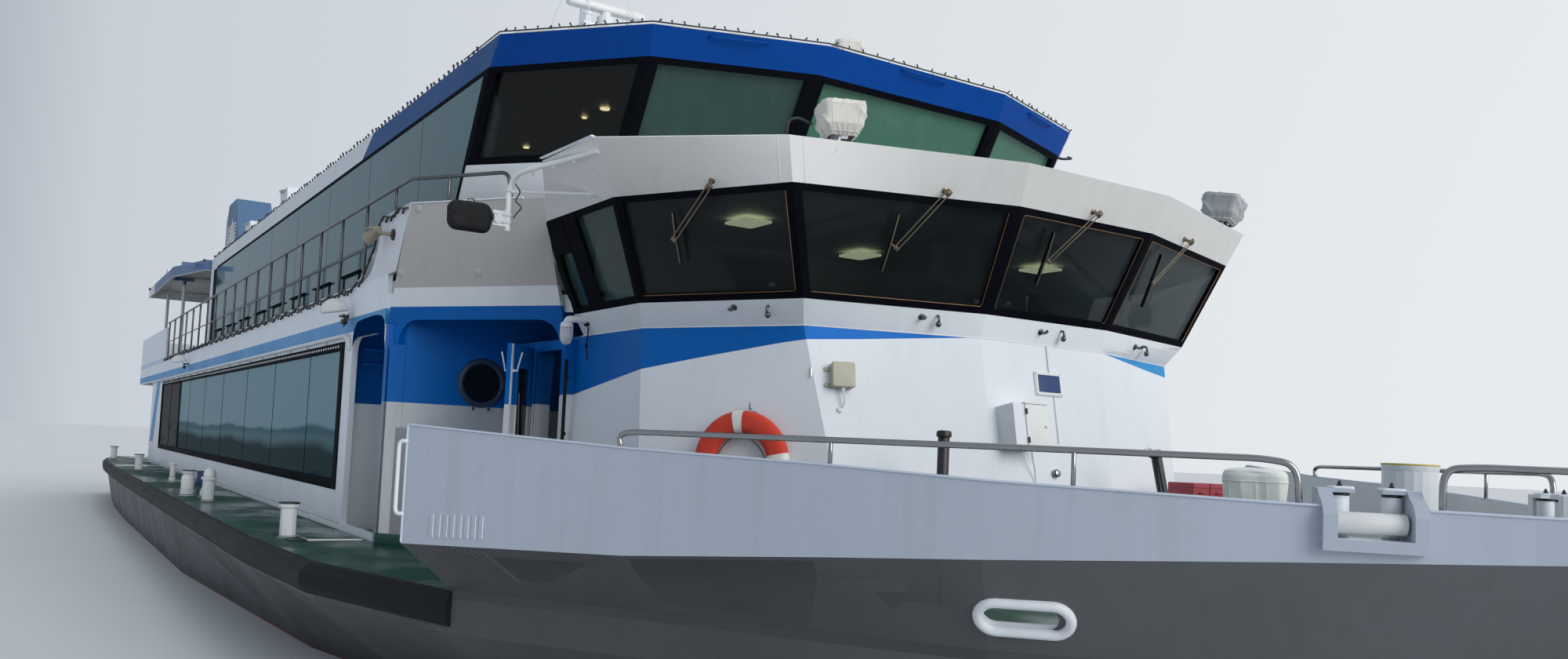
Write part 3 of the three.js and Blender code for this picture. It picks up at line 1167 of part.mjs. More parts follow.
function makeRudder(sign) {
  const { stockX, stockRadius, chord, thickness, top, bottom } = RUDDER;
  const section = [
    [stockX + chord * 0.3, 0], [stockX + chord * 0.18, -thickness / 2], [stockX - chord * 0.1, -thickness / 2],
    [stockX - chord * 0.7, -8], [stockX - chord * 0.7, 8], [stockX - chord * 0.1, thickness / 2],
    [stockX + chord * 0.18, thickness / 2],
  ];
  const blade = prism(section, bottom, top);
  const stock = bar([stockX, 0, top - 20], [stockX, 0, 280], stockRadius, BORE_SIDES);
  return toSide(blade.add(stock).translate([0, -SHAFT.y, 0]), sign);
}

addPair("propeller", makePropeller, "bronze");
addPair("rudder", makeRudder, "hullGrey");

export default group;
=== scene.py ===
import math

import bpy
import numpy as np
from mathutils import Matrix, Vector


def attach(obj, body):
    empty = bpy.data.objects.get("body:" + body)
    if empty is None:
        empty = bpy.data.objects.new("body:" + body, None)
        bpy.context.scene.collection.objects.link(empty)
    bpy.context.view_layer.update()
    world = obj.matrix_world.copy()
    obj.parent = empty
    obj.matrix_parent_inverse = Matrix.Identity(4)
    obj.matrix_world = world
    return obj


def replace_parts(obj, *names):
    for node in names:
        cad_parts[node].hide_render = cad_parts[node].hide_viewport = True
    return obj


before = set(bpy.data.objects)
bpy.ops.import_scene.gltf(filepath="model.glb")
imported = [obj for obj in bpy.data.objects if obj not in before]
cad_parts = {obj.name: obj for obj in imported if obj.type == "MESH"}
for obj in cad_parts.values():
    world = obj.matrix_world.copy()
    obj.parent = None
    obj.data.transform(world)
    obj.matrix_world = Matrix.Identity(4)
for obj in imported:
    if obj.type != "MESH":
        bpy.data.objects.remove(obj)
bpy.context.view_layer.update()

bl_info = {
    "name": "Sightseeing boat",
    "version": (1, 0, 0),
    "blender": (4, 5, 0),
    "location": "View3D > Sidebar > Boat",
    "description": "Dresses the packed frame of a sightseeing boat with procedural surfaces and finishes",
    "category": "Object",
}

# Measures taken over from the part

BULWARK = np.array([
    # top x, top y, deck x, deck y, knuckle z, top z
    (12.72, 4.60, 12.73, 4.23, 1.40, 2.20),
    (14.16, 3.66, 13.98, 3.39, 1.45, 2.11),
    (15.33, 2.95, 15.15, 2.68, 1.55, 2.07),
    (16.11, 2.48, 15.90, 2.20, 1.61, 2.03),
    (17.13, 1.47, 16.85, 1.22, 1.69, 1.99),
    (18.00, 0.62, 17.60, 0.50, 1.75, 1.98),
    (18.45, 0.24, 18.01, 0.13, 1.785, 1.98),
    (18.60, 0.00, 18.15, 0.00, 1.80, 1.98),
])
# height, centre place, half width, two steps aft and outboard, aft end
LEVELS = {
    "base": (1.0804, 14.425, .613, .318, 1.153, 1.518, 1.004, 9.27),
    "sill": (3.071, 14.056, .666, .433, 1.349, 1.347, .656, 9.27),
    "window_low": (3.25, 14.121, .669, .375, 1.436, 1.330, .670, 11.124),
    "window_high": (4.019, 14.514, .732, .532, 1.670, 1.398, .713, 11.22),
    "visor": (4.312, 14.640, .774, .560, 1.735, 1.0, 1.0, 12.06),
    "lounge_deck": (3.5004, 11.140, 1.089, .539, 1.391, 1.253, .990, -7.5),
    "lounge_sill": (4.66, 11.823, 1.089, .539, 1.391, 1.253, .990, -7.5),
    "lounge_head": (5.475, 12.298, 1.089, .539, 1.391, 1.253, .990, -7.5),
    "lounge_roof": (5.714, 12.406, 1.055, .529, 1.468, 1.132, .947, -7.5),
}
SIDE_Y = 3.87
DECK_Z = 1.08
BEAM_FOOT_Z = 2.435
STRIPE_FOOT_Z, STRIPE_TOP_Z = 3.197, 3.352
LOBBY_FORE_X = 9.262
RAIL_TOP_Z = 2.215
RAIL_INBOARD = 0.026
UPRIGHT = np.eye(3)


# Shapes: arrays of points and faces

def outward(points, faces):
    """Turns a closed surface's faces to point outwards: its signed volume, summed over fans of its
    faces, is made positive."""
    points = np.asarray(points, float)
    volume = 0.0
    centre = points.mean(0)
    for group in faces:
        corners = points[np.asarray(group)] - centre
        first, second, third = corners[:, :1], corners[:, 1:-1], corners[:, 2:]
        volume += float(np.einsum("ijk,ijk->", np.broadcast_to(first, second.shape), np.cross(second, third)))
    if volume < 0:
        faces = [np.asarray(group)[:, ::-1] for group in faces]
    return points, faces


def loft(rings, caps=True, around=True):
    """Skin through equal rings of points: each quad joins two neighbouring points of one ring to the same
    two of the next, round the ring, and flat caps close the first and last ring."""
    rings = np.asarray(rings, float)
    rows, count = rings.shape[:2]
    index = np.arange(rows * count).reshape(rows, count)
    here, after = index[:-1], index[1:]
    if around:
        quads = np.stack([here, np.roll(here, -1, 1), np.roll(after, -1, 1), after], -1)
    else:
        quads = np.stack([here[:, :-1], here[:, 1:], after[:, 1:], after[:, :-1]], -1)
    faces = [quads.reshape(-1, 4)]
    points = rings.reshape(-1, 3)
    if caps and around:
        faces += [index[:1, ::-1], index[-1:]]
        return outward(points, faces)
    return points, faces


def ring_loft(rings):
    """Skin through rings that close on themselves, the last joined to the first."""
    rings = np.asarray(rings, float)
    rows, count = rings.shape[:2]
    index = np.arange(rows * count).reshape(rows, count)
    after = np.roll(index, -1, 0)
    quads = np.stack([index, np.roll(index, -1, 1), np.roll(after, -1, 1), after], -1)
    return outward(rings.reshape(-1, 3), [quads.reshape(-1, 4)])


def circle(radius, count=12):
    """Points of a circle."""
    turn = np.arange(count) * (2 * np.pi / count)
    return np.stack([radius * np.cos(turn), radius * np.sin(turn)], -1)


def rounded_rectangle(width, height, radius, steps=4):
    """Points round a rectangle whose corners are quarter circles."""
    radius = min(radius, width / 2 - 1e-5, height / 2 - 1e-5)
    turn = np.linspace(0, np.pi / 2, steps + 1)
    corner = np.stack([np.cos(turn), np.sin(turn)], -1) * radius
    spin = np.array([[0.0, -1.0], [1.0, 0.0]])
    half = np.array([width / 2 - radius, height / 2 - radius])
    parts = []
    for signs in ((1, 1), (-1, 1), (-1, -1), (1, -1)):
        parts.append(corner + half * signs)
        corner = corner @ spin.T
    return np.concatenate(parts)


def rounded_path(points, radius, steps=6):
    """A line of legs whose corners are parabolas between two points set back along the legs."""
    points = np.asarray(points, float)
    share = np.linspace(0, 1, steps + 1)[:, None]
    parts = [points[:1]]
    for before, corner, after in zip(points[:-2], points[1:-1], points[2:]):
        back, on = before - corner, after - corner
        near = min(radius, 0.45 * np.linalg.norm(back)), min(radius, 0.45 * np.linalg.norm(on))
        start = corner + back / np.linalg.norm(back) * near[0]
        end = corner + on / np.linalg.norm(on) * near[1]
        parts.append((1 - share) ** 2 * start + 2 * share * (1 - share) * corner + share ** 2 * end)
    parts.append(points[-1:])
    return np.concatenate(parts)


def smooth_path(points, count=60):
    """Points evenly spread in length along a curve through the given ones: each coordinate is a cubic
    with slopes taken from its neighbours."""
    points = np.asarray(points, float)
    length = np.concatenate([[0], np.cumsum(np.linalg.norm(np.diff(points, axis=0), axis=1))])
    slope = np.gradient(points, length, axis=0)
    fine = np.linspace(0, length[-1], count)
    i = np.clip(np.searchsorted(length, fine, side="right") - 1, 0, len(length) - 2)
    step = (length[i + 1] - length[i])[:, None]
    t = (fine[:, None] - length[i][:, None]) / step
    return ((2 * t ** 3 - 3 * t ** 2 + 1) * points[i] + (t ** 3 - 2 * t ** 2 + t) * step * slope[i]
            + (3 * t ** 2 - 2 * t ** 3) * points[i + 1] + (t ** 3 - t ** 2) * step * slope[i + 1])


def sweep(path, profile, up=None, closed=False, scale=None):
    """A flat profile carried along a path: each of its points is moved by its first number across the
    path and by its second number along the path's up direction. up is the normal of the path's best
    plane unless it is given."""
    path = np.asarray(path, float)
    profile = np.asarray(profile, float)
    if closed:
        along = np.roll(path, -1, 0) - np.roll(path, 1, 0)
    else:
        legs = np.diff(path, axis=0)
        legs = legs / np.linalg.norm(legs, axis=1, keepdims=True)
        along = np.concatenate([legs[:1], legs[:-1] + legs[1:], legs[-1:]])
    along = along / np.linalg.norm(along, axis=1, keepdims=True)
    if up is None:
        up = np.linalg.svd(path - path.mean(0))[2][-1]
    side = np.cross(along, np.broadcast_to(np.asarray(up, float), along.shape))
    side = side / np.linalg.norm(side, axis=1, keepdims=True)
    lift = np.cross(side, along)
    size = np.ones(len(path)) if scale is None else np.asarray(scale, float)
    rings = path[:, None] + size[:, None, None] * (
        profile[None, :, :1] * side[:, None] + profile[None, :, 1:2] * lift[:, None])
    return ring_loft(rings) if closed else loft(rings)


def tube(points, radius, sides=10, bend=0.0, up=None, ends=True):
    """A round bar along a line of legs with rounded corners and slightly domed ends."""
    path = rounded_path(points, bend) if bend else np.asarray(points, float)
    scale = None
    if ends:
        first, last = path[1] - path[0], path[-2] - path[-1]
        first, last = first / np.linalg.norm(first), last / np.linalg.norm(last)
        path = np.concatenate([path[:1], path[:1] + first * radius * 0.35, path[1:-1],
                               path[-1:] + last * radius * 0.35, path[-1:]])
        scale = np.concatenate([[0.72], np.ones(len(path) - 2), [0.72]])
    return sweep(path, circle(radius, sides), up, scale=scale)


def lathe(profile, count=20):
    """A profile of radius and height turned round the local third axis."""
    profile = np.asarray(profile, float)
    turn = np.arange(count) * (2 * np.pi / count)
    ring = np.stack([np.cos(turn), np.sin(turn)], -1)
    rings = np.concatenate([profile[:, None, :1] * ring[None],
                            np.broadcast_to(profile[:, None, 1:2], (len(profile), count, 1))], -1)
    return loft(rings)


def pad(width, height, depth, radius=0.01, bevel=0.004, back=0.0):
    """A plate lying in the first two local axes, standing up along the third: its rounded outline is
    carried straight out and drawn in round the front edge along a quarter circle."""
    turn = np.linspace(0, np.pi / 2, 4)
    inset = np.concatenate([[0.0], bevel * (1 - np.cos(turn))])
    height_at = np.concatenate([[back], depth - bevel + bevel * np.sin(turn)])
    rings = [np.concatenate([rounded_rectangle(width - 2 * i, height - 2 * i, max(radius - i, 0.0006)),
                             np.full((20, 1), z)], -1) for i, z in zip(inset, height_at)]
    return loft(rings)


def joined(shapes):
    """Several shapes as one."""
    points, faces, start = [], [], 0
    for part_points, part_faces in shapes:
        points.append(part_points)
        faces += [np.asarray(group) + start for group in part_faces]
        start += len(part_points)
    return np.concatenate(points), faces


def turned(shape, frame_of):
    """A shape's local points placed in the row frame by an origin and three axes."""
    points, faces = shape
    origin, axes = frame_of
    return points @ np.asarray(axes, float) + np.asarray(origin, float), faces


def placed(shape, origin):
    """The shape moved to a place without a turn."""
    return turned(shape, (origin, UPRIGHT))


def off(place, across=0.0, along=0.0, out=0.0):
    """The place moved along its own three axes."""
    origin, axes = place
    return origin + axes[0] * across + axes[1] * along + axes[2] * out, axes


def facing(shape, *stand):
    """The shape with its third axis turned out of a face."""
    return turned(shape, standing(*stand))


def repeated(shape, frames):
    """One shape placed many times, as one array: every copy is the local points times a frame's axes
    plus its origin."""
    points, faces = shape
    origins = np.array([origin for origin, _ in frames])
    axes = np.array([axis for _, axis in frames])
    moved = np.einsum("pk,fkj->fpj", points, axes) + origins[:, None]
    shift = np.arange(len(frames))[:, None, None] * len(points)
    return moved.reshape(-1, 3), [(np.asarray(group)[None] + shift).reshape(-1, np.shape(group)[1])
                                  for group in faces]


def standing(origin, out, up=(0.0, 0.0, 1.0)):
    """An origin with three axes: across, up, and out of a face."""
    out = np.asarray(out, float) / np.linalg.norm(out)
    rise = np.asarray(up, float) - out * np.dot(up, out)
    if np.linalg.norm(rise) < 1e-6:
        rise = np.array([1.0, 0.0, 0.0])
    rise = rise / np.linalg.norm(rise)
    return np.asarray(origin, float), np.array([np.cross(rise, out), rise, out])


def mirrored(shape):
    """The same shape on the other side of the centreline, with its faces turned back outwards."""
    points, faces = shape
    return points * [1, -1, 1], [np.asarray(group)[:, ::-1] for group in faces]


def both(shape):
    """The shape and its mirror image."""
    return joined([shape, mirrored(shape)])


def facet_ring(name):
    """The corners of one level, from starboard aft round the front to port aft."""
    z, x, a, dx1, dy1, dx2, dy2, aft = LEVELS[name]
    half = [(x, a), (x - dx1, a + dy1), (x - dx1 - dx2, a + dy1 + dy2), (aft, a + dy1 + dy2)]
    return np.array([(px, -py, z) for px, py in half[::-1]] + [(px, py, z) for px, py in half])


class Facet:
    """A face of a faceted wall: the ruled surface through its four corners, swollen where the node's two
    triangles rise above it by a rounded ridge along their common line."""

    def __init__(self, low, high, index):
        lower, upper = facet_ring(low), facet_ring(high)
        self.corners = np.array([lower[index], lower[index + 1], upper[index + 1], upper[index]])
        a, b, c, d = self.corners
        out = np.cross(c - a, d - b)
        self.out = out / np.linalg.norm(out)
        self.rise = max(float(np.dot(c - b - d + a, self.out)), 0.0)

    def point(self, across, up, out=0.0):
        """The point at shares of the way across and up, moved outwards."""
        a, b, c, d = self.corners
        u, v = np.asarray(across, float)[..., None], np.asarray(up, float)[..., None]
        right, left = v * (1 - u), u * (1 - v)
        soft = 2.4 * u * (1 - u) * v * (1 - v)
        ridge = (right + left - np.sqrt((right - left) ** 2 + soft ** 2) + soft) / 2
        return a + u * (b - a) + v * (d - a) + u * v * (c - b - d + a) + self.out * (self.rise * ridge + out)

    def frame_at(self, point, out=0.0):
        """Axes on the face at its nearest point, found by a few steps of least squares."""
        a, b, c, d = self.corners
        u = v = 0.5
        for _ in range(12):
            first, second = b - a + v * (c - b - d + a), d - a + u * (c - b - d + a)
            gap = np.asarray(point, float) - (a + u * (b - a) + v * (d - a) + u * v * (c - b - d + a))
            step = np.linalg.lstsq(np.stack([first, second], 1), gap, rcond=None)[0]
            u, v = u + step[0], v + step[1]
        here = self.point(u, v)
        normal = np.cross(self.point(u + 0.02, v) - here, self.point(u, v + 0.02) - here)
        normal = normal / np.linalg.norm(normal)
        return standing(here + normal * out, normal)

    def inner(self, side, low, high):
        """Corners moved in by distances from the sides, the bottom and the top."""
        a, b, _, d = self.corners
        s, l, h = side / np.linalg.norm(b - a), low / np.linalg.norm(d - a), 1 - high / np.linalg.norm(d - a)
        return self.point([s, 1 - s, 1 - s, s], [l, l, h, h])


def bulwark_at(x):
    """Starboard top point, direction, top and knuckle heights of the bulwark at a place along the boat."""
    i = int(np.clip(np.searchsorted(BULWARK[:, 0], x), 1, len(BULWARK) - 1))
    a, b = BULWARK[i - 1], BULWARK[i]
    here = a + (b - a) * (x - a[0]) / (b[0] - a[0])
    along = np.array([b[0] - a[0], a[1] - b[1], 0.0])
    along /= np.linalg.norm(along)
    return here, along


def bulwark_frame(x, z):
    """Axes on the starboard bulwark's outer face: along the boat, up, and outwards."""
    here, along = bulwark_at(x)
    outside = np.array([along[1], -along[0], 0.0])
    return standing((x, -here[1], z), outside)


def rail_point(x, z=None, sign=-1):
    """A point over the bulwark's edge, set a little inboard."""
    here, along = bulwark_at(x)
    inside = np.array([-along[1], along[0]])
    return np.array([x + inside[0] * RAIL_INBOARD, sign * (here[1] - inside[1] * RAIL_INBOARD),
                     here[5] if z is None else z])


# Finishes

class Finish:
    """A node material on the piece's own Object coordinates."""

    def __init__(self, name):
        self.material = bpy.data.materials.new(name)
        self.material.use_nodes = True
        self.tree = self.material.node_tree
        self.shader = self.tree.nodes["Principled BSDF"]
        self.place = self.new("ShaderNodeTexCoord").outputs["Object"]
        self.axes = None

    def new(self, kind, **settings):
        node = self.tree.nodes.new(kind)
        for key, value in settings.items():
            setattr(node, key, value)
        return node

    def feed(self, socket, value):
        if isinstance(value, bpy.types.NodeSocket):
            self.tree.links.new(value, socket)
        elif hasattr(value, "__len__") and len(value) == 3 and socket.type == "RGBA":
            socket.default_value = (*value, 1.0)
        else:
            socket.default_value = value

    def axis(self, index):
        if self.axes is None:
            node = self.new("ShaderNodeSeparateXYZ")
            self.feed(node.inputs[0], self.place)
            self.axes = node.outputs
        return self.axes[index]

    def normal(self):
        """The three parts of the face's direction."""
        parts = self.new("ShaderNodeSeparateXYZ")
        self.feed(parts.inputs[0], self.new("ShaderNodeNewGeometry").outputs["Normal"])
        return parts.outputs

    def math(self, operation, first, second=0.0, clamp=False):
        node = self.new("ShaderNodeMath", operation=operation, use_clamp=clamp)
        self.feed(node.inputs[0], first)
        self.feed(node.inputs[1], second)
        return node.outputs[0]

    def above(self, value, limit, soft=0.004):
        """One above the limit and nought below it, with a narrow ramp between."""
        gap = self.math("SUBTRACT", value, limit)
        return self.math("ADD", self.math("DIVIDE", gap, soft), 0.5, clamp=True)

    def both(self, first, second):
        return self.math("MULTIPLY", first, second)

    def below(self, value, limit, soft=0.004):
        """One below the limit and nought above it."""
        return self.math("SUBTRACT", 1.0, self.above(value, limit, soft))

    def within(self, value, low, high):
        """One between two limits."""
        return self.both(self.above(value, low), self.below(value, high))

    def curve(self, value, points):
        """Height of a broken line at a value."""
        xs, ys = [p[0] for p in points], [p[1] for p in points]
        low, high = min(ys) - 0.01, max(ys) + 0.01
        share = self.math("DIVIDE", self.math("SUBTRACT", value, xs[0]), xs[-1] - xs[0], clamp=True)
        node = self.new("ShaderNodeFloatCurve")
        line = node.mapping.curves[0]
        for i, (x, y) in enumerate(points):
            at = ((x - xs[0]) / (xs[-1] - xs[0]), (y - low) / (high - low))
            if i < 2:
                line.points[i].location = at
            else:
                line.points.new(*at)
        for point in line.points:
            point.handle_type = "VECTOR"
        node.mapping.update()
        self.feed(node.inputs["Value"], share)
        return self.math("ADD", self.math("MULTIPLY", node.outputs[0], high - low), low)

    def noise(self, scale, detail=4.0, rough=0.55, stretch=(1, 1, 1), warp=0.0):
        mapping = self.new("ShaderNodeMapping")
        self.feed(mapping.inputs["Vector"], self.place)
        mapping.inputs["Scale"].default_value = stretch
        node = self.new("ShaderNodeTexNoise")
        self.feed(node.inputs["Vector"], mapping.outputs[0])
        node.inputs["Scale"].default_value = scale
        node.inputs["Detail"].default_value = detail
        node.inputs["Roughness"].default_value = rough
        node.inputs["Distortion"].default_value = warp
        return node.outputs["Fac"]

    def spread(self, value, low, high):
        """Nought to one between two values."""
        return self.math("DIVIDE", self.math("SUBTRACT", value, low), high - low, clamp=True)

    def mix(self, share, first, second):
        node = self.new("ShaderNodeMix", data_type="RGBA")
        self.feed(node.inputs["Factor"], share)
        self.feed(node.inputs["A"], first)
        self.feed(node.inputs["B"], second)
        return node.outputs["Result"]

    def bump(self, height, strength, distance, under=None):
        node = self.new("ShaderNodeBump")
        node.inputs["Strength"].default_value = strength
        node.inputs["Distance"].default_value = distance
        self.feed(node.inputs["Height"], height)
        if under is not None:
            self.feed(node.inputs["Normal"], under)
        return node.outputs[0]

    def set(self, **values):
        for key, value in values.items():
            self.feed(self.shader.inputs[key.replace("_", " ")], value)
        return self


def shade(colour, factor):
    """A colour made darker or paler."""
    return tuple(min(1.0, c * factor) for c in colour)


def paint(name, colour, roughness=0.38, streaks=0.22, grime=0.25, waves=0.012, regions=None,
          tint=(0.30, 0.24, 0.17), gloss=0.35):
    """Gloss paint on plate: rain streaks that run down, dull blotches, fine orange peel and the slow
    waves of welded plate. regions adds masked colours over the first."""
    n = Finish(name)
    body = tuple(colour)
    if regions:
        for mask, other in regions(n):
            body = n.mix(mask, body, tuple(other))
    run = n.spread(n.noise(7.0, 5.0, 0.6, (1, 1, 0.05)), 0.52, 0.80)
    blotch = n.spread(n.noise(1.1, 6.0, 0.62), 0.42, 0.74)
    speck = n.spread(n.noise(38.0, 2.0), 0.66, 0.74)
    dull = n.new("ShaderNodeMix", data_type="RGBA", blend_type="MULTIPLY")
    n.feed(dull.inputs["Factor"], n.math("MULTIPLY", blotch, grime))
    n.feed(dull.inputs["A"], body)
    dull.inputs["B"].default_value = (0.80, 0.79, 0.76, 1)
    streaked = n.new("ShaderNodeMix", data_type="RGBA", blend_type="MULTIPLY")
    n.feed(streaked.inputs["Factor"], n.math("MULTIPLY", run, streaks))
    n.feed(streaked.inputs["A"], dull.outputs["Result"])
    streaked.inputs["B"].default_value = (*[0.45 + 0.5 * t for t in tint], 1)
    spotted = n.mix(n.math("MULTIPLY", speck, 0.10), streaked.outputs["Result"], tint)
    rough = n.math("ADD", n.math("MULTIPLY", blotch, 0.14), roughness)
    peel = n.bump(n.noise(190.0, 2.0), 0.08, 0.002)
    surface = n.bump(n.noise(1.6, 2.0, 0.5, (1, 1, 0.8)), 0.35, waves, peel)
    n.set(Base_Color=spotted, Roughness=rough, Normal=surface)
    n.shader.inputs["Specular IOR Level"].default_value = gloss
    return n.material


def glass(name, colour, alpha, roughness=0.04, gloss=0.5, regions=None):
    """Tinted pane with a faint bow in it and rain marks; regions gives places their own tint."""
    n = Finish(name)
    body = tuple(colour)
    if regions:
        for mask, other in regions(n):
            body = n.mix(mask, body, tuple(other))
    mark = n.spread(n.noise(5.0, 5.0, 0.6, (1, 1, 0.2)), 0.5, 0.8)
    light = n.new("ShaderNodeMix", data_type="RGBA", blend_type="MULTIPLY")
    n.feed(light.inputs["Factor"], n.math("MULTIPLY", mark, 0.35))
    n.feed(light.inputs["A"], body)
    light.inputs["B"].default_value = (1.7, 1.7, 1.7, 1)
    n.set(Base_Color=light.outputs["Result"], Roughness=n.math("ADD", n.math("MULTIPLY", mark, 0.06), roughness),
          Normal=n.bump(n.noise(0.9, 1.0), 0.16, 0.02))
    n.shader.inputs["Specular IOR Level"].default_value = gloss
    n.shader.inputs["Alpha"].default_value = alpha
    return n.material


def mirror_glass(name, colour, horizon=2.33, shore=2.12):
    """Mirror film on glass: it shines above a wavering horizon, less so down to the shore's line and least
    below it, where darker things stand before the boat."""
    n = Finish(name)
    line = n.math("ADD", n.axis(2), n.math("MULTIPLY", n.noise(0.35, 3.0), 0.35))
    far, near = n.above(line, horizon, 0.05), n.above(line, shore, 0.12)
    mark = n.spread(n.noise(5.0, 5.0, 0.6, (1, 1, 0.2)), 0.5, 0.8)
    shine = n.math("ADD", n.math("MULTIPLY", far, 0.21), n.math("MULTIPLY", near, 0.16))
    # painted reflection: the pale sky's colour above the horizon, the darker shore and things below it
    n.set(Base_Color=n.mix(far, n.mix(near, (0.010, 0.040, 0.050), (0.030, 0.120, 0.150)), colour),
          Metallic=n.math("ADD", shine, 0.08), Roughness=n.math("ADD", n.math("MULTIPLY", mark, 0.06), 0.05),
          Normal=n.bump(n.noise(0.9, 1.0), 0.16, 0.02))
    n.shader.inputs["Specular IOR Level"].default_value = 0.0
    return n.material


def metal(name, colour, roughness=0.28, brushed=(1, 1, 1), stain=0.2):
    """Metal with fine scratches and dull water marks."""
    n = Finish(name)
    scratch = n.noise(260.0, 3.0, 0.6, brushed)
    cloud = n.spread(n.noise(9.0, 4.0), 0.45, 0.75)
    base = n.mix(n.math("MULTIPLY", cloud, stain), colour, shade(colour, 0.55))
    n.set(Base_Color=base, Roughness=n.math("ADD", n.math("MULTIPLY", cloud, 0.16), roughness),
          Normal=n.bump(scratch, 0.12, 0.0008))
    n.shader.inputs["Metallic"].default_value = 1.0
    return n.material


def rubber(name, colour=(0.012, 0.013, 0.015), roughness=0.6, worn=(0.06, 0.06, 0.065), gloss=0.5):
    """Rubber or black plastic with scuffs and a fine grain."""
    n = Finish(name)
    scuff = n.spread(n.noise(3.2, 6.0, 0.65, (0.25, 1, 1)), 0.52, 0.78)
    base = n.mix(n.math("MULTIPLY", scuff, 0.8), colour, worn)
    n.set(Base_Color=base, Roughness=n.math("ADD", n.math("MULTIPLY", scuff, 0.2), roughness),
          Normal=n.bump(n.noise(420.0, 2.0), 0.25, 0.0012))
    n.shader.inputs["Specular IOR Level"].default_value = gloss
    return n.material


def cloth(name, colour, thread=0.0016, crease=0.006, sheen=0.25):
    """Woven cloth: two crossed sets of threads, soft creases and weathering."""
    n = Finish(name)
    weft = n.math("SINE", n.math("MULTIPLY", n.axis(2), 2 * math.pi / thread))
    across = n.math("ADD", n.axis(0), n.math("MULTIPLY", n.axis(1), 0.83))
    warp = n.math("SINE", n.math("MULTIPLY", across, 2 * math.pi / thread))
    weave = n.math("MULTIPLY", weft, warp)
    soft = n.spread(n.noise(4.5, 5.0, 0.6), 0.40, 0.72)
    stain = n.spread(n.noise(2.1, 6.0, 0.68, (1, 1, 0.5)), 0.5, 0.78)
    base = n.mix(n.math("MULTIPLY", stain, 0.45), n.mix(soft, colour, shade(colour, 0.86)), shade(colour, 0.66))
    folds = n.bump(n.noise(9.0, 3.0, 0.5, warp=0.8), 0.5, crease)
    n.set(Base_Color=base, Roughness=n.math("ADD", n.math("MULTIPLY", soft, 0.1), 0.78),
          Normal=n.bump(weave, 0.10, 0.0006, folds))
    n.shader.inputs["Sheen Weight"].default_value = sheen
    return n.material


def deck_paint(name, colour, edge):
    """Non-slip deck paint on what faces up, hull paint on the edges: sharp grit, scuffed paths and puddles."""
    n = Finish(name)
    grit = n.noise(330.0, 2.0, 0.7)
    wear = n.spread(n.noise(1.5, 6.0, 0.66), 0.46, 0.74)
    wet = n.spread(n.noise(0.7, 3.0), 0.42, 0.60)
    facing_to = n.normal()
    top = n.above(facing_to[2], 0.5, 0.1)
    upright = n.mix(n.above(n.axis(2), 1.085), edge, (0.72, 0.74, 0.76))
    base = n.mix(top, upright, n.mix(n.math("MULTIPLY", wear, 0.5), colour, shade(colour, 0.55)))
    rough = n.math("SUBTRACT", 0.55, n.math("MULTIPLY", wet, 0.40))
    n.set(Base_Color=base, Roughness=rough, Normal=n.bump(grit, 0.22, 0.0012))
    n.shader.inputs["Specular IOR Level"].default_value = 0.12
    return n.material


def lamp(name, colour, strength):
    """A lit panel behind a frosted cover, brighter in its middle by a soft cloud."""
    n = Finish(name)
    cloud = n.noise(24.0, 2.0)
    tone = n.mix(cloud, shade(colour, 0.86), colour)
    n.set(Base_Color=tone, Roughness=n.math("ADD", n.math("MULTIPLY", cloud, 0.2), 0.4), Emission_Color=tone,
          Normal=n.bump(cloud, 0.1, 0.001))
    n.shader.inputs["Emission Strength"].default_value = strength
    return n.material


FINISHES = {}


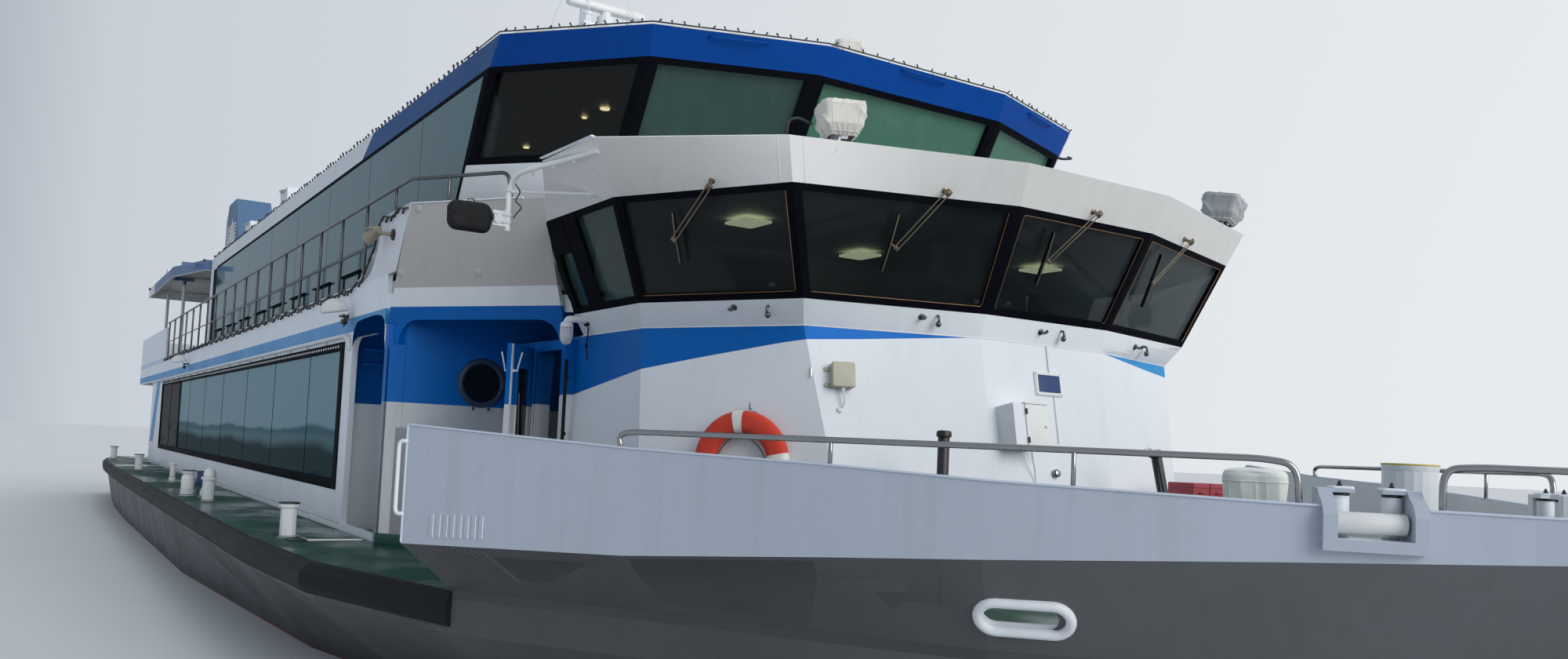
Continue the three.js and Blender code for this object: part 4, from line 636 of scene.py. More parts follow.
def finish_of(name):
    """The named finish, made once from the colours in the panel."""
    if name not in FINISHES:
        tones = bpy.context.scene.boat_colours
        makers = {
            "white": lambda: paint("white_paint", tones.white),
            "upper_white": lambda: paint("bulwark_white_paint", tones.bulwark, waves=0.02, regions=bulwark_regions),
            "hull": lambda: paint("hull_grey_paint", tones.hull_grey, 0.42, 0.35, 0.5, 0.028, hull_regions),
            # painted light: the deck edge's and the side plates' white is made paler than the superstructure white, to
            # stand for more light on these side faces
            "fascia": lambda: paint("deck_edge_paint_lit", shade(tones.white, 1.16), regions=fascia_regions),
            "side": lambda: paint("side_plate_paint_lit", shade(tones.white, 1.16), waves=0.02, regions=side_regions),
            "bulkhead": lambda: paint("bulkhead_paint", tones.white, regions=bulkhead_regions, gloss=0.12),
            "corner": lambda: paint("corner_paint", tones.white, regions=corner_regions, gloss=0.12),
            "tower": lambda: paint("tower_paint", tones.white, 0.4, 0.13, 0.18, regions=tower_regions, gloss=0.12),
            # painted light: the sill's white is made a little paler
            "sill": lambda: paint("sill_paint_lit", shade(tones.white, 1.12), 0.4, 0.13, 0.18, gloss=0.15),
            "beige": lambda: paint("beige_paint", tones.beige, 0.42),
            "cap_white": lambda: paint("bulwark_cap_paint", shade(tones.bulwark, 1.25)),
            "khaki": lambda: paint("khaki_enamel", (0.29, 0.27, 0.21), 0.5, gloss=0.2),
            # painted shade: a dark blue that stands for the shade under the side portal's top
            "recess_shade_blue": lambda: paint("recess_shade_blue", (0.0004, 0.022, 0.095), 0.6, 0.1, 0.1, gloss=0.0,
                                         tint=(0.02, 0.04, 0.1)),
            "visor": lambda: paint("visor_paint", tones.visor, 0.4, 0.18, 0.25, regions=visor_regions),
            "blue": lambda: paint("blue_paint", tones.blue, 0.4, 0.12, 0.15, gloss=0.05, tint=(0.05, 0.10, 0.2),
                                  regions=band_regions),
            "beam": lambda: paint("beam_blue_paint", tones.beam_blue, 0.4, 0.12, 0.15, gloss=0.05,
                                  tint=(0.05, 0.10, 0.2)),
            "deck": lambda: deck_paint("deck_paint", tones.deck_green, tones.hull_grey),
            "canopy": lambda: paint("canopy_paint", tones.white, regions=canopy_regions),
            "funnel": lambda: paint("funnel_paint", tones.white, regions=funnel_regions),
            "roof": lambda: paint("roof_paint", tones.white, regions=ceiling_regions),
            "black": lambda: rubber("black_frame", (0.004, 0.005, 0.008), 0.6, (0.008, 0.009, 0.012), 0.02),
            "rubber": lambda: rubber("fender_rubber", (0.006, 0.007, 0.008), 0.55, (0.02, 0.021, 0.024), 0.15),
            "side_glass_painted_reflection": lambda: mirror_glass("side_glass_painted_reflection", tones.side_glass_painted_reflection),
            "lounge_glass": lambda: glass("lounge_glass", tones.lounge_glass, 0.84, 0.04, 0.25, lounge_glass_regions),
            "bridge_glass": lambda: glass("bridge_glass", tones.bridge_glass, 0.60, 0.04, 0.18, bridge_glass_regions),
            "lounge_side": lambda: glass("lounge_side_glass", (0.030, 0.110, 0.130), 1.0, 0.06, 0.33),
            "brown_film": lambda: rubber("brown_film", (0.012, 0.009, 0.008), 0.5, (0.02, 0.016, 0.014), 0.1),
            "rim_paint": lambda: paint("rim_paint", (0.030, 0.055, 0.095), 0.35, gloss=0.4),
            "porthole_glass": lambda: glass("porthole_glass", (0.008, 0.012, 0.014), 0.95, 0.05, 0.2),
            "steel": lambda: metal("rail_steel", tones.steel, 0.17, (1, 1, 1)),
            "bronze": lambda: metal("bronze", tones.bronze, 0.36, stain=0.5),
            "dull_steel": lambda: metal("dull_steel", (0.15, 0.155, 0.16), 0.3, (1, 1, 1)),
            "wiper": lambda: metal("dark_bronze", (0.26, 0.215, 0.16), 0.4, stain=0.5),
            "seal": lambda: metal("copper_seal", (0.42, 0.24, 0.13), 0.5, stain=0.5),
            "canvas": lambda: cloth("canvas_cover", tones.canvas),
            "canvas_green": lambda: cloth("windlass_canvas", (0.84, 0.87, 0.83)),
            "orange": lambda: cloth("ring_orange", tones.orange, 0.0022, 0.001, 0.1),
            "rope": lambda: cloth("grab_line", (0.10, 0.035, 0.025), 0.004, 0.004),
            "band": lambda: cloth("ring_band", (0.78, 0.76, 0.72), 0.0015, 0.001),
            "canvas_grey": lambda: cloth("grey_canvas_cover", (0.42, 0.44, 0.45)),
            "tread": lambda: rubber("tread_plate", (0.022, 0.024, 0.027), 0.45, (0.04, 0.043, 0.048), 0.25),
            "skirt": lambda: paint("skirt_paint", (0.02, 0.08, 0.06), 0.5),
            "yellow": lambda: paint("yellow_edge_paint", (0.62, 0.47, 0.10), 0.5),
            "black_pad": lambda: cloth("mirror_cover_cloth", (0.0025, 0.0025, 0.0035), 0.0012, 0.004, 0.0),
            "cream": lambda: paint("cream_enamel", (0.46, 0.44, 0.35), 0.45),
            "lamp_white": lambda: paint("lamp_enamel", (0.74, 0.75, 0.74), 0.35),
            "red": lambda: paint("red_plastic", (0.36, 0.055, 0.07), 0.4),
            "engine": lambda: paint("engine_paint", (0.05, 0.10, 0.08), 0.5),
            "sign_blue": lambda: paint("sign_blue_enamel", (0.015, 0.045, 0.16), 0.3, 0.05, 0.1),
            "ceiling_lamp": lambda: lamp("warm_lamp", (1.0, 0.80, 0.42), 34.0),
            "panel_lamp": lambda: lamp("pale_lamp", (0.80, 0.88, 0.58), 1.7),
            "bulb": lambda: glass("small_bulb", (0.62, 0.65, 0.66), 0.9, 0.1),
            "plastic_black": lambda: rubber("black_plastic", (0.010, 0.011, 0.012), 0.42),
        }
        FINISHES[name] = makers[name]()
    return FINISHES[name]


def hull_regions(n):
    """Red below the waterline, wet grey above it, paler towards the stem."""
    tones = bpy.context.scene.boat_colours
    below = n.below(n.axis(2), 0.02)
    wet = n.below(n.axis(2), 0.16, 0.12)
    # painted light: the hull grey is made paler towards the stem, where more light falls
    fore = n.spread(n.axis(0), 14.6, 17.4)
    return [(fore, shade(tones.hull_grey, 1.75)), (n.math("MULTIPLY", wet, 0.55), shade(tones.hull_grey, 0.4)),
            (below, (0.16, 0.035, 0.025))]


def bulwark_regions(n):
    """White inner faces and gear, a duller white on the starboard outer face and cream to port."""
    tones = bpy.context.scene.boat_colours
    facing_to = n.normal()
    outer = n.both(n.above(n.math("MULTIPLY", n.axis(1), facing_to[1]), 0.02, 0.02),
                   n.above(n.math("ABSOLUTE", facing_to[1]), 0.2, 0.05))
    return [(n.math("SUBTRACT", 1.0, outer), tones.white)]


def lounge_glass_regions(n):
    """Teal panes in front, a dark one at the starboard corner, dark ones along the sides."""
    y, x = n.axis(1), n.axis(0)
    dark = n.below(y, -2.49, 0.02)
    side = n.above(n.math("ABSOLUTE", y), 3.30, 0.04)
    side = n.both(side, n.below(x, 10.42, 0.03))
    middle = n.below(y, -1.11, 0.02)
    upper = n.above(n.math("ADD", n.axis(2), n.math("MULTIPLY", y, 0.05)), 5.15, 0.35)
    # painted shade: the starboard corner pane is darkened for the unlit room behind it
    return [(n.math("MULTIPLY", upper, 0.55), (0.09, 0.20, 0.15)), (middle, (0.040, 0.086, 0.076)),
            (dark, (0.006, 0.007, 0.006)), (side, (0.020, 0.030, 0.034))]


def bridge_glass_regions(n):
    """The panes grow paler from starboard to port."""
    y = n.axis(1)
    port = n.spread(y, -0.2, 2.2)
    lean = n.math("ADD", n.axis(0), n.math("MULTIPLY", n.math("SUBTRACT", n.axis(2), 3.25), -0.2185))
    side = n.below(lean, 12.42, 0.01)
    return [(port, (0.05, 0.075, 0.08)), (side, (0.040, 0.078, 0.070))]


def canopy_regions(n):
    """Dusty blue beam faces, a white aft end, grey slats below."""
    facing_to = n.normal()
    flat = n.below(n.math("ABSOLUTE", facing_to[2]), 0.5, 0.1)
    face = n.both(n.both(n.above(n.axis(2), 5.49), n.below(n.axis(2), 5.72)), flat)
    face = n.both(face, n.above(n.math("ABSOLUTE", n.axis(1)), 3.4))
    face = n.both(face, n.above(n.axis(0), -13.9))
    below = n.above(n.math("MULTIPLY", facing_to[2], -1.0), 0.5, 0.1)
    slat = n.above(n.math("SINE", n.math("MULTIPLY", n.axis(0), 2 * math.pi / 0.45)), 0.93, 0.02)
    return [(face, (0.10, 0.17, 0.34)), (below, (0.36, 0.35, 0.33)), (n.both(below, slat), (0.14, 0.14, 0.14))]


def funnel_regions(n):
    """A dusty blue arrowhead over the white funnel sides."""
    z, x = n.axis(2), n.axis(0)
    reach = n.math("ABSOLUTE", n.math("SUBTRACT", x, -6.30))
    outer = n.math("ADD", z, n.math("MULTIPLY", reach, 0.95))
    inner = n.below(n.math("ADD", z, n.math("MULTIPLY", reach, 1.5)), 6.50, 0.006)
    arrow = n.math("SUBTRACT", n.above(outer, 6.45, 0.006), n.both(n.above(outer, 6.45, 0.006), inner))
    return [(arrow, (0.075, 0.150, 0.270))]


def fascia_regions(n):
    """Stripe on the edge, green floor, blue ceiling over the boarding lobbies."""
    tones = bpy.context.scene.boat_colours
    z, x = n.axis(2), n.axis(0)
    stripe = n.within(z, STRIPE_FOOT_Z, STRIPE_TOP_Z)
    stripe = n.both(stripe, n.above(n.math("ABSOLUTE", n.axis(1)), 3.84))
    pale = n.within(z, 3.60, 3.72)
    pale = n.both(pale, n.below(x, -11.65))
    floor = n.both(n.within(z, 3.46, 3.51), n.below(n.math("ABSOLUTE", n.axis(1)), 3.815))
    facing_to = n.normal()
    under = n.both(n.above(n.math("MULTIPLY", facing_to[2], -1.0), 0.5, 0.1), n.above(x, 7.40))
    return [(stripe, tones.stripe), (n.math("MULTIPLY", pale, 0.35), tones.stripe), (floor, tones.deck_green),
            (under, tones.beam_blue)]


def side_regions(n):
    """A leaning bar by the stern and the stripe under the upper deck."""
    tones = bpy.context.scene.boat_colours
    x, z = n.axis(0), n.axis(2)
    lean = n.math("ADD", x, n.math("MULTIPLY", n.math("SUBTRACT", z, 1.6), -0.62))
    slash = n.within(lean, -13.95, -13.1)
    slash = n.both(slash, n.above(z, 1.62))
    top = n.above(z, STRIPE_FOOT_Z)
    return [(slash, tones.stripe), (n.both(top, n.above(x, -14.2)), tones.stripe)]


def bulkhead_regions(n):
    """Blue above the beam's foot; the lobby's fore wall stands in shade, its aft wall in the light."""
    tones = bpy.context.scene.boat_colours
    fore = n.above(n.axis(0), 9.23)
    aft = n.both(n.above(n.axis(0), 7.4), n.below(n.axis(0), 7.8))
    return [(fore, shade(tones.white, 0.74)), (aft, shade(tones.white, 1.3)),
            (n.above(n.axis(2), BEAM_FOOT_Z), tones.beam_blue)]


def corner_regions(n):
    """Shaded low wall, blue portal beam and a beige leaning panel."""
    tones = bpy.context.scene.boat_colours
    z = n.axis(2)
    blue = n.within(z, BEAM_FOOT_Z, STRIPE_TOP_Z)
    side_face = n.above(n.math("ABSOLUTE", n.axis(1)), SIDE_Y - 0.0015, 0.0006)
    # painted shade: the leaning panel's white paint is given as beige, as it looks in shade
    panel = n.both(n.above(z, 3.528), n.math("SUBTRACT", 1.0, side_face))
    # painted shade: the low wall's white is made darker
    low = n.below(z, BEAM_FOOT_Z)
    return [(low, shade(tones.white, 0.42)), (blue, tones.beam_blue), (panel, tones.beige)]


def tower_regions(n):
    """The blue sweep from the portals to a point under the sill, and its short end to port."""
    tones = bpy.context.scene.boat_colours
    x, y, z = n.axis(0), n.axis(1), n.axis(2)
    edge = n.curve(x, [(9.2, BEAM_FOOT_Z), (10.0, 2.44), (10.557, 2.484), (11.487, 2.618), (12.345, 2.739),
                       (12.607, 2.787),
                       (12.863, 2.834), (13.176, 2.888), (13.48, 2.940), (13.634, 2.962), (13.776, 2.996),
                       (13.886, 3.028), (14.017, 3.063), (14.10, 3.09)])
    swoosh = n.within(z, edge, 3.0705)
    # painted light: the sweep's fore part is a paler copy of the blue and its port end a paler sunlit blue
    port = n.both(swoosh, n.above(y, 0.0, 0.01))
    fore = n.both(swoosh, n.both(n.above(x, 13.64, 0.006), n.below(y, 0.0, 0.01)))
    return [(swoosh, tones.beam_blue), (fore, shade(tones.beam_blue, 1.25)), (port, (0.020, 0.26, 0.58))]


def band_regions(n):
    """The blue band is paler along the lounge's sides."""
    return [(n.above(n.math("ABSOLUTE", n.axis(1)), 3.462, 0.004), (0.035, 0.100, 0.270))]


def visor_regions(n):
    """The starboard half of the visor is a little paler."""
    tones = bpy.context.scene.boat_colours
    return [(n.below(n.axis(1), -1.75, 0.9), shade(tones.visor, 1.3))]


def ceiling_regions(n):
    """The undersides in the ceiling's colour."""
    tones = bpy.context.scene.boat_colours
    facing_to = n.normal()
    down = n.above(n.math("MULTIPLY", facing_to[2], -1.0), 0.6, 0.1)
    return [(down, tones.ceiling)]


# Putting pieces in the scene

# The solid's own colour slot for each finish; put looks it up but gives it to no piece.
SLOTS = {
    "steel": "rail_steel", "dull_steel": "rail_steel", "rim_paint": "rail_steel",
    "white": "white", "cap_white": "white", "upper_white": "white", "lamp_white": "white", "yellow": "white",
    "bulkhead": "white", "band": "white", "visor": "white", "tower": "white", "sill": "white",
    "hull": "hull_grey", "red": "red", "black": "window_black", "wiper": "bronze", "seal": "bronze",
    "plastic_black": "fender_rubber", "rubber": "fender_rubber", "rope": "fender_rubber", "black_pad": "fender_rubber",
    "corner": "beige", "skirt": "beige", "khaki": "beige", "beige": "beige", "cream": "beige",
    "porthole_glass": "window_glass", "bulb": "window_glass", "brown_film": "window_glass",
    "lounge_side": "window_glass", "beam": "blue", "recess_shade_blue": "blue", "sign_blue": "blue", "blue": "blue",
    "deck": "deck_green", "tread": "deck_green",
}


def put(name, shape, finish, body="boat", slot=None, smooth=True, angle=35.0):
    """Makes the piece's mesh from whole arrays, gives it its finish and rides it on its body."""
    points, faces = shape
    mesh = bpy.data.meshes.new(name)
    mesh.from_pydata(np.asarray(points, float).tolist(), [], [f for group in faces for f in np.asarray(group).tolist()])
    mesh.update()
    if smooth:
        mesh.polygons.foreach_set("use_smooth", np.ones(len(mesh.polygons), bool))
        mesh.set_sharp_from_angle(angle=math.radians(angle))
    piece = bpy.data.objects.new(name, mesh)
    bpy.context.scene.collection.objects.link(piece)
    mesh.materials.append(finish_of(finish))
    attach(piece, body)
    slot = slot or SLOTS.get(finish)
    return piece


def dress(node, finish):
    """Gives a CAD node's material slots a procedural finish."""
    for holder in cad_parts[node].material_slots:
        holder.material = finish_of(finish)


SIDES = (("starboard", -1), ("port", 1))
OWN = {1: mirrored, -1: lambda shape: shape}


def put_pair(name, shape, finish, slot=None, **words):
    """The starboard shape and its mirror image as two pieces of the hull."""
    return [put(f"{name}_{side}", OWN[sign](shape), finish, slot=slot, **words) for side, sign in SIDES]


# Stage

def make_stage():
    """A pale floor at the waterline, a pale sky, a soft key light and the camera."""
    scene = bpy.context.scene
    settings = scene.boat_stage
    scene.view_settings.view_transform = "Standard"
    world = bpy.data.worlds.new("studio")
    world.use_nodes = True
    nodes, links = world.node_tree.nodes, world.node_tree.links
    place = nodes.new("ShaderNodeTexCoord")
    split = nodes.new("ShaderNodeSeparateXYZ")
    ramp = nodes.new("ShaderNodeValToRGB")
    lift = nodes.new("ShaderNodeMath")
    lift.operation = "MULTIPLY_ADD"
    lift.inputs[1].default_value, lift.inputs[2].default_value = 0.5, 0.5
    links.new(place.outputs["Generated"], split.inputs[0])
    links.new(split.outputs[1], lift.inputs[0])
    links.new(lift.outputs[0], ramp.inputs[0])
    stops = ramp.color_ramp.elements
    stops[0].position, stops[0].color = 0.0, (0.40, 0.45, 0.53, 1)
    stops[1].position, stops[1].color = 0.95, (0.80, 0.83, 0.855, 1)
    for place_of, tone in ((0.22, (0.46, 0.51, 0.59, 1)), (0.36, (0.36, 0.41, 0.47, 1)), (0.45, (0.30, 0.355, 0.41, 1)),
                           (0.52, (0.58, 0.625, 0.68, 1))):
        stops.new(place_of).color = tone
    links.new(ramp.outputs[0], nodes["Background"].inputs[0])
    nodes["Background"].inputs[1].default_value = settings.sky
    scene.world = world
    key = bpy.data.lights.new("key", "SUN")
    key.energy, key.angle, key.color = settings.key, math.radians(40), (1.0, 0.99, 0.965)
    holder = bpy.data.objects.new("key", key)
    holder.rotation_euler = Vector((0.90, 0.16, 0.40)).to_track_quat("Z", "Y").to_euler()
    scene.collection.objects.link(holder)
    floor = bpy.data.meshes.new("floor")
    reach = np.linspace(-1, 1, 9)
    u, v = np.meshgrid(np.sign(reach) * np.abs(reach) ** 2 * 400, np.sign(reach) * np.abs(reach) ** 2 * 400)
    points, faces = loft(np.stack([u, v, 0 * u], -1), around=False)
    floor.from_pydata(points.tolist(), [], faces[0].tolist())
    ground = bpy.data.objects.new("floor", floor)
    scene.collection.objects.link(ground)
    n = Finish("floor_paint")
    cloud = n.noise(0.35, 4.0)
    n.set(Base_Color=n.mix(cloud, (0.66, 0.67, 0.68), (0.72, 0.73, 0.74)), Roughness=0.6,
          Normal=n.bump(n.noise(3.0, 4.0), 0.05, 0.01))
    floor.materials.append(n.material)
    camera = bpy.data.cameras.new("camera")
    camera.lens, camera.sensor_width, camera.sensor_fit = settings.lens, 36.0, "HORIZONTAL"
    camera.shift_x, camera.shift_y = 0.0, settings.shift
    camera.clip_end = 2000
    yaw, pitch, roll = settings.yaw, settings.pitch, settings.roll
    ahead = Vector((-math.cos(yaw) * math.cos(pitch), math.sin(yaw) * math.cos(pitch), math.sin(pitch)))
    level = Vector((math.sin(yaw), math.cos(yaw), 0.0))
    rise = level.cross(ahead)
    right = level * math.cos(roll) + rise * math.sin(roll)
    up = rise * math.cos(roll) - level * math.sin(roll)
    seat = bpy.data.objects.new("camera", camera)
    turn = Matrix((right, up, -ahead)).transposed().to_4x4()
    seat.matrix_world = Matrix.Translation(settings.eye) @ turn
    scene.collection.objects.link(seat)
    scene.camera = seat


# Paint on the frame's own nodes

NODE_FINISHES = {
    "hull": "hull", "main_deck": "deck", "bulwark_lower": "hull", "bulwark_upper": "upper_white",
    "mooring_bitt": "white", "windlass_cover": "canvas", "front_bulkhead": "bulkhead", "aft_bulkhead": "white",
    "upper_deck": "fascia", "tower": "tower", "wheelhouse_window_frame": "black",
    "wheelhouse_glazing": "bridge_glass", "wheelhouse_roof": "visor", "wheelhouse_console": "black",
    "lounge_wall": "white", "lounge_window_frame": "black", "lounge_glazing": "lounge_glass",
    "lounge_door": "white", "roof_band": "blue", "lounge_roof": "roof", "mast": "white",
    "radar_scanner": "white", "aft_canopy": "canopy", "bow_rail_stem": "steel", "life_ring": "orange",
    "junction_box": "cream", "hose_boxes": "red", "roof_searchlight": "canvas",
}
SIDE_FINISHES = {
    "engine": "engine", "fender": "rubber", "fairlead_roller": "white", "bow_rail": "steel",
    "saloon_side": "side", "saloon_glazing": "side_glass_painted_reflection", "aft_door": "white", "tower_door": "bulkhead",
    "corner_panel": "corner", "funnel": "funnel", "mirror": "black_pad", "bridge_searchlight": "canvas",
    "promenade_rail": "steel", "propeller": "bronze", "rudder": "hull",
}


def paint_frame():
    """Finishes on every node of the frame."""
    for node, finish in NODE_FINISHES.items():
        dress(node, finish)
    for node, finish in SIDE_FINISHES.items():
        for side, _ in SIDES:
            dress(f"{node}_{side}", finish)


# Pieces

def make_rails():
    """Bow rails, the stem rail and the promenade rails as smooth tubes on the routes of their nodes."""
    radius, post = bpy.context.scene.boat_sizes.rail_radius, 0.013
    for side, sign in SIDES:
        route = [rail_point(x, RAIL_TOP_Z, sign) for x in (14.17, 15.33, 16.11, 16.7, 17.11)]
        route = [rail_point(14.12, bulwark_at(14.12)[0][5] + 0.001, sign), rail_point(14.10, 2.19, sign), *route,
                 rail_point(17.225, 2.19, sign), rail_point(17.235, bulwark_at(17.235)[0][5] + 0.001, sign)]
        shapes = [tube(route, radius, 14, 0.09, up=(0.35, 0.2, 1))]
        for x in (15.33, 16.44):
            foot = rail_point(x, None, sign)
            shapes.append(tube([foot, rail_point(x, RAIL_TOP_Z, sign)], post, 10))
            shapes.append(facing(lathe([(0.030, 0), (0.030, 0.003), (0.022, 0.006), (0.014, 0.008)], 14),
                                 foot, (0, 0, 1)))
        rail = put(f"bow_rail_tube_{side}", joined(shapes), "steel", angle=50)
        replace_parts(rail, f"bow_rail_{side}")
    half = [rail_point(17.71), rail_point(17.71, 2.20), rail_point(17.82, RAIL_TOP_Z), rail_point(18.2, RAIL_TOP_Z)]
    other = [p * [1, -1, 1] for p in half[::-1]]
    loop = tube([*half, (18.47, -0.1, RAIL_TOP_Z), (18.47, 0.1, RAIL_TOP_Z), *other], radius, 14, 0.10,
                up=(0.4, 0.0, 1))
    rail = put("bow_rail_stem_tube", loop, "steel", angle=50)
    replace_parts(rail, "bow_rail_stem")
    for side, sign in SIDES:
        y = sign * (SIDE_Y - 0.025)
        turn, end = (9.56, y, 4.55), (10.52, sign * 3.233, 4.55)
        shapes = [tube([(-11.56, y, 4.55), turn, end, (10.56, sign * 3.21, 4.30)], radius, 12, 0.09, up=(0, 0.3, 1)),
                  tube([(-11.56, y, 4.07), (7.9, y, 4.07)], 0.012, 10)]
        xs = 7.928 - 1.127 * np.arange(18)
        upright = tube([(0, 0, 0), (0, 0, 0.86)], 0.017, 8)
        foot = lathe([(0.030, 0.0), (0.030, 0.004), (0.018, 0.008)], 10)
        frames = [((x, y, 3.69), UPRIGHT) for x in xs]
        shapes += [repeated(upright, frames), repeated(foot, frames)]
        for x, post_y in ((9.055, y), (9.95, sign * 3.596)):
            shapes.append(tube([(x, post_y, 4.28), (x, post_y, 4.55)], 0.014, 8))
        rail = put(f"promenade_rail_tube_{side}", joined(shapes), "dull_steel", angle=50)
        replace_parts(rail, f"promenade_rail_{side}")


def make_bulwark_trim():
    """Rolled cap edge, aft edge with its grab handle, louvred freeing ports, chock rims."""
    cap_line = np.array([(x, -y, z) for x, y, _, _, _, z in BULWARK])
    profile = rounded_rectangle(0.048, 0.014, 0.006)
    here, along = bulwark_at(17.48)
    before = np.array([17.48, -here[1], here[5]]) - along * 0.247
    after = np.array([17.48, -here[1], here[5]]) + along * 0.247
    first = np.array([*cap_line[:5], before]) + [0, 0.018, 0.003]
    second = np.array([after, *cap_line[5:]]) + [-0.004, 0.018, 0.003]
    second[-1] = (18.565, 0.0, 1.984)
    shapes = [sweep(first, profile, up=(0, 0, 1)), sweep(second, profile, up=(0, 0, 1))]
    put_pair("bulwark_cap", joined(shapes), "cap_white", angle=50)
    aft_edge = sweep([(12.722, -4.588, 1.41), (12.722, -4.588, 2.198)], rounded_rectangle(0.014, 0.040, 0.006),
                     up=(0, 1, 0))
    handle = tube([(12.735, -4.60, 1.60), (12.688, -4.642, 1.60), (12.688, -4.642, 2.09), (12.735, -4.60, 2.09)],
                  0.014, 10, 0.05)
    put_pair("bulwark_aft_edge", aft_edge, "cap_white", angle=50)
    put_pair("bulwark_aft_handle", handle, "white", angle=50)
    # Freeing ports: flat louvre strips, upright above the knuckle and slanted below.
    strips = {True: [], False: []}
    for low, high, lean, count in ((0.055, 0.205, 0.0, 8), (-0.235, -0.02, 0.10, 9)):
        for share in np.linspace(0.0, 1.0, count):
            x = 12.93 + share * 0.34
            here, along = bulwark_at(x)
            origin, axes = bulwark_frame(x, here[4])
            fall = here[4] - DECK_Z
            inward = np.zeros(3) if low > 0 else np.array([here[2] - x, here[1] - here[3], 0]) / -fall
            top = origin + [0, 0, high] + inward * high + axes[2] * 0.003
            foot = origin + [0, 0, low] + inward * low + axes[2] * 0.003 + along * lean
            strips[low > 0].append(sweep([foot, top], rounded_rectangle(0.034, 0.008, 0.003, 2), up=axes[2]))
    put_pair("freeing_port_upper", joined(strips[True]), "upper_white", smooth=False)
    put_pair("freeing_port_lower", joined(strips[False]), "hull", smooth=False)
    # Mooring chock: an oval ring of round bar on the slanted plate.
    here, along = bulwark_at(16.26)
    lean = np.array([here[0] - here[2], -(here[1] - here[3]), here[4] - DECK_Z])
    lean = lean / np.linalg.norm(lean)
    out = np.cross(lean, along) * -1
    out = out if out[1] < 0 else -out
    share = (1.29 - DECK_Z) / (here[4] - DECK_Z)
    centre = np.array([here[2] + (here[0] - here[2]) * share, -(here[3] + (here[1] - here[3]) * share), 1.29])
    oval = rounded_rectangle(0.50, 0.20, 0.099, 10)
    path = np.stack([centre + u * along + v * lean + out * 0.004 for u, v in oval])
    rim = sweep(path, circle(0.030, 12), up=out, closed=True)
    lip = sweep(path - out * 0.045, circle(0.026, 10), up=out, closed=True)
    put_pair("mooring_chock_rim", joined([rim, lip]), "white", angle=60)


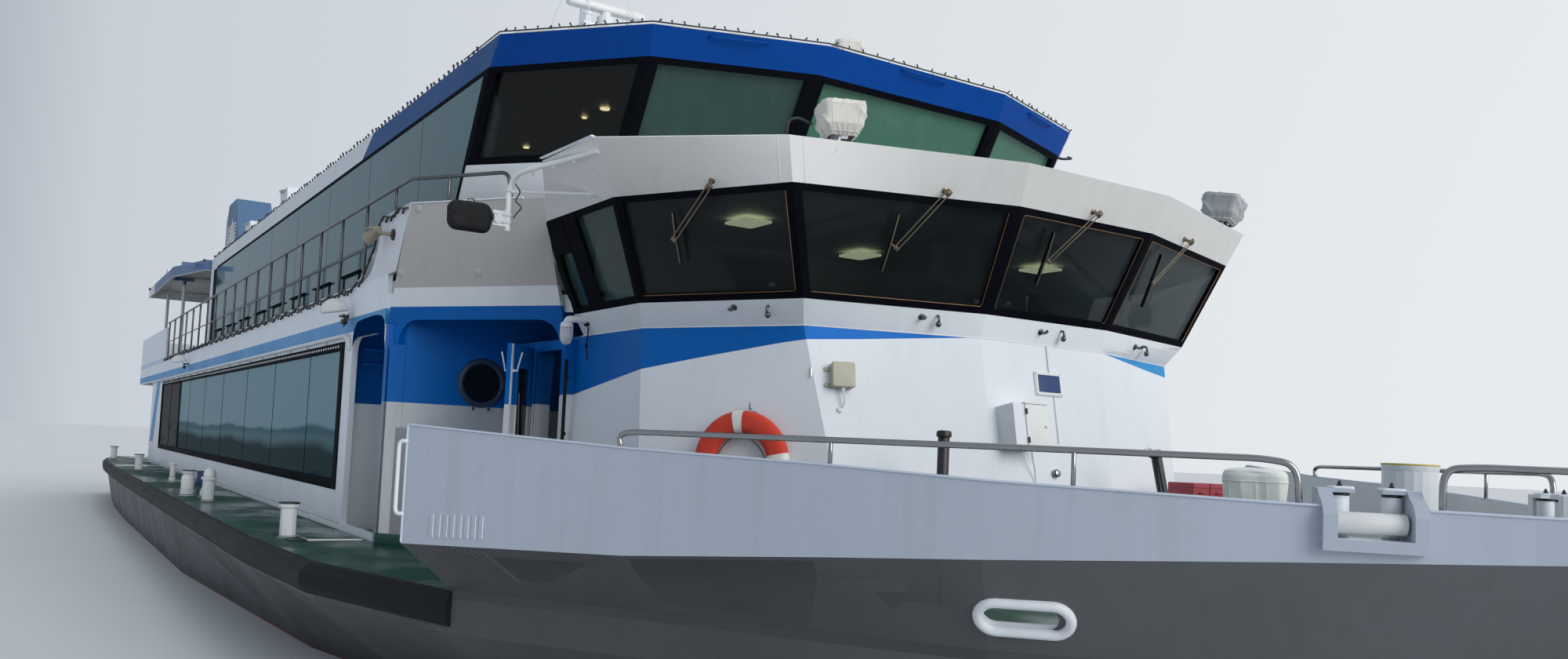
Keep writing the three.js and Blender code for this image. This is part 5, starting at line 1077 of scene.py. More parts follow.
def make_bow_gear():
    """Fairlead rollers, guide caps, nuts and notch edges, the flared bitt and the boxes' lids."""
    nut = lathe([(0.014, 0), (0.014, 0.008), (0.009, 0.010), (0.009, 0.018), (0.004, 0.026)], 6)
    for side, sign in SIDES:
        here, along = bulwark_at(17.48)
        outside = np.array([along[1], -along[0], 0.0])
        place = (np.array([17.48, -here[1], 0.0]), np.array([along, -outside, [0, 0, 1.0]]))
        drum = lathe([(0.030, -0.165), (0.050, -0.163), (0.0548, -0.156), (0.0548, 0.156), (0.050, 0.163),
                      (0.030, 0.165)], 40)
        pin = lathe([(0.006, -0.1755), (0.015, -0.175), (0.015, 0.175), (0.006, 0.1755)], 12)
        roller = joined([turned(placed((points[:, [2, 0, 1]], faces), (0, 0.045, 1.91)), place)
                         for points, faces in (drum, pin)])
        piece = put(f"fairlead_roller_drum_{side}", OWN[sign](roller), "lamp_white",
                    f"fairlead_roller_{side}")
        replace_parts(piece, f"fairlead_roller_{side}")
        white, dark = [], []
        for end in (-1, 1):
            spot = np.array([end * 0.124, 0.160, 0.0])
            white.append(lathe([(0.0462, 1.842), (0.0475, 1.845), (0.0475, 2.040), (0.0462, 2.043)], 36))
            white[-1] = (white[-1][0] + spot, white[-1][1])
            dark.append((lathe([(0.0463, 2.043), (0.0490, 2.045), (0.0490, 2.056), (0.0463, 2.058)], 36)[0] + spot,
                         white[-1][1]))
            cap = pad(0.118, 0.124, 0.012, 0.024, 0.008)
            white.append((cap[0] + [end * 0.1215, 0.151, 2.0795], cap[1]))
            dark.append((nut[0] * [1, 1, 1.1] + spot + [0, 0, 2.091], nut[1]))
            axes = np.array([[0, 1, 0], [0, 0, 1], [end, 0, 0]], float)
            dark.append(turned(nut, ((end * 0.245, 0.045, 1.91), axes)))
            washer = lathe([(0.030, 0), (0.030, 0.004), (0.024, 0.006)], 20)
            white.append(turned(washer, ((end * 0.2448, 0.045, 1.91), axes)))
            lip = pad(0.05, 0.09, 0.006, 0.01, 0.003)
            white.append((lip[0] + [end * 0.225, 0.015, 1.8300], lip[1]))
        put(f"fairlead_frame_{side}", OWN[sign](turned(joined(white), place)), "white", angle=40)
        put(f"fairlead_nuts_{side}", OWN[sign](turned(joined(dark), place)), "plastic_black",
            angle=30)
    bitt = (17.04, 0, 0)
    flare = lathe([(0.1505, 2.190), (0.1515, 2.200), (0.1530, 2.210), (0.1535, 2.219), (0.150, 2.220)], 48)
    weld = lathe([(0.1505, 1.082), (0.170, 1.083), (0.168, 1.090), (0.1505, 1.104)], 40)
    arms = [facing(lathe([(0.02, 0), (0.060, 0.002), (0.062, 0.02), (0.046, 0.03), (0.03, 0.034)], 24),
                   (17.04, sign * 0.325, 1.80), (0, sign, 0)) for sign in (-1, 1)]
    put("bitt_flare", joined([placed(s, bitt) for s in (flare, weld)] + arms),
        "white", angle=45)
    rim = lathe([(0.140, 2.2185), (0.1540, 2.2190), (0.1552, 2.224), (0.1540, 2.2290), (0.140, 2.2295)], 48)
    put("bitt_edge", placed(rim, bitt), "yellow", angle=45)
    lids = []
    for y in (1.25, 1.462):
        lids.append(placed(pad(0.262, 0.206, 0.035, 0.012, 0.008), (14.525, y, 1.992)))
        lids.append(facing(pad(0.14, 0.10, 0.004, 0.01, 0.002), (14.651, y, 1.80), (1, 0, 0)))
        lids.append(facing(tube([(-0.03, 0, 0), (-0.03, 0, 0.025), (0.03, 0, 0.025), (0.03, 0, 0)], 0.005, 6, 0.01),
                           (14.65, y, 1.95), (1, 0, 0)))
    put("hose_box_lids", joined(lids), "red")


def cloth_grid(rings, corner, folds, count=160, rows=60, lid=0.02, lid_rows=14):
    """Cloth over a block, from the hem up: at each height the outline is the rounded square
    |x/a|^n + |y/b|^n = 1, with a and b following the given heights; above the last one it closes over a dome
    whose size falls as a cosine while its height rises as a sine. folds moves it outwards."""
    levels = np.asarray(rings, float)
    turn = np.linspace(0, 2 * np.pi, count, endpoint=False)
    rise = np.linspace(0, 1, rows)
    z = levels[0, 0] + rise * (levels[-1, 0] - levels[0, 0])
    a, b = np.interp(z, levels[:, 0], levels[:, 1]), np.interp(z, levels[:, 0], levels[:, 2])
    quarter = np.linspace(0, np.pi / 2, lid_rows + 1)[1:]
    shrink = np.maximum(np.cos(quarter) ** 0.75, 0.004)
    z = np.concatenate([z, levels[-1, 0] + lid * np.sin(quarter)])
    a, b = np.concatenate([a, a[-1] * shrink]), np.concatenate([b, b[-1] * shrink])
    share = np.concatenate([rise, 1 + quarter / (np.pi / 2)])
    t, r = np.meshgrid(turn, share)
    outline = (np.abs(np.cos(t)) ** corner + np.abs(np.sin(t)) ** corner) ** (-1 / corner)
    push = folds(t, r) * np.minimum(1, np.concatenate([np.ones(rows), shrink]))[:, None]
    x = (a[:, None] * outline + push) * np.cos(t)
    y = (b[:, None] * outline + push) * np.sin(t)
    drop = np.where(r > 1, push * 0.6 * (2 - r), 0.0)
    return np.stack([x, y, z[:, None] + drop], -1)


def ridges(t, r, count, lean, wander):
    """Sharp folds side by side round a cover: one less the size of a sine whose turn leans and wanders."""
    sway = wander * (np.sin(2 * t + 2.3 * r) + 0.4 * np.sin(5 * t))
    return 1 - np.abs(np.sin(count / 2 * t + lean * r + sway))


def put_cover(name, grid, place, finish, slot, seams, drawstring=None):
    """The cloth with its thickness, its stitched seams along rows and columns of the grid, and its drawstring."""
    points, faces = loft(grid, caps=False)
    faces.append(np.arange(len(points) - grid.shape[1], len(points))[None])
    points, faces = outward(points, faces)
    cover = put(name, turned((points, faces), place), finish, slot=slot, angle=180)
    solid = cover.modifiers.new("thickness", "SOLIDIFY")
    solid.thickness, solid.offset = 0.0025, -1
    welts = []
    for kind, index in seams:
        path = grid[index] if kind == "row" else grid[index[1]:index[2], index[0]]
        centre = grid.reshape(-1, 3).mean(0)
        out = path - centre
        out[:, 2] = 0
        out = out / np.linalg.norm(out, axis=1, keepdims=True)
        welts.append(sweep(path + out * 0.0012, rounded_rectangle(0.007, 0.0035, 0.0016, 2), up=out,
                           closed=kind == "row"))
    extra = [put(name + "_seams", turned(joined(welts), place), finish, slot=slot, angle=60)]
    if drawstring is not None:
        path = grid[drawstring]
        out = path / np.linalg.norm(path * [1, 1, 0], axis=1, keepdims=True) * [1, 1, 0]
        path = path + out * 0.004
        extra.append(put(name + "_drawstring", turned(sweep(path, circle(0.0035, 8), up=(0, 0, 1), closed=True), place),
                         "band", angle=180))
    return cover


def make_windlass_cloth():
    """Cover over the windlass: narrow below, crowned on top, gathered under the crown's seam."""
    def folds(t, r):
        under = np.exp(-((r - 0.93) / 0.05) ** 2)
        hang = np.clip(1 - r, 0, 1)
        fore = 0.35 + 0.65 * np.exp(-((np.mod(t - 0.9, 2 * np.pi) - 0.6) / 0.9) ** 2)
        sharp = ridges(t, r, 15, 3.0, 0.8) ** 2.2
        soft = ridges(t, r, 6, 5.0, 1.1) ** 1.5
        crown = np.clip((r - 1) / 0.25, 0, 1)
        return (0.0150 * sharp * fore * (r < 0.97) * np.clip((0.97 - r) / 0.05, 0, 1) * (0.4 + 0.6 * r)
                + 0.010 * soft * hang - 0.004 * under + 0.0025 * np.sin(7 * t + 9 * r) * (1 - crown)
                + 0.0022 * crown * np.sin(4 * t + 7 * r)
                + 0.006 * ridges(t, r, 11, -4, 0.5) * np.clip(1 - r / 0.3, 0, 1))
    rings = [(1.084, .186, .140), (1.40, .182, .128), (1.90, .180, .107), (2.03, .198, .118), (2.086, .205, .122),
             (2.118, .203, .120), (2.136, .194, .112)]
    grid = cloth_grid(rings, 4.2, folds, rows=110, lid=0.034)
    turn = math.radians(30)
    place = ((15.94, 0.11, 0), np.array([[math.cos(turn), math.sin(turn), 0], [-math.sin(turn), math.cos(turn), 0],
                                         [0, 0, 1]]))
    cover = put_cover("windlass_cloth", grid, place, "canvas_green", "canvas",
                      [("row", 103), ("column", (22, 4, 103)), ("column", (102, 4, 103))], drawstring=12)
    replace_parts(cover, "windlass_cover")


def make_searchlight_covers():
    """Cloth covers of the two lamps on the wheelhouse's brow and of the one on the lounge's roof, with their
    stands, handles and straps."""
    lamps = (("bridge_starboard", 13.97, -2.11, 0.15, 4.109, 4.35, 4.605, 0.160, -1, "bridge_searchlight_starboard"),
             ("bridge_port", 13.97, 2.11, 0.15, 4.109, 4.35, 4.61, 0.165, 1, "bridge_searchlight_port"),
             ("roof", 11.9, -0.49, 0.0, 5.714, 5.79, 6.015, 0.14, -1, "roof_searchlight"))
    for name, x, y, ahead, foot, low, high, half, sign, node in lamps:
        tall = high - low
        rings = [(low, half * 0.62), (low + tall * 0.12, half * 0.74), (low + tall * 0.3, half * 0.925),
                 (high - 0.05, half), (high - 0.02, half * 0.955)]
        phase = 0.9 if sign < 0 else 2.1

        def folds(t, r, phase=phase, half=half):
            hem = np.clip(1 - r / 0.42, 0, 1)
            panel = np.exp(-((r - 0.55) / 0.3) ** 2)
            return half / 0.175 * (0.018 * hem * ridges(t, r, 17, 2.0, 0.9) ** 1.6 - 0.010 * hem
                                   + 0.021 * panel * (ridges(t + phase, r, 5, 4.6, 1.3) ** 2 - 0.4)
                                   + 0.009 * ridges(t - phase, r, 9, -5.5, 0.7) ** 3 * np.clip((r - 0.6) / 0.3, 0, 1)
                                   * (r < 1.2))
        grid = cloth_grid([(z, s, s) for z, s in rings], 7.0, folds, rows=56, lid=0.018)
        turn = math.radians(20 * sign)
        lean = math.radians(11 if sign > 0 else -1)
        spin = np.array(Matrix.Rotation(lean, 3, Vector((-0.838, 0.545, 0.0))))
        axes = np.array([[math.cos(turn), math.sin(turn), 0], [-math.sin(turn), math.cos(turn), 0], [0, 0, 1]]) @ spin.T
        place = (np.array([x + ahead, y, low]) - low * axes[2], axes)
        seams = [("row", 49)] + [("column", (c, 3, 55)) for c in (15, 24, 55, 64, 96, 104, 136, 145)]
        finish = "canvas" if sign < 0 else "canvas_grey"
        cover = put_cover(f"searchlight_cloth_{name}", grid, place, finish, "canvas",
                          seams, drawstring=6)
        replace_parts(cover, node)
        stand = [placed(pad(0.10, 0.18, 0.012, 0.01, 0.004), (x, y, foot + 0.0005)),
                 placed(pad(0.07, 0.14, 0.024, 0.01, 0.004), (x, y, foot + 0.010)),
                 tube([(x, y, foot + 0.01), (x + ahead * 0.6, y, low + 0.05)], 0.032, 16),
                 *[placed(lathe([(0.011, 0), (0.011, 0.007), (0.006, 0.010)], 6), (x + u, y + v, foot + 0.012))
                   for u in (-0.036, 0.036) for v in (-0.075, 0.075)]]
        white = put(f"searchlight_stand_{name}", joined(stand), "white", angle=40)
        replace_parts(white, node)
        if ahead:
            strap = [tube([(x + 0.06, y + sign * 0.09, foot + 0.02), (x + 0.10, y + sign * 0.13, low - 0.02),
                           (x + 0.09, y + sign * 0.12, low + 0.06)], 0.006, 8, 0.03),
                     facing(pad(0.05, 0.11, 0.012, 0.008, 0.003), (x + 0.235, y + sign * 0.02, low + 0.035),
                            (0.8, sign * 0.3, -0.3)),
                     tube([(x + 0.10, y - 0.05, foot + 0.02), (x + 0.20, y - 0.06, foot + 0.16),
                           (x + 0.21, y - 0.03, low + 0.03)], 0.011, 10, 0.05)]
            put(f"searchlight_strap_{name}", joined(strap), "white", angle=40)
            loop = tube([(x + 0.02, y - 0.15, low + 0.10), (x - 0.04, y - 0.24, low + 0.15),
                         (x - 0.02, y - 0.33, low + 0.10),
                         (x + 0.0, y - 0.35, low + 0.0)], 0.009, 10, 0.05)
            put(f"searchlight_handle_{name}", loop, "plastic_black", angle=50)


def make_mirrors():
    """Padded covers on the mirrors: a rounded outline drawn in over a quarter ellipse on both faces, with a
    hump above, creases from its corners and a pale hem; clamps, plates and pads on the white arm."""
    near, far, low, high, x = -3.765, -4.120, 3.748, 4.000, 11.695
    width, height, half = near - far, high - low, 0.068
    outline = rounded_rectangle(width - 0.008, height - 0.024, 0.070, 16)
    angle = np.linspace(-np.pi / 2, np.pi / 2, 31)
    rings = []
    for phi in angle:
        size = max(math.cos(phi), 0.0) ** 0.34
        size = max(size, 0.004)
        depth = half * np.sign(math.sin(phi)) * abs(math.sin(phi)) ** 0.85
        u, v = outline[:, 0] * size, outline[:, 1] * size
        turn = np.arctan2(v, u)
        hump = 0.018 * np.exp(-((u - 0.02) / 0.09) ** 2) * np.clip(v / 0.12, 0, 1)
        pinch = 0.0035 * np.sin(9 * turn + 2.0) * np.abs(np.sin(2 * phi)) + 0.003 * np.sin(5 * turn) * math.cos(phi)
        radial = 1 + pinch / np.maximum(np.hypot(u, v), 0.02) * (size > 0.1)
        dent = 1 - 0.10 * np.exp(-((u + 0.05) ** 2 + (v - 0.02) ** 2) / 0.006) * abs(math.sin(phi))
        rings.append(np.stack([np.full(len(u), depth) * dent, u * radial, v * radial + hump], -1))
    shell = loft(rings)
    centre = np.array([x, (near + far) / 2, (low + high) / 2 - 0.004])
    rise = 0.018 * np.exp(-((outline[:, 0] - 0.02) / 0.09) ** 2) * np.clip(outline[:, 1] / 0.12, 0, 1)
    hem = np.stack([np.zeros(len(outline)), outline[:, 0] * 1.006, outline[:, 1] * 1.008 + rise], -1)
    seam = sweep(hem, circle(0.0035, 8), up=(1, 0, 0), closed=True)
    loop = tube([(0, -0.02, 0.125), (0.006, -0.02, 0.140), (0.006, 0.03, 0.142), (0, 0.035, 0.125)], 0.004, 8, 0.01)
    neck = sweep([(0, 0.150, 0.02), (0, 0.182, 0.02)], rounded_rectangle(0.060, 0.070, 0.018), up=(1, 0, 0))
    tag = pad(0.030, 0.024, 0.004, 0.004, 0.002)
    for side, sign in SIDES:
        cover = put(f"mirror_pad_{side}", OWN[sign](placed(shell, centre)), "black_pad", angle=180)
        put(f"mirror_pad_seam_{side}", OWN[sign](placed(joined([
            seam, loop, neck, turned(tag, ((0.061, -0.125, 0.02), standing((0, 0, 0), (1, 0, 0))[1]))]),
                                                        centre)), "black_pad", angle=50)
        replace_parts(cover, f"mirror_{side}")
        fittings, post = [], (11.70, -3.63)
        for z in (3.865, 3.925):
            fittings.append(placed(lathe([(0.0225, -0.010), (0.033, -0.009), (0.033, 0.009), (0.0225, 0.010)], 24),
                                   (*post, z)))
            fittings.append(placed(pad(0.060, 0.020, 0.050, 0.004, 0.003), (11.70, -3.660, z - 0.010)))
        fittings.append(facing(pad(0.075, 0.100, 0.006, 0.008, 0.002), (11.716, -3.705, 3.895), (1, 0, 0)))
        fittings.append(facing(pad(0.012, 0.080, 0.030, 0.004, 0.002), (11.712, -3.748, 3.893), (1, 0, 0)))
        fittings += [facing(lathe([(0.011, 0), (0.011, 0.008), (0.005, 0.012)], 6), (11.726, y, z), (1, 0, 0))
                     for y in (-3.735, -3.68) for z in (3.862, 3.926)]
        fittings.append(placed(lathe([(0.014, -0.004), (0.0235, -0.002), (0.0235, 0.012), (0.022, 0.014)], 24),
                               (*post, 3.796)))
        eye = [(11.70 + 0.026 * math.cos(a), -3.63 + 0.026 * math.sin(a), 4.12) for a in np.arange(20) * np.pi / 10]
        fittings.append(sweep(eye, circle(0.006, 6), up=(0, 0, 1), closed=True))
        clips = [facing(pad(0.02, 0.028, 0.022, 0.004, 0.003), (px, py, 4.226), (0, 0, -1))
                 for px, py in ((12.35, -3.52), (12.64, -3.474), (12.05, -3.575))]
        brow = Facet("window_high", "visor", 0)
        foot, axes = brow.frame_at((12.345, -3.165, 4.069))
        fittings.append(turned(lathe([(0.030, -0.004), (0.030, 0.008), (0.018, 0.014)], 16), (foot, axes)))
        put(f"mirror_clamps_{side}", OWN[sign](joined(fittings + clips)), "white", angle=40)
    tangle = smooth_path([(11.74, -3.60, 4.18), (11.80, -3.58, 4.10), (11.77, -3.60, 4.04), (11.82, -3.57, 3.98),
                          (11.77, -3.59, 3.93), (11.74, -3.60, 3.90)], 40)
    wire = put("mirror_wire", tube(tangle, 0.005, 8, up=(0, 1, 0.2)), "plastic_black", angle=60)


def make_portals():
    """Bosses, the parapet's cap, porthole rings, the portal's head, ledges and a pipe at the front corners."""
    boss = lathe([(0.036, 0), (0.036, 0.005), (0.031, 0.008), (0.012, 0.009)], 24)
    along = np.array([0.8349, 0.5505, 0.0])
    lean = np.array([0.59, 0.0, 1.11])
    out = np.cross(along, lean)
    out = out / np.linalg.norm(out)
    corner = np.array([9.11, -SIDE_Y, 3.17])
    shapes = []
    for point in ((9.763, -3.814, 4.239), (9.412, -3.844, 3.664), (10.167, -3.343, 3.655)):
        point = np.array(point)
        on_face = point - out * np.dot(point - corner, out)
        shapes.append(facing(boss, on_face, out))
    put_pair("corner_boss", joined(shapes), "corner")
    top = [(7.72, -3.845, 3.70), (8.10, -3.845, 3.78), (8.35, -3.845, 3.93), (8.52, -3.845, 4.14),
           (8.64, -3.845, 4.268), (8.75, -3.845, 4.284), (9.70, -3.845, 4.284), (10.745, -3.156, 4.284)]
    put_pair("parapet_cap", sweep(top, rounded_rectangle(0.066, 0.014, 0.006), up=(0.02, 0.3, 1)), "white", angle=50)
    turns = np.arange(48) * 2 * np.pi / 48
    rim = ring_loft(np.stack([np.stack([r * np.cos(turns), r * np.sin(turns), np.full(48, h)], -1)
                              for r, h in ((0.188, -0.012), (0.245, -0.002), (0.245, 0.010), (0.236, 0.020),
                                           (0.212, 0.026), (0.194, 0.018), (0.186, 0.002))]))
    glass_disc = lathe([(0.190, -0.012), (0.190, -0.004)], 48)
    frame_of = standing((LOBBY_FORE_X, -2.94, 2.672), (1, 0, 0))
    lug = pad(0.018, 0.030, 0.025, 0.006, 0.003)
    lugs = [facing(lug, (LOBBY_FORE_X, -2.94 + dy, 2.672 - 0.256), (1, 0, 0)) for dy in (-0.08, 0.08)]
    put_pair("porthole_rim", joined([turned(rim, frame_of), *lugs]), "rim_paint", angle=40)
    put_pair("porthole_glass", turned(glass_disc, frame_of), "porthole_glass")
    # Portal on the side: two ledges on the lobby's aft wall, and over the opening's top a dark blue plate of painted
    # shade.
    ledge = [facing(pad(0.50, 0.035, 0.06, 0.008, 0.006), (7.665, -3.50, z), (1, 0, 0)) for z in (2.86, 3.02)]
    put_pair("lobby_ledge", joined(ledge), "beam")
    upper = [(7.760, 3.060), (7.765, 3.150), (7.80, 3.22), (7.916, 3.290), (8.18, 3.307), (8.688, 3.312), (8.90, 3.290),
             (8.99, 3.245), (9.045, 3.170), (9.050, 3.060)]
    lower = [(7.762, 3.040), (7.785, 3.060), (7.83, 3.090), (7.93, 3.122), (8.18, 3.124), (8.688, 3.124), (8.87, 3.110),
             (8.96, 3.080), (9.03, 3.050), (9.048, 3.040)]
    rows = [np.array([(x, -SIDE_Y - d, z) for x, z in line]) for line, d in ((upper, 0.0), (upper, 0.0035),
                                                                             (lower, 0.0035), (lower, 0.0))]
    put_pair("portal_head_shade", loft(np.stack(rows, 1)), "recess_shade_blue", smooth=False)
    panel = facing(pad(0.15, 1.90, 0.006, 0.002, 0.001), (LOBBY_FORE_X, -3.79, 2.04), (1, 0, 0))
    put_pair("lobby_fore_panel", panel, "bulkhead", smooth=False)
    # A strip behind the gap between the leaning panel and the side window.
    edge = [corner + lean * t + along * s for t, s in ((1.0, 1.245), (0.53, 1.745), (0.115, 2.18), (0.115, 2.46),
                                                       (0.53, 2.06), (1.0, 1.60))]
    strip = loft([np.array(edge) - out * 0.006, np.array(edge) - out * 0.014])
    put_pair("corner_gap_strip", strip, "corner", smooth=False)
    pipe = tube([(11.045, -2.79, 1.09), (11.045, -2.79, 2.86)], 0.016, 12)
    clips = [facing(pad(0.07, 0.03, 0.012, 0.004, 0.003), (11.045, -2.775, z), (0, -1, 0)) for z in (1.6, 2.2, 2.7)]
    put_pair("tower_pipe", joined([pipe, *clips]), "rubber", angle=50)


def make_caged_lamp():
    """Bulkhead lamp on a bent arm at the tower's corner: a turned glass in a cage of bent bars."""
    base = np.array([11.30, -2.70, 3.19])
    plate = facing(lathe([(0.060, 0), (0.060, 0.012), (0.05, 0.018), (0.030, 0.020)], 24), base, (0.15, -1, 0.1))
    gasket = facing(lathe([(0.052, 0.016), (0.056, 0.020), (0.056, 0.030), (0.04, 0.034)], 24), base, (0.15, -1, 0.1))
    tip = base + [-0.075, -0.18, 0.0]
    arm = tube([base, base + [-0.02, -0.13, 0.004], tip + [0, 0, 0.004], tip + [0, 0, -0.05]], 0.030, 14, 0.06)
    cap = placed(lathe([(0.030, 0.0), (0.048, -0.008), (0.056, -0.025), (0.056, -0.048), (0.048, -0.052)], 24),
                 tip + [0, 0, -0.02])
    globe = placed(lathe([(0.042, -0.055), (0.044, -0.11), (0.036, -0.155), (0.020, -0.178), (0.006, -0.184)], 24),
                   tip + [0, 0, -0.02])
    bars = []
    centre = tip + [0, 0, -0.02]
    for angle in np.arange(6) * np.pi / 6:
        d = np.array([math.cos(angle), math.sin(angle), 0])
        half = [d * 0.052 + [0, 0, -0.04], d * 0.054 + [0, 0, -0.13], d * 0.030 + [0, 0, -0.196]]
        bars.append(tube([*(centre + half), *(centre + np.array(half[::-1]) * [-1, -1, 1])], 0.0035, 6, 0.03))
    for drop in (-0.09, -0.15):
        bars.append(sweep([tip + [0.055 * math.cos(a), 0.055 * math.sin(a), drop] for a in np.arange(24) * np.pi / 12],
                          circle(0.0035, 6), up=(0, 0, 1), closed=True))
    put_pair("caged_lamp", joined([plate, arm, cap, *bars]), "white", angle=45)
    put_pair("caged_lamp_gasket", gasket, "rubber", angle=45)
    put_pair("caged_lamp_glass", globe, "bulb")
    wire = tube(smooth_path([base + [0, -0.012, -0.03], base + [0.02, -0.02, -0.12], base + [0.0, -0.02, -0.22],
                             base + [0.03, -0.018, -0.34]], 14), 0.006, 6, up=(0, 1, 0.1))
    knot = placed(lathe([(0.006, 0), (0.014, 0.005), (0.014, 0.03), (0.006, 0.035)], 8),
                  base + [0.0, -0.02, -0.24])
    put("caged_lamp_wire", joined([wire, knot]), "rubber", angle=50)


def make_life_ring():
    """Foam ring: a flattened round section carried round a circle, with cloth bands and a grab line."""
    facet = Facet("base", "sill", 1)
    place = facet.frame_at((13.257, -2.195, 2.03), 0.004)
    outer, inner, thick = 0.385, 0.215, 0.102
    middle, half = (outer + inner) / 2, (outer - inner) / 2
    turn = np.arange(72) * 2 * np.pi / 72
    circle_path = np.stack([middle * np.cos(turn), middle * np.sin(turn), np.full(72, thick / 2 + 0.002)], -1)
    section = np.sign(circle(1, 24)) * np.abs(circle(1, 24)) ** 0.8 * [half, thick / 2]
    ring = sweep(circle_path, section, up=(0, 0, 1), closed=True)
    foam = put("life_ring_foam", turned(ring, place), "orange", angle=180)
    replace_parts(foam, "life_ring")
    bands = []
    for degrees in (96, 186, 276, 6):
        turns = np.radians(np.linspace(degrees - 7, degrees + 7, 8))
        path = np.stack([middle * np.cos(turns), middle * np.sin(turns), np.full(8, thick / 2 + 0.002)], -1)
        bands.append(sweep(path, section * 1.03, up=(0, 0, 1)))
    put("life_ring_bands", turned(joined(bands), place), "band", angle=60)
    turns = np.linspace(0, 2 * np.pi, 120, endpoint=False)
    slack = inner - 0.008 - 0.020 * np.abs(np.sin(2 * (turns - np.radians(6))))
    line = np.stack([slack * np.cos(turns), slack * np.sin(turns), np.full(120, thick / 2 + 0.02)], -1)
    put("life_ring_line", turned(sweep(line, circle(0.005, 8), up=(0, 0, 1), closed=True), place), "rope", angle=180)
    hook = [turned(pad(0.16, 0.05, 0.012, 0.006, 0.003), off(place, 0, 0.36)),
            turned(tube([(0.03, 0.40, 0.0), (0.03, 0.40, 0.03), (0.03, 0.46, 0.035)], 0.007, 8, 0.02), place),
            turned(pad(0.20, 0.06, 0.02, 0.006, 0.003), off(place, 0, -0.33)),
            turned(tube([(-0.06, -0.33, 0.01), (-0.06, -0.42, 0.07), (-0.06, -0.40, 0.15)], 0.007, 8, 0.03), place)]
    put("life_ring_hook", joined(hook), "steel", angle=45)


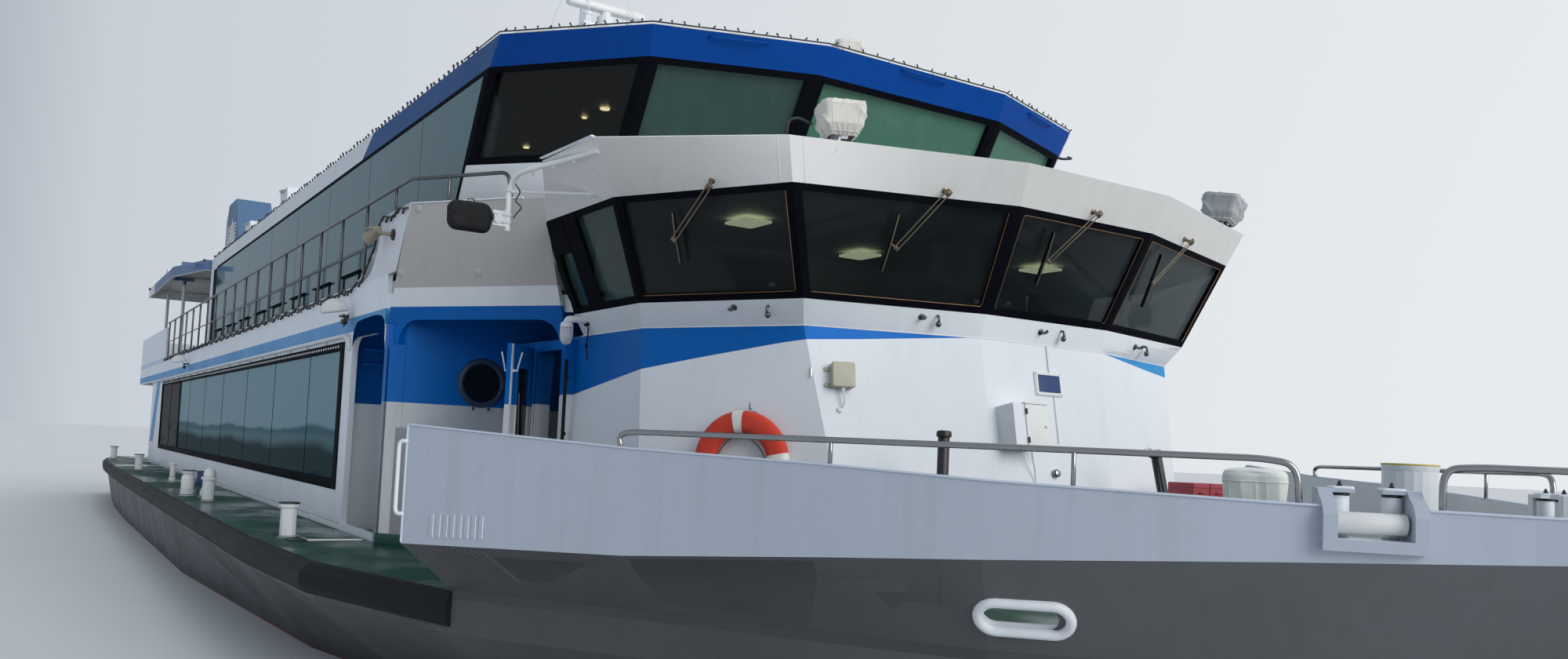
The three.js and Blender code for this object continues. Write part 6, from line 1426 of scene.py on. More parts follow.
def make_tower_fittings():
    """Junction box, cabinet, blank sign, bolt heads, seam line, washers under the sill and dark posts."""
    box_face, front = Facet("base", "sill", 2), Facet("base", "sill", 3)
    place = box_face.frame_at((13.776, -1.769, 2.70), 0.002)
    shapes = [turned(pad(0.17, 0.184, 0.058, 0.012, 0.006), off(place, 0, 0, 0.0005)),
              turned(pad(0.176, 0.190, 0.026, 0.014, 0.008), off(place, 0, 0, 0.060)),
              turned(pad(0.06, 0.03, 0.014, 0.006, 0.003), off(place, -0.10, 0.05)),
              turned(pad(0.06, 0.03, 0.014, 0.006, 0.003), off(place, -0.10, -0.07))]
    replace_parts(put("junction_box_case", joined(shapes), "cream"), "junction_box")
    lead = smooth_path([(0.0, -0.09, 0.05), (0.0, -0.13, 0.05), (0.014, -0.17, 0.045), (0.008, -0.22, 0.03),
                        (-0.012, -0.25, 0.004)], 20)
    gland = lathe([(0.016, 0), (0.016, 0.02), (0.010, 0.03)], 10)
    put("junction_box_lead", joined([turned(tube(lead, 0.008, 8, up=(1, 0, 0)), place),
                                     turned(turned(gland,
                                                   ((0, -0.085, 0.05), np.array([[1, 0, 0], [0, 0, 1], [0, -1, 0.0]]))),
                                            place),
                                     turned(lathe([(0.022, 0), (0.022, 0.012), (0.010, 0.02)], 12),
                                            off(place, -0.012, -0.25))]),
        "lamp_white", angle=50)
    place = front.frame_at((14.185, -0.344, 2.375), 0.002)
    shapes = [turned(pad(0.226, 0.334, 0.010, 0.012, 0.005), off(place, 0, 0, 0.190)),
              turned(pad(0.250, 0.016, 0.205, 0.006, 0.003), off(place, 0, 0.176))]
    shapes.append(turned(lathe([(0.013, 0), (0.013, 0.010), (0.006, 0.014)], 14),
                         off(place, 0.085, 0, 0.199)))
    hinges = [turned(pad(0.014, 0.045, 0.014, 0.004, 0.002), off(place, -0.108, dy, 0.196))
              for dy in (-0.11, 0.11)]
    put("cabinet_hinges", joined(hinges), "plastic_black")
    put("cabinet_door", joined(shapes), "lamp_white")
    cable = smooth_path([(0.02, -0.17, 0.09), (0.02, -0.22, 0.09), (0.06, -0.28, 0.06), (0.10, -0.38, 0.02),
                         (0.10, -0.50, 0.012), (0.08, -0.62, 0.012)], 24)
    put("cabinet_cable", turned(tube(cable, 0.006, 8, up=(1, 0, 0)), place), "lamp_white", angle=60)
    place = front.frame_at((14.114, 0.017, 2.759), 0.002)
    put("sign_frame", joined([turned(pad(0.284, 0.184, 0.004, 0.006, 0.002), off(place, 0, 0, 0.014)),
                              turned(tube([(0.02, 0.09, 0.010), (0.02, 0.31, 0.010)], 0.005, 8), place),
                              turned(tube([(0.05, -0.09, 0.010), (0.05, -0.48, 0.010)], 0.004, 8), place),
                              *[turned(lathe([(0.009, 0), (0.009, 0.004), (0.005, 0.006)], 8),
                                       off(place, u, v, 0.018))
                                for u in (-0.132, 0.132) for v in (-0.082, 0.082)]]), "lamp_white")
    put("sign_face", turned(pad(0.238, 0.140, 0.003, 0.004, 0.0015, back=-0.001), off(place, 0, 0, 0.018)),
        "sign_blue")
    knob = lathe([(0.016, 0), (0.030, 0.01), (0.034, 0.03), (0.026, 0.045), (0.008, 0.05)], 20)
    marks = [turned(knob, front.frame_at((14.245, -0.01, 2.054)))]
    mark = pad(0.012, 0.075, 0.006, 0.005, 0.002)
    marks.append(turned(mark, box_face.frame_at((13.704, -1.984, 2.721), 0.002)))
    lever = tube([(14.80, 0.47, 2.27), (14.80, 0.40, 2.29), (14.80, 0.36, 2.25)], 0.008, 8, 0.02)
    put("post_lever", lever, "lamp_white", angle=50)
    put("tower_knobs", joined(marks), "steel")
    # Weld line at the sill and a lip above it, round all the facets.
    sill = facet_ring("sill")[1:-1]
    outline = np.array([sill[0] - [1.2, 0, 0], *sill, sill[-1] - [1.2, 0, 0]])
    put("sill_seam", sweep(outline, rounded_rectangle(0.012, 0.010, 0.004, 2), up=(0, 0, 1)), "white",
        angle=50)
    # Window washers: a bent pipe with a nozzle, and a small lamp.
    nozzle = joined([tube([(0, 0, 0.0), (0, 0, 0.05), (0.0, 0.03, 0.075)], 0.012, 10, 0.02),
                     lathe([(0.026, 0), (0.026, 0.008), (0.016, 0.014)], 14)])
    bulb = joined([tube([(0, 0, 0), (0, 0, 0.035), (0, -0.03, 0.05)], 0.010, 8, 0.02),
                   turned(lathe([(0.010, 0), (0.022, -0.012), (0.020, -0.036), (0.008, -0.045)], 14),
                          ((0, -0.03, 0.05), np.array([[1, 0, 0], [0, 0, -1], [0, 1, 0.0]])))])
    shapes = []
    for index, points in ((1, ((13.177, -2.356, 3.20), (13.451, -2.221, 3.205))),
                          (2, ((13.994, -1.183, 3.175), (14.023, -1.06, 3.20))),
                          (3, ((14.103, -0.06, 3.17), (14.104, 0.16, 3.20))),
                          (4, ((13.935, 1.22, 3.18), (13.891, 1.37, 3.205))),
                          (5, ((13.177, 2.356, 3.20), (13.451, 2.221, 3.205)))):
        facet = Facet("sill", "window_low", index)
        shapes.append(turned(nozzle, facet.frame_at(points[0])))
        shapes.append(turned(bulb, facet.frame_at(points[1])))
    put("window_washers", joined(shapes), "dull_steel", angle=50)
    posts = []
    for foot, top in (((14.62, -1.48, DECK_Z), (14.62, -1.48, 2.30)), ((14.80, 0.86, DECK_Z), (14.80, 0.50, 2.24))):
        foot, top = np.array(foot), np.array(top)
        posts.append(tube([foot + (top - foot) * 0.02, foot + (top - foot) * 1.006], 0.0408, 18))
        cap = lathe([(0.041, 0), (0.052, 0.006), (0.054, 0.03), (0.046, 0.046), (0.02, 0.05)], 20)
        posts.append(facing(cap, top - [0, 0, 0.02], top - foot, (1, 0, 0)))
        posts.append(facing(lathe([(0.10, 0), (0.10, 0.012), (0.06, 0.02)], 20), foot, (0, 0, 1)))
    put("foredeck_posts", joined(posts), "plastic_black", angle=45)


def window_seals(low, high, facets, side, rail, name, copper, pitch=0.09):
    """A thin copper line round each pane and a row of bolt heads along the black frame's edges."""
    lines, bolts = [], []
    head = lathe([(0.0065, 0), (0.0065, 0.003), (0.004, 0.004)], 6)
    for index in facets:
        facet = Facet(low, high, index)
        inner = facet.inner(side, rail, rail) + facet.out * 0.001
        if index in copper:
            path = inner[:3] if index < 3 else [*inner, inner[0], inner[1]]
            lines.append(sweep(rounded_path(path, 0.02, 3)[1:-1] if index >= 3 else rounded_path(path, 0.02, 3),
                               rounded_rectangle(0.0045, 0.004, 0.0015, 1), up=facet.out))
        edge = facet.inner(side * 0.5, rail * 0.5, rail * 0.5)
        for a, b in zip(edge, np.roll(edge, -1, 0)):
            count = max(2, int(np.linalg.norm(b - a) / pitch))
            for share in np.linspace(0, 1, count, endpoint=False):
                bolts.append(standing(a + (b - a) * share, facet.out))
    if lines:
        put(f"{name}_seal", joined(lines), "seal", smooth=False)
    put(f"{name}_bolts", repeated(head, bolts), "black", smooth=False)


def make_window_seals():
    window_seals("window_low", "window_high", range(1, 6), 0.062, 0.058, "bridge_window", (1, 2, 3, 4, 5))
    # The side window's broad mullion, the cover above its aft pane and the frame's ragged aft edge.
    side = Facet("window_low", "window_high", 0)
    plates = [facet_plate(side, [(0.285, 0.02), (0.500, 0.02), (0.412, 0.985), (0.215, 0.985)]),
              facet_plate(side, [(-0.036, 0.64), (0.25, 0.62), (0.25, 0.99), (-0.015, 0.99)]),
              facet_plate(side, [(0.045, 0.0), (0.09, 0.03), (0.075, 0.20), (0.015, 0.52), (0.02, 0.68), (-0.036, 0.77),
                                 (-0.048, 0.48), (-0.012, 0.19)], 0.002)]
    put_pair("side_window_plates", joined(plates), "black", smooth=False)


def make_wipers():
    """Twin-arm wipers: two bars from a pivot on the visor to a clamp on the blade, and the blade with its
    spine and rubber."""
    arms, blades = [], []
    places = (
        (1, (13.431, -2.739, 4.064), (12.962, -2.751, 3.704), (13.021, -2.819, 3.883), (12.919, -2.678, 3.533)),
        (2, (14.348, -1.324, 4.068), (14.062, -1.561, 3.676), (14.143, -1.601, 3.901), (13.979, -1.603, 3.50)),
        (3, (14.542, 0.008, 4.084), (14.350, -0.303, 3.699), (14.450, -0.330, 3.894), (14.256, -0.311, 3.514)),
        (4, (14.349, 1.333, 4.075), (14.260, 0.996, 3.690), (14.369, 1.004, 3.907), (14.143, 1.050, 3.491)),
    )
    for index, pivot, joint, top, foot in places:
        pane, brow = Facet("window_low", "window_high", index), Facet("window_high", "visor", index)
        lift = pane.out * 0.055
        hub, axes = brow.frame_at(pivot)
        stub = hub + brow.out * 0.07
        arms.append(turned(lathe([(0.024, 0), (0.024, 0.008), (0.014, 0.014), (0.012, 0.07), (0.016, 0.074),
                                  (0.016, 0.090), (0.008, 0.094)], 16), (hub, axes)))
        on = lambda p: pane.frame_at(p)[0]
        clamp = on(joint) + lift
        across = np.cross(pane.out, clamp - stub)
        across /= np.linalg.norm(across)
        knee = stub + (clamp - stub) * 0.5
        for shift in (-0.017, 0.017):
            arms.append(sweep(np.array([stub, knee, clamp]) + across * shift, rounded_rectangle(0.010, 0.007, 0.002, 2),
                              up=pane.out))
        arms.append(facing(pad(0.046, 0.030, 0.016, 0.008, 0.003), clamp - pane.out * 0.01, pane.out, clamp - stub))
        arms.append(facing(pad(0.046, 0.050, 0.018, 0.008, 0.003), stub - pane.out * 0.004, pane.out, clamp - stub))
        a, b = on(top), on(foot)
        spine = sweep([a + pane.out * 0.03, a + (b - a) * 0.5 + pane.out * 0.042, b + pane.out * 0.03],
                      rounded_rectangle(0.010, 0.007, 0.003, 2), up=pane.out)
        edge = sweep([a + pane.out * 0.014, b + pane.out * 0.014], rounded_rectangle(0.008, 0.026, 0.002, 2),
                     up=pane.out)
        arms += [spine, tube([clamp, a + (b - a) * 0.5 + pane.out * 0.03], 0.008, 8)]
        blades.append(edge)
    put("wiper_arms", joined(arms), "wiper", angle=45)
    put("wiper_blades", joined(blades), "rubber", smooth=False)


def side_bar(x0, x1, z0, z1, depth, y=-SIDE_Y, radius=0.006):
    """A bevelled bar on the starboard side's outer face, between two places and two heights."""
    return facing(pad(x1 - x0, z1 - z0, depth, radius, 0.004), ((x0 + x1) / 2, y, (z0 + z1) / 2), (0, -1, 0))


def make_saloon_windows():
    """Black frame, mullions and joints of the mirror panes, the dark aft panel, the strip and the gutter."""
    low, high, aft, fore = 1.535, 3.075, -11.6, 7.36
    frame_bars = [side_bar(aft - 0.06, fore + 0.05, low - 0.045, low + 0.06, 0.030, y=-3.846),
                  side_bar(fore - 0.13, fore + 0.05, low - 0.045, high + 0.02, 0.034, y=-3.846),
                  side_bar(aft - 0.06, aft + 0.06, low - 0.045, high + 0.02, 0.030, y=-3.846),
                  side_bar(-8.05, -7.88, low, high, 0.014, y=-3.848),
                  side_bar(-9.75, -9.68, low, high, 0.010, y=-3.848),
                  side_bar(aft - 0.06, fore + 0.05, high - 0.055, high + 0.035, 0.030, y=-3.846)]
    put_pair("saloon_frame", joined(frame_bars), "black", angle=50)
    put_pair("saloon_aft_film", side_bar(aft + 0.05, -8.02, low + 0.05, high - 0.05, 0.004, y=-3.8485, radius=0.001),
             "brown_film", smooth=False)
    joints = [side_bar(x - 0.009, x + 0.009, low + 0.05, high - 0.05, 0.003, y=-3.8482, radius=0.001)
              for x in (-6.28, -3.95, -1.61, 0.89, 3.23, 5.54)]
    put_pair("saloon_joints", joined(joints), "black", smooth=False)
    hole = pad(0.060, 0.026, 0.002, 0.012, 0.001)
    frames = [standing((x, -3.8758, high - 0.010), (0, -1, 0)) for x in np.arange(aft + 0.1, fore - 0.08, 0.125)]
    put_pair("saloon_strip_dots", repeated(hole, frames), "lamp_white", smooth=False)
    pipe = tube([(-13.9, -3.905, 3.162), (7.50, -3.905, 3.162), (7.66, -3.895, 3.13), (7.69, -3.890, 3.00)], 0.024, 12,
                0.07, up=(0, 1, 0.1))
    clip = pad(0.03, 0.070, 0.045, 0.004, 0.003)
    frames = [standing((x, -3.868, 3.145), (0, -1, 0)) for x in np.arange(-13.4, 7.3, 1.05)]
    put_pair("side_gutter", joined([pipe, repeated(clip, frames)]), "white", angle=50)
    put_pair("side_trim", side_bar(7.455, 7.475, 1.10, 3.14, 0.008), "white")
    put_pair("side_coaming", side_bar(-14.05, 7.72, 1.082, 1.15, 0.012), "deck")


def make_deck_gear():
    """Vent heads, capped pipes and a box on the side decks, caps of the side bollards, the boarding tread."""
    def stand(profile, x, y, count=24):
        return placed(lathe(profile, count), (x, y, DECK_Z))

    white, green = [], []
    for x, y, height, r in ((-2.46, -4.45, 0.35, 0.044), (-2.01, -4.20, 0.26, 0.040)):
        white.append(stand([(r, 0), (r, height - r), (r * 1.3, height - r * 0.9), (r * 1.35, height - r * 0.3),
                            (r * 0.8, height), (r * 0.1, height * 1.01)], x, y))
    white.append(stand([(0.085, 0.10), (0.085, 0.27), (0.070, 0.30), (0.02, 0.31)], 1.65, -4.667, 28))
    white.append(stand([(0.040, 0.03), (0.040, 0.11), (0.030, 0.135), (0.01, 0.14)], 1.99, -4.49))
    white.append(tube([(3.0, -4.56, 1.36), (3.0, -4.56, 1.47), (2.80, -4.52, 1.47), (2.80, -4.52, 1.24)], 0.072, 18,
                      0.10))
    for x, y, r in ((1.65, -4.667, 0.09), (1.99, -4.49, 0.05), (-2.46, -4.45, 0.055), (-2.01, -4.20, 0.05)):
        green.append(stand([(r + 0.02, 0.001), (r + 0.02, 0.015), (r, 0.025), (r, 0.10), (r - 0.012, 0.105)], x, y))
    put_pair("deck_vents", joined(white), "lamp_white", angle=45)
    put_pair("deck_vent_bases", joined(green), "deck", angle=45)
    box = [placed(pad(0.14, 0.22, 0.19, 0.01, 0.006), (-2.1, -3.99, 1.10)),
           placed(pad(0.16, 0.24, 0.025, 0.012, 0.006), (-2.1, -3.99, 1.285))]
    put_pair("deck_box", joined(box), "sign_blue")
    cap = lathe([(0.0960, 1.411), (0.0988, 1.413), (0.0988, 1.4245), (0.096, 1.4262), (0.01, 1.4265)], 28)
    frames = [((x, -4.56, 0.0), UPRIGHT) for x in (-15.4, -7.8, 0.8, 3.0, 8.65)]
    put_pair("bollard_caps", repeated(cap, [f for f in frames if f[0][0] != 3.0]), "plastic_black", angle=40)
    foot = lathe([(0.105, 1.081), (0.105, 1.088), (0.085, 1.094), (0.0755, 1.11)], 28)
    put_pair("bollard_feet", repeated(foot, frames), "deck", angle=40)
    plate = [facing(pad(0.94, 0.07, 0.006, 0.004, 0.002), (8.50, -4.13 - 0.062 * k, 1.0835), (0, 0, 1), (0, 1, 0))
             for k in range(8)]
    put_pair("boarding_tread", joined(plate), "tread", smooth=False)
    skirt = sweep([(9.23, -3.885, 1.13), (9.23, -3.885, 1.13) + np.array([0.8349, 0.5505, 0]) * 0.55],
                  rounded_rectangle(0.012, 0.10, 0.004, 2), up=(0, 0, 1))
    put_pair("wall_skirt", skirt, "skirt")


def make_side_lamps():
    """Fascia lamps in bent brackets and the floodlights on the parapet's fore edge."""
    shapes, brackets = [], []
    for x in (7.62, -6.66):
        dish = lathe([(0.02, 0.0), (0.125, 0.0), (0.142, 0.008), (0.147, 0.024), (0.140, 0.060), (0.118, 0.100),
                      (0.080, 0.132), (0.035, 0.148), (0.01, 0.150)], 36)
        shapes.append(facing(dish, (x + 0.02, -4.045, 3.395), (0.06, -0.22, 1.0), (1, 0, 0)))
        brackets.append(tube([(x - 0.16, -3.872, 3.375), (x - 0.16, -3.96, 3.375), (x + 0.12, -3.965, 3.365),
                              (x + 0.12, -3.965, 3.27), (x - 0.02, -3.94, 3.26)], 0.013, 8, 0.03))
        brackets.append(facing(pad(0.09, 0.05, 0.055, 0.008, 0.004), (x + 0.06, -3.93, 3.30), (0, -1, 0)))
        brackets.append(facing(pad(0.10, 0.06, 0.010, 0.006, 0.003), (x - 0.16, -3.870, 3.375), (0, -1, 0)))
    put_pair("fascia_lamps", joined(shapes), "lamp_white", angle=50)
    put_pair("fascia_lamp_brackets", joined(brackets), "plastic_black", angle=50)
    flange = facing(lathe([(0.056, 0), (0.056, 0.014), (0.046, 0.020), (0.02, 0.022)], 24),
                    (9.16, -3.872, 4.062), (0, -1, 0))
    arm = tube([(9.16, -3.89, 4.062), (9.10, -3.955, 4.075), (8.93, -3.985, 4.115)], 0.020, 12, 0.05)
    head = lathe([(0.010, -0.105), (0.036, -0.100), (0.050, -0.078), (0.055, -0.02), (0.060, 0.035), (0.069, 0.075),
                  (0.071, 0.088), (0.061, 0.092), (0.01, 0.088)], 32)
    body = facing(head, (8.86, -3.995, 4.09), (-0.72, -0.30, -0.42))
    yoke = [tube([(8.93, -3.985, 4.115), (8.93, -4.04, 4.15), (8.88, -4.075, 4.12)], 0.010, 8, 0.03),
            tube([(8.93, -3.985, 4.115), (8.89, -3.92, 4.13), (8.86, -3.915, 4.09)], 0.010, 8, 0.03)]
    put_pair("floodlight_flange", flange, "plastic_black", angle=40)
    put_pair("floodlight", joined([arm, body, *yoke]), "khaki", angle=45)


def make_string_lights():
    """Dark wires clipped along the parapet, the curb and the roof's edge, with small bulbs."""
    roof = facet_ring("lounge_roof")
    side_y = -SIDE_Y - 0.014
    runs = [([(-11.5, side_y, 3.70), (7.60, side_y, 3.70), (8.02, side_y, 3.75), (8.30, side_y, 3.90),
              (8.50, side_y, 4.10),
              (8.62, side_y, 4.26), (8.80, side_y, 4.30), (9.68, side_y, 4.30)], 0.62, 0.045, -1),
            ([(-7.40, -3.44, 5.74), (10.2, -3.44, 5.735)], 0.80, 0.030, 1),
            ([(-15.35, -4.03, 5.74), (-7.6, -3.60, 5.74)], 0.70, 0.03, -1)]
    wires, bulbs = [], []
    bulb = lathe([(0.004, 0), (0.011, 0.005), (0.012, 0.016), (0.008, 0.028), (0.014, 0.040), (0.012, 0.056),
                  (0.003, 0.064)], 6)
    for corners, pitch, droop, way in runs:
        corners = np.array(corners, float)
        length = np.concatenate([[0], np.cumsum(np.linalg.norm(np.diff(corners, axis=0), axis=1))])
        along = np.arange(0, length[-1], 0.05)
        path = np.stack([np.interp(along, length, corners[:, i]) for i in range(3)], -1)
        sway = np.abs(np.sin(along * np.pi / pitch + 0.4 * np.sin(along * 0.9)))
        path[:, 2] -= droop * sway
        path[:, 1] -= 0.006 * np.sin(along * 9.0)
        wires.append(tube(path, 0.0095, 6, up=(0, 1, 0.01), ends=False))
        every = path[2::3]
        tilt = np.sin(np.arange(len(every)) * 2.1) * 0.35
        for point, lean in zip(every, tilt):
            bulbs.append(standing(point, (lean, -0.25, way)) if way > 0 else standing(point, (lean, -0.3, -1.0)))
    front = roof[1:-1] + np.array([0, 0, 0.022])
    eaves = np.concatenate([[front[0] - [1.0, 0, 0]], front, [front[-1] - [1.0, 0, 0]]])
    wires.append(tube(eaves, 0.0065, 6, up=(0, 0, 1)))
    small = []
    for a, b in zip(front[:-1], front[1:]):
        for share in np.arange(0.03, 1, 0.075):
            small.append(standing(a + (b - a) * share, (0.5 * math.sin(share * 40), 0.9 * math.sin(share * 61), 1)))
    put("string_wires", joined([*wires, *[mirrored(w) for w in wires[:3]]]), "plastic_black", angle=70)
    lit = joined([repeated(bulb, bulbs), repeated((bulb[0] * 0.62, bulb[1]), small)])
    put("string_bulbs", lit, "plastic_black", angle=70)
    dash = []
    section = rounded_rectangle(0.022, 0.014, 0.006, 3)
    for a, b in zip(roof[1:-2], roof[2:-1]):
        direction = (b - a) / np.linalg.norm(b - a)
        across = np.array([direction[1], -direction[0], 0])
        for start in np.arange(0.15, np.linalg.norm(b - a) - 0.5, 0.52):
            first = a + direction * start + across * -0.002 + [0, 0, 0.004]
            dash.append(sweep([first, first + direction * 0.40], section, up=(0, 0, 1)))
    put("roof_light_tubes", joined(dash), "lamp_white", angle=50)


def make_lounge_trim():
    """Flush mirror panes along the lounge's sides, the dark sill below them with its bench backs, grips on the
    blue band, bolts, and the lamps under the ceilings."""
    joints = np.array([-6.55, -4.412, -2.305, -0.121, 2.037, 4.193, 6.333, 8.48])
    y = -3.4715
    panes = [facing(pad(b - a - 0.016, 1.555, 0.004, 0.002, 0.001), ((a + b) / 2, y, 4.6425), (0, -1, 0))
             for a, b in zip(joints[:-1], joints[1:])]
    fore = np.array([(8.488, 3.865), (9.47, 3.865), (10.38, 5.42), (8.488, 5.42)])
    panes.append(loft([np.stack([fore[:, 0], np.full(4, y - d), fore[:, 1]], -1) for d in (0.0, 0.004)]))
    put_pair("lounge_side_panes", joined(panes), "lounge_side", smooth=False)
    backing = [facing(pad(10.4 - (-6.6), 1.60, 0.0009, 0.002, 0.0004), (1.44, -3.4703, 4.64), (0, -1, 0))]
    backing[0][0][:, 0] -= np.where(backing[0][0][:, 0] > 9.0, (5.44 - backing[0][0][:, 2]) * 0.585, 0)
    sill = [side_bar(-6.5, 9.3, 3.795, 3.862, 0.012, y=-3.4705)]
    bar = joined([facing(pad(1.05, 0.022, 0.030, 0.008, 0.005), (0, -3.485, 4.060), (0, -1, 0)),
                  facing(pad(0.020, 0.20, 0.012, 0.005, 0.003), (-0.40, -3.478, 3.965), (0, -1, 0)),
                  facing(pad(0.020, 0.20, 0.012, 0.005, 0.003), (0.40, -3.478, 3.965), (0, -1, 0))])
    benches = repeated(bar, [((x, 0, 0), UPRIGHT) for x in np.arange(-5.6, 7.5, 1.62)])
    put_pair("lounge_sill_bars", joined([*backing, *sill, benches]), "black", angle=50)
    window_seals("lounge_sill", "lounge_head", range(1, 6), 0.088, 0.060, "lounge_window", (), 0.11)
    head = lathe([(0.010, 0), (0.010, 0.003), (0.004, 0.006)], 6)
    frames = [standing((x, -3.4705, 5.448), (0, -1, 0)) for x in np.arange(-6.4, 9.8, 0.17)]
    put_pair("lounge_side_bolts", repeated(head, frames), "black", smooth=False)
    handles = []
    for index, start, end in ((2, (12.024, -2.059, 5.674), (12.205, -1.564, 5.677)), (3, (12.394, -0.238, 5.688),
                                                                                      (12.39, 0.306, 5.679)),
                              (4, (12.205, 1.564, 5.677), (12.024, 2.059, 5.674))):
        band = Facet("lounge_head", "lounge_roof", index)
        a, b = (band.frame_at(p)[0] for p in (start, end))
        off = band.out * 0.045
        handles.append(tube([a, a + off + (b - a) * 0.06, b + off - (b - a) * 0.06, b], 0.010, 10, 0.05))
    put("roof_grips", joined(handles), "blue", angle=50)
    points, faces = lathe([(0.050, 0), (0.047, -0.010), (0.02, -0.013)], 24)
    lamps = [placed((points * [size, size, 1], faces), (x, y, 5.462))
             for x, y, size in ((10.05, -2.12, 1.0), (9.61, -2.15, 0.55), (7.99, -2.16, 0.7), (9.8, 0.2, 1.0),
                                (8.0, 0.2, 1.0))]
    put("lounge_ceiling_lamps", joined(lamps), "ceiling_lamp", angle=40)
    panels = [placed(pad(0.34, 0.26, 0.020, 0.02, 0.006), (x, y, 3.975))
              for x, y in ((12.62, -1.93), (12.03, -0.345), (12.69, 1.33))]
    put("wheelhouse_ceiling_lamps", joined(panels), "panel_lamp", angle=40)


def make_visor_trim():
    """Joints of the visor's plates, small bosses and hoods on its faces, the white flange along its aft top."""
    shapes = []
    for index, share in ((2, 0.055), (4, 0.88), (1, 0.94), (5, 0.12)):
        face = Facet("window_high", "visor", index)
        low, high = face.point(share, 0.02, 0.003), face.point(share, 0.985, 0.003)
        shapes.append(sweep([low, high], rounded_rectangle(0.006, 0.004, 0.0015, 2), up=face.out))
    put("visor_joints", joined(shapes), "visor", smooth=False)
    face = Facet("window_high", "visor", 3)
    origin, axes = face.frame_at((14.67, -0.48, 4.39))
    loop = tube([(-0.05, 0.0, 0.0), (-0.05, 0.0, 0.05), (0.05, 0.02, 0.05), (0.05, 0.02, 0.0)], 0.009, 10, 0.03)
    put("visor_loop", turned(loop, (origin, axes)), "plastic_black", angle=50)
    latch = pad(0.05, 0.026, 0.016, 0.006, 0.003)
    latches = [turned(latch, Facet("window_low", "window_high", i).frame_at(p)) for i, p in
               ((1, (13.553, -2.26, 3.35)), (3, (14.125, -0.822, 3.35)), (3, (14.179, -0.509, 3.35)))]
    put("window_latches", joined(latches), "plastic_black", slot="window_black", angle=40)
    flange = [sweep([(12.03, -3.505, 4.352), (13.02, -3.505, 4.334)],
                    rounded_rectangle(0.030, 0.010, 0.004, 2), up=(0, 0, 1)),
              sweep([(12.07, -3.500, 4.318), (13.06, -3.500, 4.314)], rounded_rectangle(0.024, 0.012, 0.004, 2),
                    up=(0, 0, 1))]
    put_pair("visor_flange", joined(flange), "white", angle=50)


def make_mast_gear():
    """Smooth pole, stays, whips, lamps and the radar's rounded arm."""
    pole = lathe([(0.0905, 5.76), (0.0905, 9.0), (0.075, 9.6), (0.0905, 9.62), (0.0905, 9.68), (0.07, 9.7)], 32)
    stays = []
    top = np.array([4.3, 0, 9.95])
    for foot in ((2.47, -0.9, 5.75), (2.47, 0.9, 5.75), (6.9, -0.95, 5.75), (6.9, 0.95, 5.75)):
        stays.append(tube([top, foot], 0.007, 6))
        stays.append(placed(lathe([(0.03, 0), (0.03, 0.01), (0.012, 0.03)], 12), np.array(foot) - [0, 0, 0.035]))
    for y in (-1.25, -0.85, 0.85, 1.25):
        stays.append(tube([(4.3, y, 9.30), (4.3, y, 10.3 if abs(y) > 1 else 9.85)], 0.009, 8))
        stays.append(placed(lathe([(0.03, 0), (0.045, 0.02), (0.045, 0.10), (0.02, 0.13)], 16), (4.3, y, 9.31)))
    lamp_body = lathe([(0.05, 0), (0.07, 0.01), (0.07, 0.05), (0.055, 0.06), (0.055, 0.14), (0.07, 0.15), (0.06, 0.19),
                       (0.01, 0.2)], 24)
    lamps = [placed(lamp_body, (5.18, y, 8.12)) for y in (-0.34, 0.34)]
    lamps.append(placed(lamp_body, (4.42, 0, 9.05)))
    rungs = [tube([(4.20, -0.16, z), (4.20, 0.16, z)], 0.012, 8) for z in np.arange(6.1, 7.9, 0.3)]
    edge = sweep([(4.23, -0.41, 8.125), (5.25, -0.41, 8.125), (5.25, 0.41, 8.125), (4.23, 0.41, 8.125)],
                 rounded_rectangle(0.02, 0.05, 0.006), up=(0, 0, 1), closed=True)
    put("mast_gear", joined([placed(pole, (4.3, 0, 0)), *stays, *lamps, *rungs, edge]), "white",
        angle=45)
    arm = rounded_rectangle(0.168, 0.118, 0.045, 8)
    shape = sweep([(5.06, -0.598, 8.46), (5.06, -0.56, 8.46), (5.06, 0.56, 8.46), (5.06, 0.598, 8.46)], arm,
                  up=(0, 0, 1), scale=[0.8, 1.0, 1.0, 0.8])
    centre = (5.06, 0, 0)
    hub = placed(lathe([(0.078, 8.331), (0.079, 8.40), (0.05, 8.41)], 28), centre)
    scanner = put("radar_arm", joined([shape, hub]), "lamp_white", "radar", angle=45)
    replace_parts(scanner, "radar_scanner")
    base = lathe([(0.131, 8.12), (0.133, 8.16), (0.131, 8.30), (0.10, 8.325)], 32)
    put("radar_base", placed(base, centre), "lamp_white", angle=45)


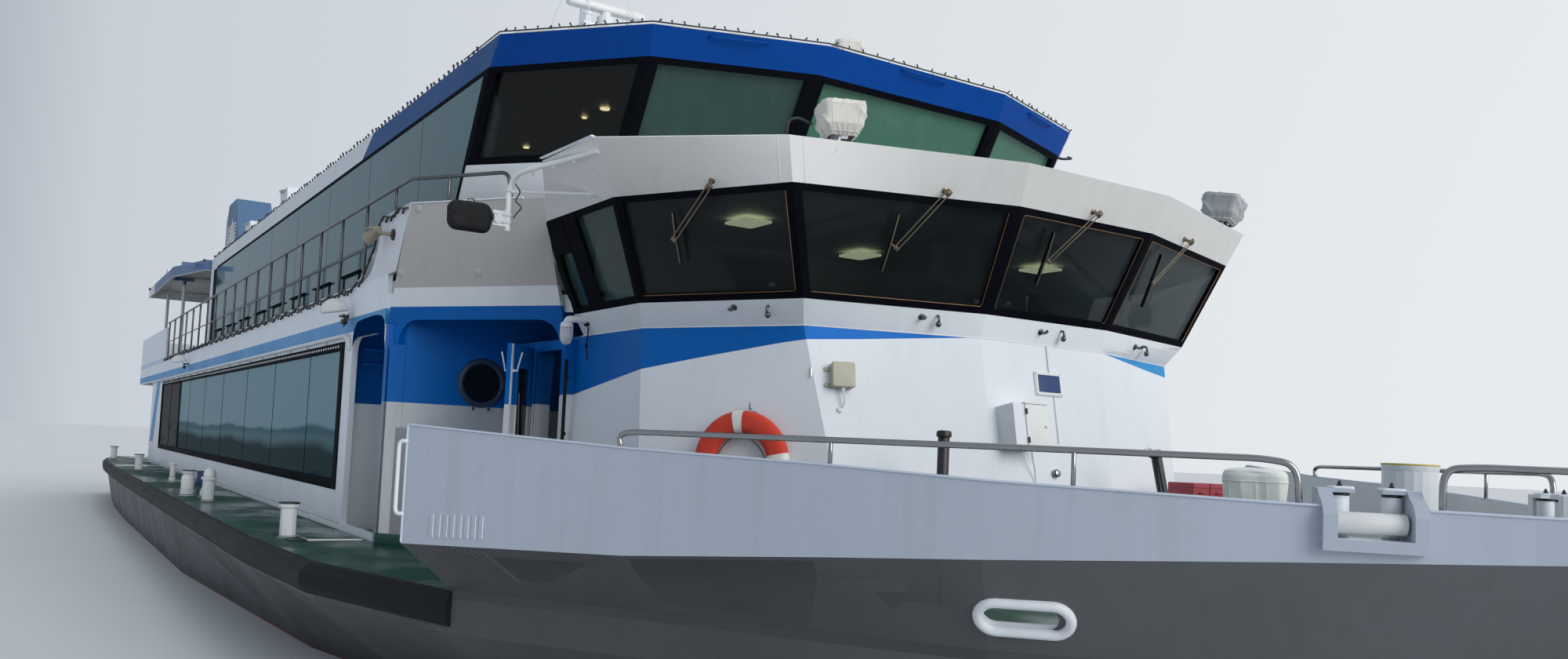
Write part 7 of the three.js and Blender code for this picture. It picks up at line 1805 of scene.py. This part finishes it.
def make_roof_gear():
    """Rolled rims and slats on the roof vents and funnels, lamps on the canopy, poles' feet."""
    shapes, slats = [], []
    for x, y in ((-4.3, -3.0), (-0.3, -3.05)):
        rim = lathe([(0.02, 6.10), (0.30, 6.105), (0.33, 6.115), (0.335, 6.13), (0.30, 6.145), (0.02, 6.16)], 32)
        shapes.append(placed(rim, (x, y, -0.03)))
    for z in np.arange(5.95, 6.35, 0.07):
        slats.append(side_bar(-6.85, -5.75, z, z + 0.035, 0.020, y=-3.281))
    put_pair("roof_vent_rims", joined(shapes), "beige", angle=50)
    put_pair("funnel_slats", joined(slats), "lamp_white", smooth=False)
    lens = [facing(lathe([(0.09, 0), (0.11, 0.012), (0.11, 0.03), (0.08, 0.04), (0.01, 0.042)], 28),
                   (-12.885, y, 5.93), (1, 0, -0.1)) for y in (-3.65, 3.65)]
    put("canopy_lamp_lenses", joined(lens), "cream", angle=45)
    feet = [placed(lathe([(0.09, 0), (0.09, 0.012), (0.05, 0.03)], 20), (x, y, 3.501))
            for x in (-14.9, -11.2) for y in (-3.6, 3.6)]
    put("canopy_feet", joined(feet), "white", angle=45)


def make_doors():
    """Windows, frames, dogs and handles of the doors, on their own bodies."""
    pane_frame = ring_loft(np.stack([np.concatenate([rounded_rectangle(w, h, r), np.full((20, 1), z)], -1)
                                     for w, h, r, z in ((0.285, 0.79, 0.05, 0.0), (0.330, 0.835, 0.070, 0.0),
                                                        (0.330, 0.835, 0.070, 0.010), (0.318, 0.823, 0.066, 0.014),
                                                        (0.295, 0.80, 0.055, 0.014), (0.285, 0.79, 0.05, 0.010))]))
    pane = pad(0.288, 0.793, 0.003, 0.05, 0.001)
    dog = joined([lathe([(0.016, 0), (0.016, 0.008), (0.009, 0.014), (0.008, 0.040)], 14),
                  tube([(0, 0, 0.036), (0.0, 0.055, 0.046), (0.0, 0.165, 0.075)], 0.0065, 8, 0.02)])
    lever = joined([pad(0.055, 0.17, 0.008, 0.01, 0.003), lathe([(0.014, 0.008), (0.012, 0.05)], 12),
                    tube([(0, 0, 0.05), (-0.13, 0, 0.052)], 0.010, 10)])

    def leaf(name, origin, out, width, low, high, hinge_side, wall="white", fit_dogs=False):
        for face, way in (("outer", 1.0), ("inner", -1.0)):
            direction = np.asarray(out) * way
            middle = np.array([*origin, low + 0.665 * (high - low)]) + direction * 0.0205
            place = standing(middle, direction)
            side = hinge_side * way
            put(f"{name}_pane_{face}", turned(pane, place), "porthole_glass", name)
            free = -place[1][0] * side
            grip = middle + free * (width / 2 - 0.075) + [0, 0, -0.42]
            parts = [turned(lever, (grip, place[1] * np.array([[-side], [-side], [1.0]])))]
            if fit_dogs:
                spot = middle + free * (width / 2 - 0.06)
                parts += [turned(dog, ((*spot[:2], z), place[1])) for z in (low + 0.22, high - 0.24)]
            put(f"{name}_frame_{face}", turned(pane_frame, place), wall, name, angle=45)
            put(f"{name}_fittings_{face}", joined(parts), "lamp_white", name, angle=45)
    for side, sign in SIDES:
        along, hinge = np.array([0.766, sign * 0.643]), np.array([10.3, sign * 2.812])
        spot, edge = hinge + along * 0.325, hinge + along * 0.6135
        channel = sweep([(*edge, 1.182), (*edge, 2.973)], rounded_rectangle(0.052, 0.046, 0.004, 2),
                        up=(0.643, -sign * 0.766, 0))
        put(f"tower_door_edge_{side}", channel, "white", f"tower_door_{side}", angle=40)
        leaf(f"tower_door_{side}", spot, (0.643, -sign * 0.766, 0), 0.62, 1.178, 2.977, -sign, "bulkhead", True)
        leaf(f"aft_door_{side}", (-14.126, sign * 0.85), (-1, 0, 0), 0.75, 1.178, 3.002, sign)
    leaf("lounge_door", (-7.526, 0.0), (-1, 0, 0), 0.80, 3.568, 5.392, 1.0)


def facet_skin(low, high, facets, lift=0.002, columns=16, rows=12):
    """Plating over neighbouring facets as one closed sheet: each facet's ruled surface on a grid, lifted off the
    node, its edge columns along the mean of the two facets' normals, with an inner copy behind it."""
    faces = [Facet(low, high, i) for i in facets]
    ups = np.linspace(0, 1, rows + 1)
    rings = []
    for k, face in enumerate(faces):
        for j, share in enumerate(np.linspace(0, 1, columns + 1)):
            if j == 0 and k:
                continue
            way = face.out
            if j == 0 or j == columns:
                beside = faces[k + 1] if j and k + 1 < len(faces) else face
                way = face.out + beside.out
                way = way / np.linalg.norm(way)
            outer = face.point(np.full(rows + 1, share), ups) + way * lift
            rings.append(np.concatenate([outer, outer[::-1] - way * (lift + 0.004)]))
    return loft(rings)


def make_skins():
    """Smooth plating over the tower's, the sill's, the visor's and the roof band's facets and over the straight
    pieces of the starboard and port bulwark, whose normals then run on round the curve."""
    put("tower_plating", facet_skin("base", "sill", range(1, 6)), "tower", angle=12)
    put("sill_plating", facet_skin("sill", "window_low", range(1, 6), 0.0015, 10, 4), "sill", angle=10)
    put("visor_plating", facet_skin("window_high", "visor", range(1, 6), 0.002, 14, 8), "visor", angle=12)
    put("roof_band_plating", facet_skin("lounge_head", "lounge_roof", range(1, 6), 0.002, 10, 4), "blue",
        angle=10)
    for name, finish, fore, upper in (("bulwark_upper_plating", "upper_white", 17.20, True),
                                      ("bulwark_lower_plating", "hull", 15.90, False)):
        xs = [x for x in BULWARK[:, 0] if x < fore - 0.1] + [fore]
        rings = []
        for x in xs:
            here = bulwark_at(x)[0]
            ways = [bulwark_at(min(max(x + s, 12.73), 18.5))[1] for s in (-0.01, 0.01)]
            along = ways[0] + ways[1]
            out = np.array([along[1], -along[0], 0.0]) / np.linalg.norm(along)
            foot = np.array([here[2], -here[3], DECK_Z])
            knuckle = np.array([x, -here[1], here[4]])
            top = np.array([x, -here[1], here[5]])
            if upper:
                a, b = knuckle + [0, 0, 0.001], top - [0, 0, 0.004]
            else:
                a, b = foot + [0, 0, 0.012], knuckle - [0, 0, 0.001]
            rings.append(np.array([a + out * 0.0018, b + out * 0.0018, b - out * 0.002, a - out * 0.002]))
        put_pair(name, loft(rings), finish, angle=60)


def facet_plate(facet, corners, out=0.003, thick=0.008):
    """A thin plate on a facet whose outline is given in shares across and up."""
    corners = np.asarray(corners, float)
    outer = facet.point(corners[:, 0], corners[:, 1], out)
    return loft([outer, outer - facet.out * thick])


# Add-on classes

def colour(name, description, default):
    return bpy.props.FloatVectorProperty(name=name, description=description, default=default, subtype="COLOR",
                                         size=3, min=0.0, max=1.0)


class BoatColours(bpy.types.PropertyGroup):
    white: colour("White", "Superstructure paint", (0.74, 0.775, 0.815))
    bulwark: colour("Bulwark white", "Outer face of the upper bulwark", (0.42, 0.47, 0.545))
    # Painted shade: the visor's white paint is given as the warm grey it shows in shade
    visor: colour("Visor", "Warm grey-white of the wheelhouse visor", (0.70, 0.695, 0.68))
    hull_grey: colour("Hull grey", "Hull and lower bulwark", (0.070, 0.075, 0.080))
    blue: colour("Blue", "Roof band", (0.004, 0.060, 0.300))
    beam_blue: colour("Beam blue", "Portal beams and the sweep on the tower", (0.0008, 0.118, 0.440))
    stripe: colour("Stripe blue", "Paler stripe along the sides", (0.055, 0.300, 0.640))
    # Painted shade: the corner panels' white paint as it looks in shade; the beige finish uses this colour too
    beige: colour("Beige", "Front corner panels", (0.47, 0.455, 0.44))
    deck_green: colour("Deck green", "Non-slip deck paint", (0.006, 0.056, 0.034))
    ceiling: colour("Ceiling", "Underside of the lounge roof", (0.30, 0.42, 0.36))
    # Painted reflection: the pale sky's colour on the saloon's mirror panes
    side_glass_painted_reflection: colour("Side glass", "Tint of the saloon's mirror panes", (0.170, 0.300, 0.350))
    lounge_glass: colour("Lounge glass", "Tint of the lounge's front panes", (0.070, 0.200, 0.140))
    bridge_glass: colour("Wheelhouse glass", "Tint of the wheelhouse's panes", (0.010, 0.014, 0.016))
    steel: colour("Steel", "Polished rails", (0.34, 0.34, 0.345))
    bronze: colour("Bronze", "Propellers", (0.48, 0.30, 0.12))
    canvas: colour("Canvas", "Weathered covers", (0.74, 0.71, 0.65))
    orange: colour("Orange", "Life ring", (0.62, 0.045, 0.018))


class BoatSizes(bpy.types.PropertyGroup):
    rail_radius: bpy.props.FloatProperty(name="Rail radius", description="Radius of the bow rail's tube",
                                         default=0.018, min=0.01, max=0.05, unit="LENGTH")


class BoatStage(bpy.types.PropertyGroup):
    eye: bpy.props.FloatVectorProperty(name="Eye", description="Camera place", default=(20.8, -6.832, 2.15),
                                       size=3, subtype="TRANSLATION")
    yaw: bpy.props.FloatProperty(name="Yaw", description="Turn of the view from aft to port",
                                 default=math.radians(33.0408), subtype="ANGLE")
    pitch: bpy.props.FloatProperty(name="Pitch", description="Rise of the view", default=math.radians(3.2909),
                                   subtype="ANGLE")
    roll: bpy.props.FloatProperty(name="Roll", description="Roll of the view", default=math.radians(2.595),
                                  subtype="ANGLE")
    lens: bpy.props.FloatProperty(name="Lens", description="Focal length on a 36 mm wide sensor", default=26.996,
                                  min=10, max=80)
    shift: bpy.props.FloatProperty(name="Shift", description="Upward shift of the frame", default=0.03317)
    sky: bpy.props.FloatProperty(name="Sky", description="Strength of the pale surroundings", default=1.0, min=0)
    key: bpy.props.FloatProperty(name="Key", description="Strength of the soft key light", default=1.75, min=0)


def operator(idname, label, text, action):
    """An operator class that runs one maker."""
    def execute(self, context):
        action()
        return {"FINISHED"}
    name = "BOAT_OT_" + idname
    return type(name, (bpy.types.Operator,), {"bl_idname": "boat." + idname, "bl_label": label, "__doc__": text,
                                              "execute": execute})


OPERATORS = [
    operator("stage", "Stage", "Floor, sky, light and camera", make_stage),
    operator("paint_frame", "Paint frame", "Finishes on the frame's own nodes", paint_frame),
    operator("skins", "Plating", "Smooth plating over the faceted walls and the bulwark", make_skins),
    operator("rails", "Rails", "Bow and promenade rails", make_rails),
    operator("bulwark_trim", "Bulwark trim", "Cap, handles, freeing ports and chocks", make_bulwark_trim),
    operator("bow_gear", "Bow gear", "Fairleads and bitt", make_bow_gear),
    operator("portals", "Portals", "Corner bosses, portholes, ledges and pipes", make_portals),
    operator("caged_lamp", "Caged lamps", "Lamps at the tower's corners", make_caged_lamp),
    operator("life_ring", "Life ring", "Ring with bands, line and hook", make_life_ring),
    operator("tower_fittings", "Tower fittings", "Boxes, sign, washers and posts", make_tower_fittings),
    operator("window_seals", "Window seals", "Seal lines and bolts of the wheelhouse windows", make_window_seals),
    operator("wipers", "Wipers", "Twin-arm wipers", make_wipers),
    operator("windlass", "Windlass cover", "Gathered cloth over the windlass", make_windlass_cloth),
    operator("searchlights", "Searchlight covers", "Cloth covers with seams, stands and straps",
             make_searchlight_covers),
    operator("mirrors", "Mirrors", "Padded covers, clamps and clips", make_mirrors),
    operator("saloon_windows", "Saloon windows", "Frames, joints, strip and gutter", make_saloon_windows),
    operator("deck_gear", "Deck gear", "Vents, box, bollard caps and treads", make_deck_gear),
    operator("side_lamps", "Side lamps", "Fascia lamps and floodlights", make_side_lamps),
    operator("string_lights", "String lights", "Clipped wires with bulbs and the roof's light tubes",
             make_string_lights),
    operator("lounge_trim", "Lounge trim", "Bench backs, sills, grips and ceiling lamps", make_lounge_trim),
    operator("visor_trim", "Visor trim", "Joints, latches and brim rails", make_visor_trim),
    operator("mast_gear", "Mast gear", "Stays, lamps, whips and the radar", make_mast_gear),
    operator("roof_gear", "Roof gear", "Vent rims, slats, lenses and feet", make_roof_gear),
    operator("doors", "Doors", "Panes, frames, dogs and levers", make_doors),
]


class BOAT_PT_panel(bpy.types.Panel):
    bl_label = "Sightseeing boat"
    bl_idname = "BOAT_PT_panel"
    bl_space_type = "VIEW_3D"
    bl_region_type = "UI"
    bl_category = "Boat"

    def draw(self, context):
        for group in (context.scene.boat_stage, context.scene.boat_colours, context.scene.boat_sizes):
            for key in group.__annotations__:
                self.layout.prop(group, key)
        for item in OPERATORS:
            self.layout.operator(item.bl_idname)


GROUPS = (("boat_colours", BoatColours), ("boat_sizes", BoatSizes), ("boat_stage", BoatStage))


def register():
    for item in (*[group for _, group in GROUPS], *OPERATORS, BOAT_PT_panel):
        bpy.utils.register_class(item)
    for name, group in GROUPS:
        setattr(bpy.types.Scene, name, bpy.props.PointerProperty(type=group))


def unregister():
    for name, _ in GROUPS:
        delattr(bpy.types.Scene, name)
    for item in (BOAT_PT_panel, *OPERATORS, *[group for _, group in GROUPS]):
        bpy.utils.unregister_class(item)


def main():
    """Runs every operator and writes the two boxes."""
    register()
    for item in OPERATORS:
        getattr(bpy.ops.boat, item.bl_idname.split(".")[1])()


if __name__ == "__main__":
    main()
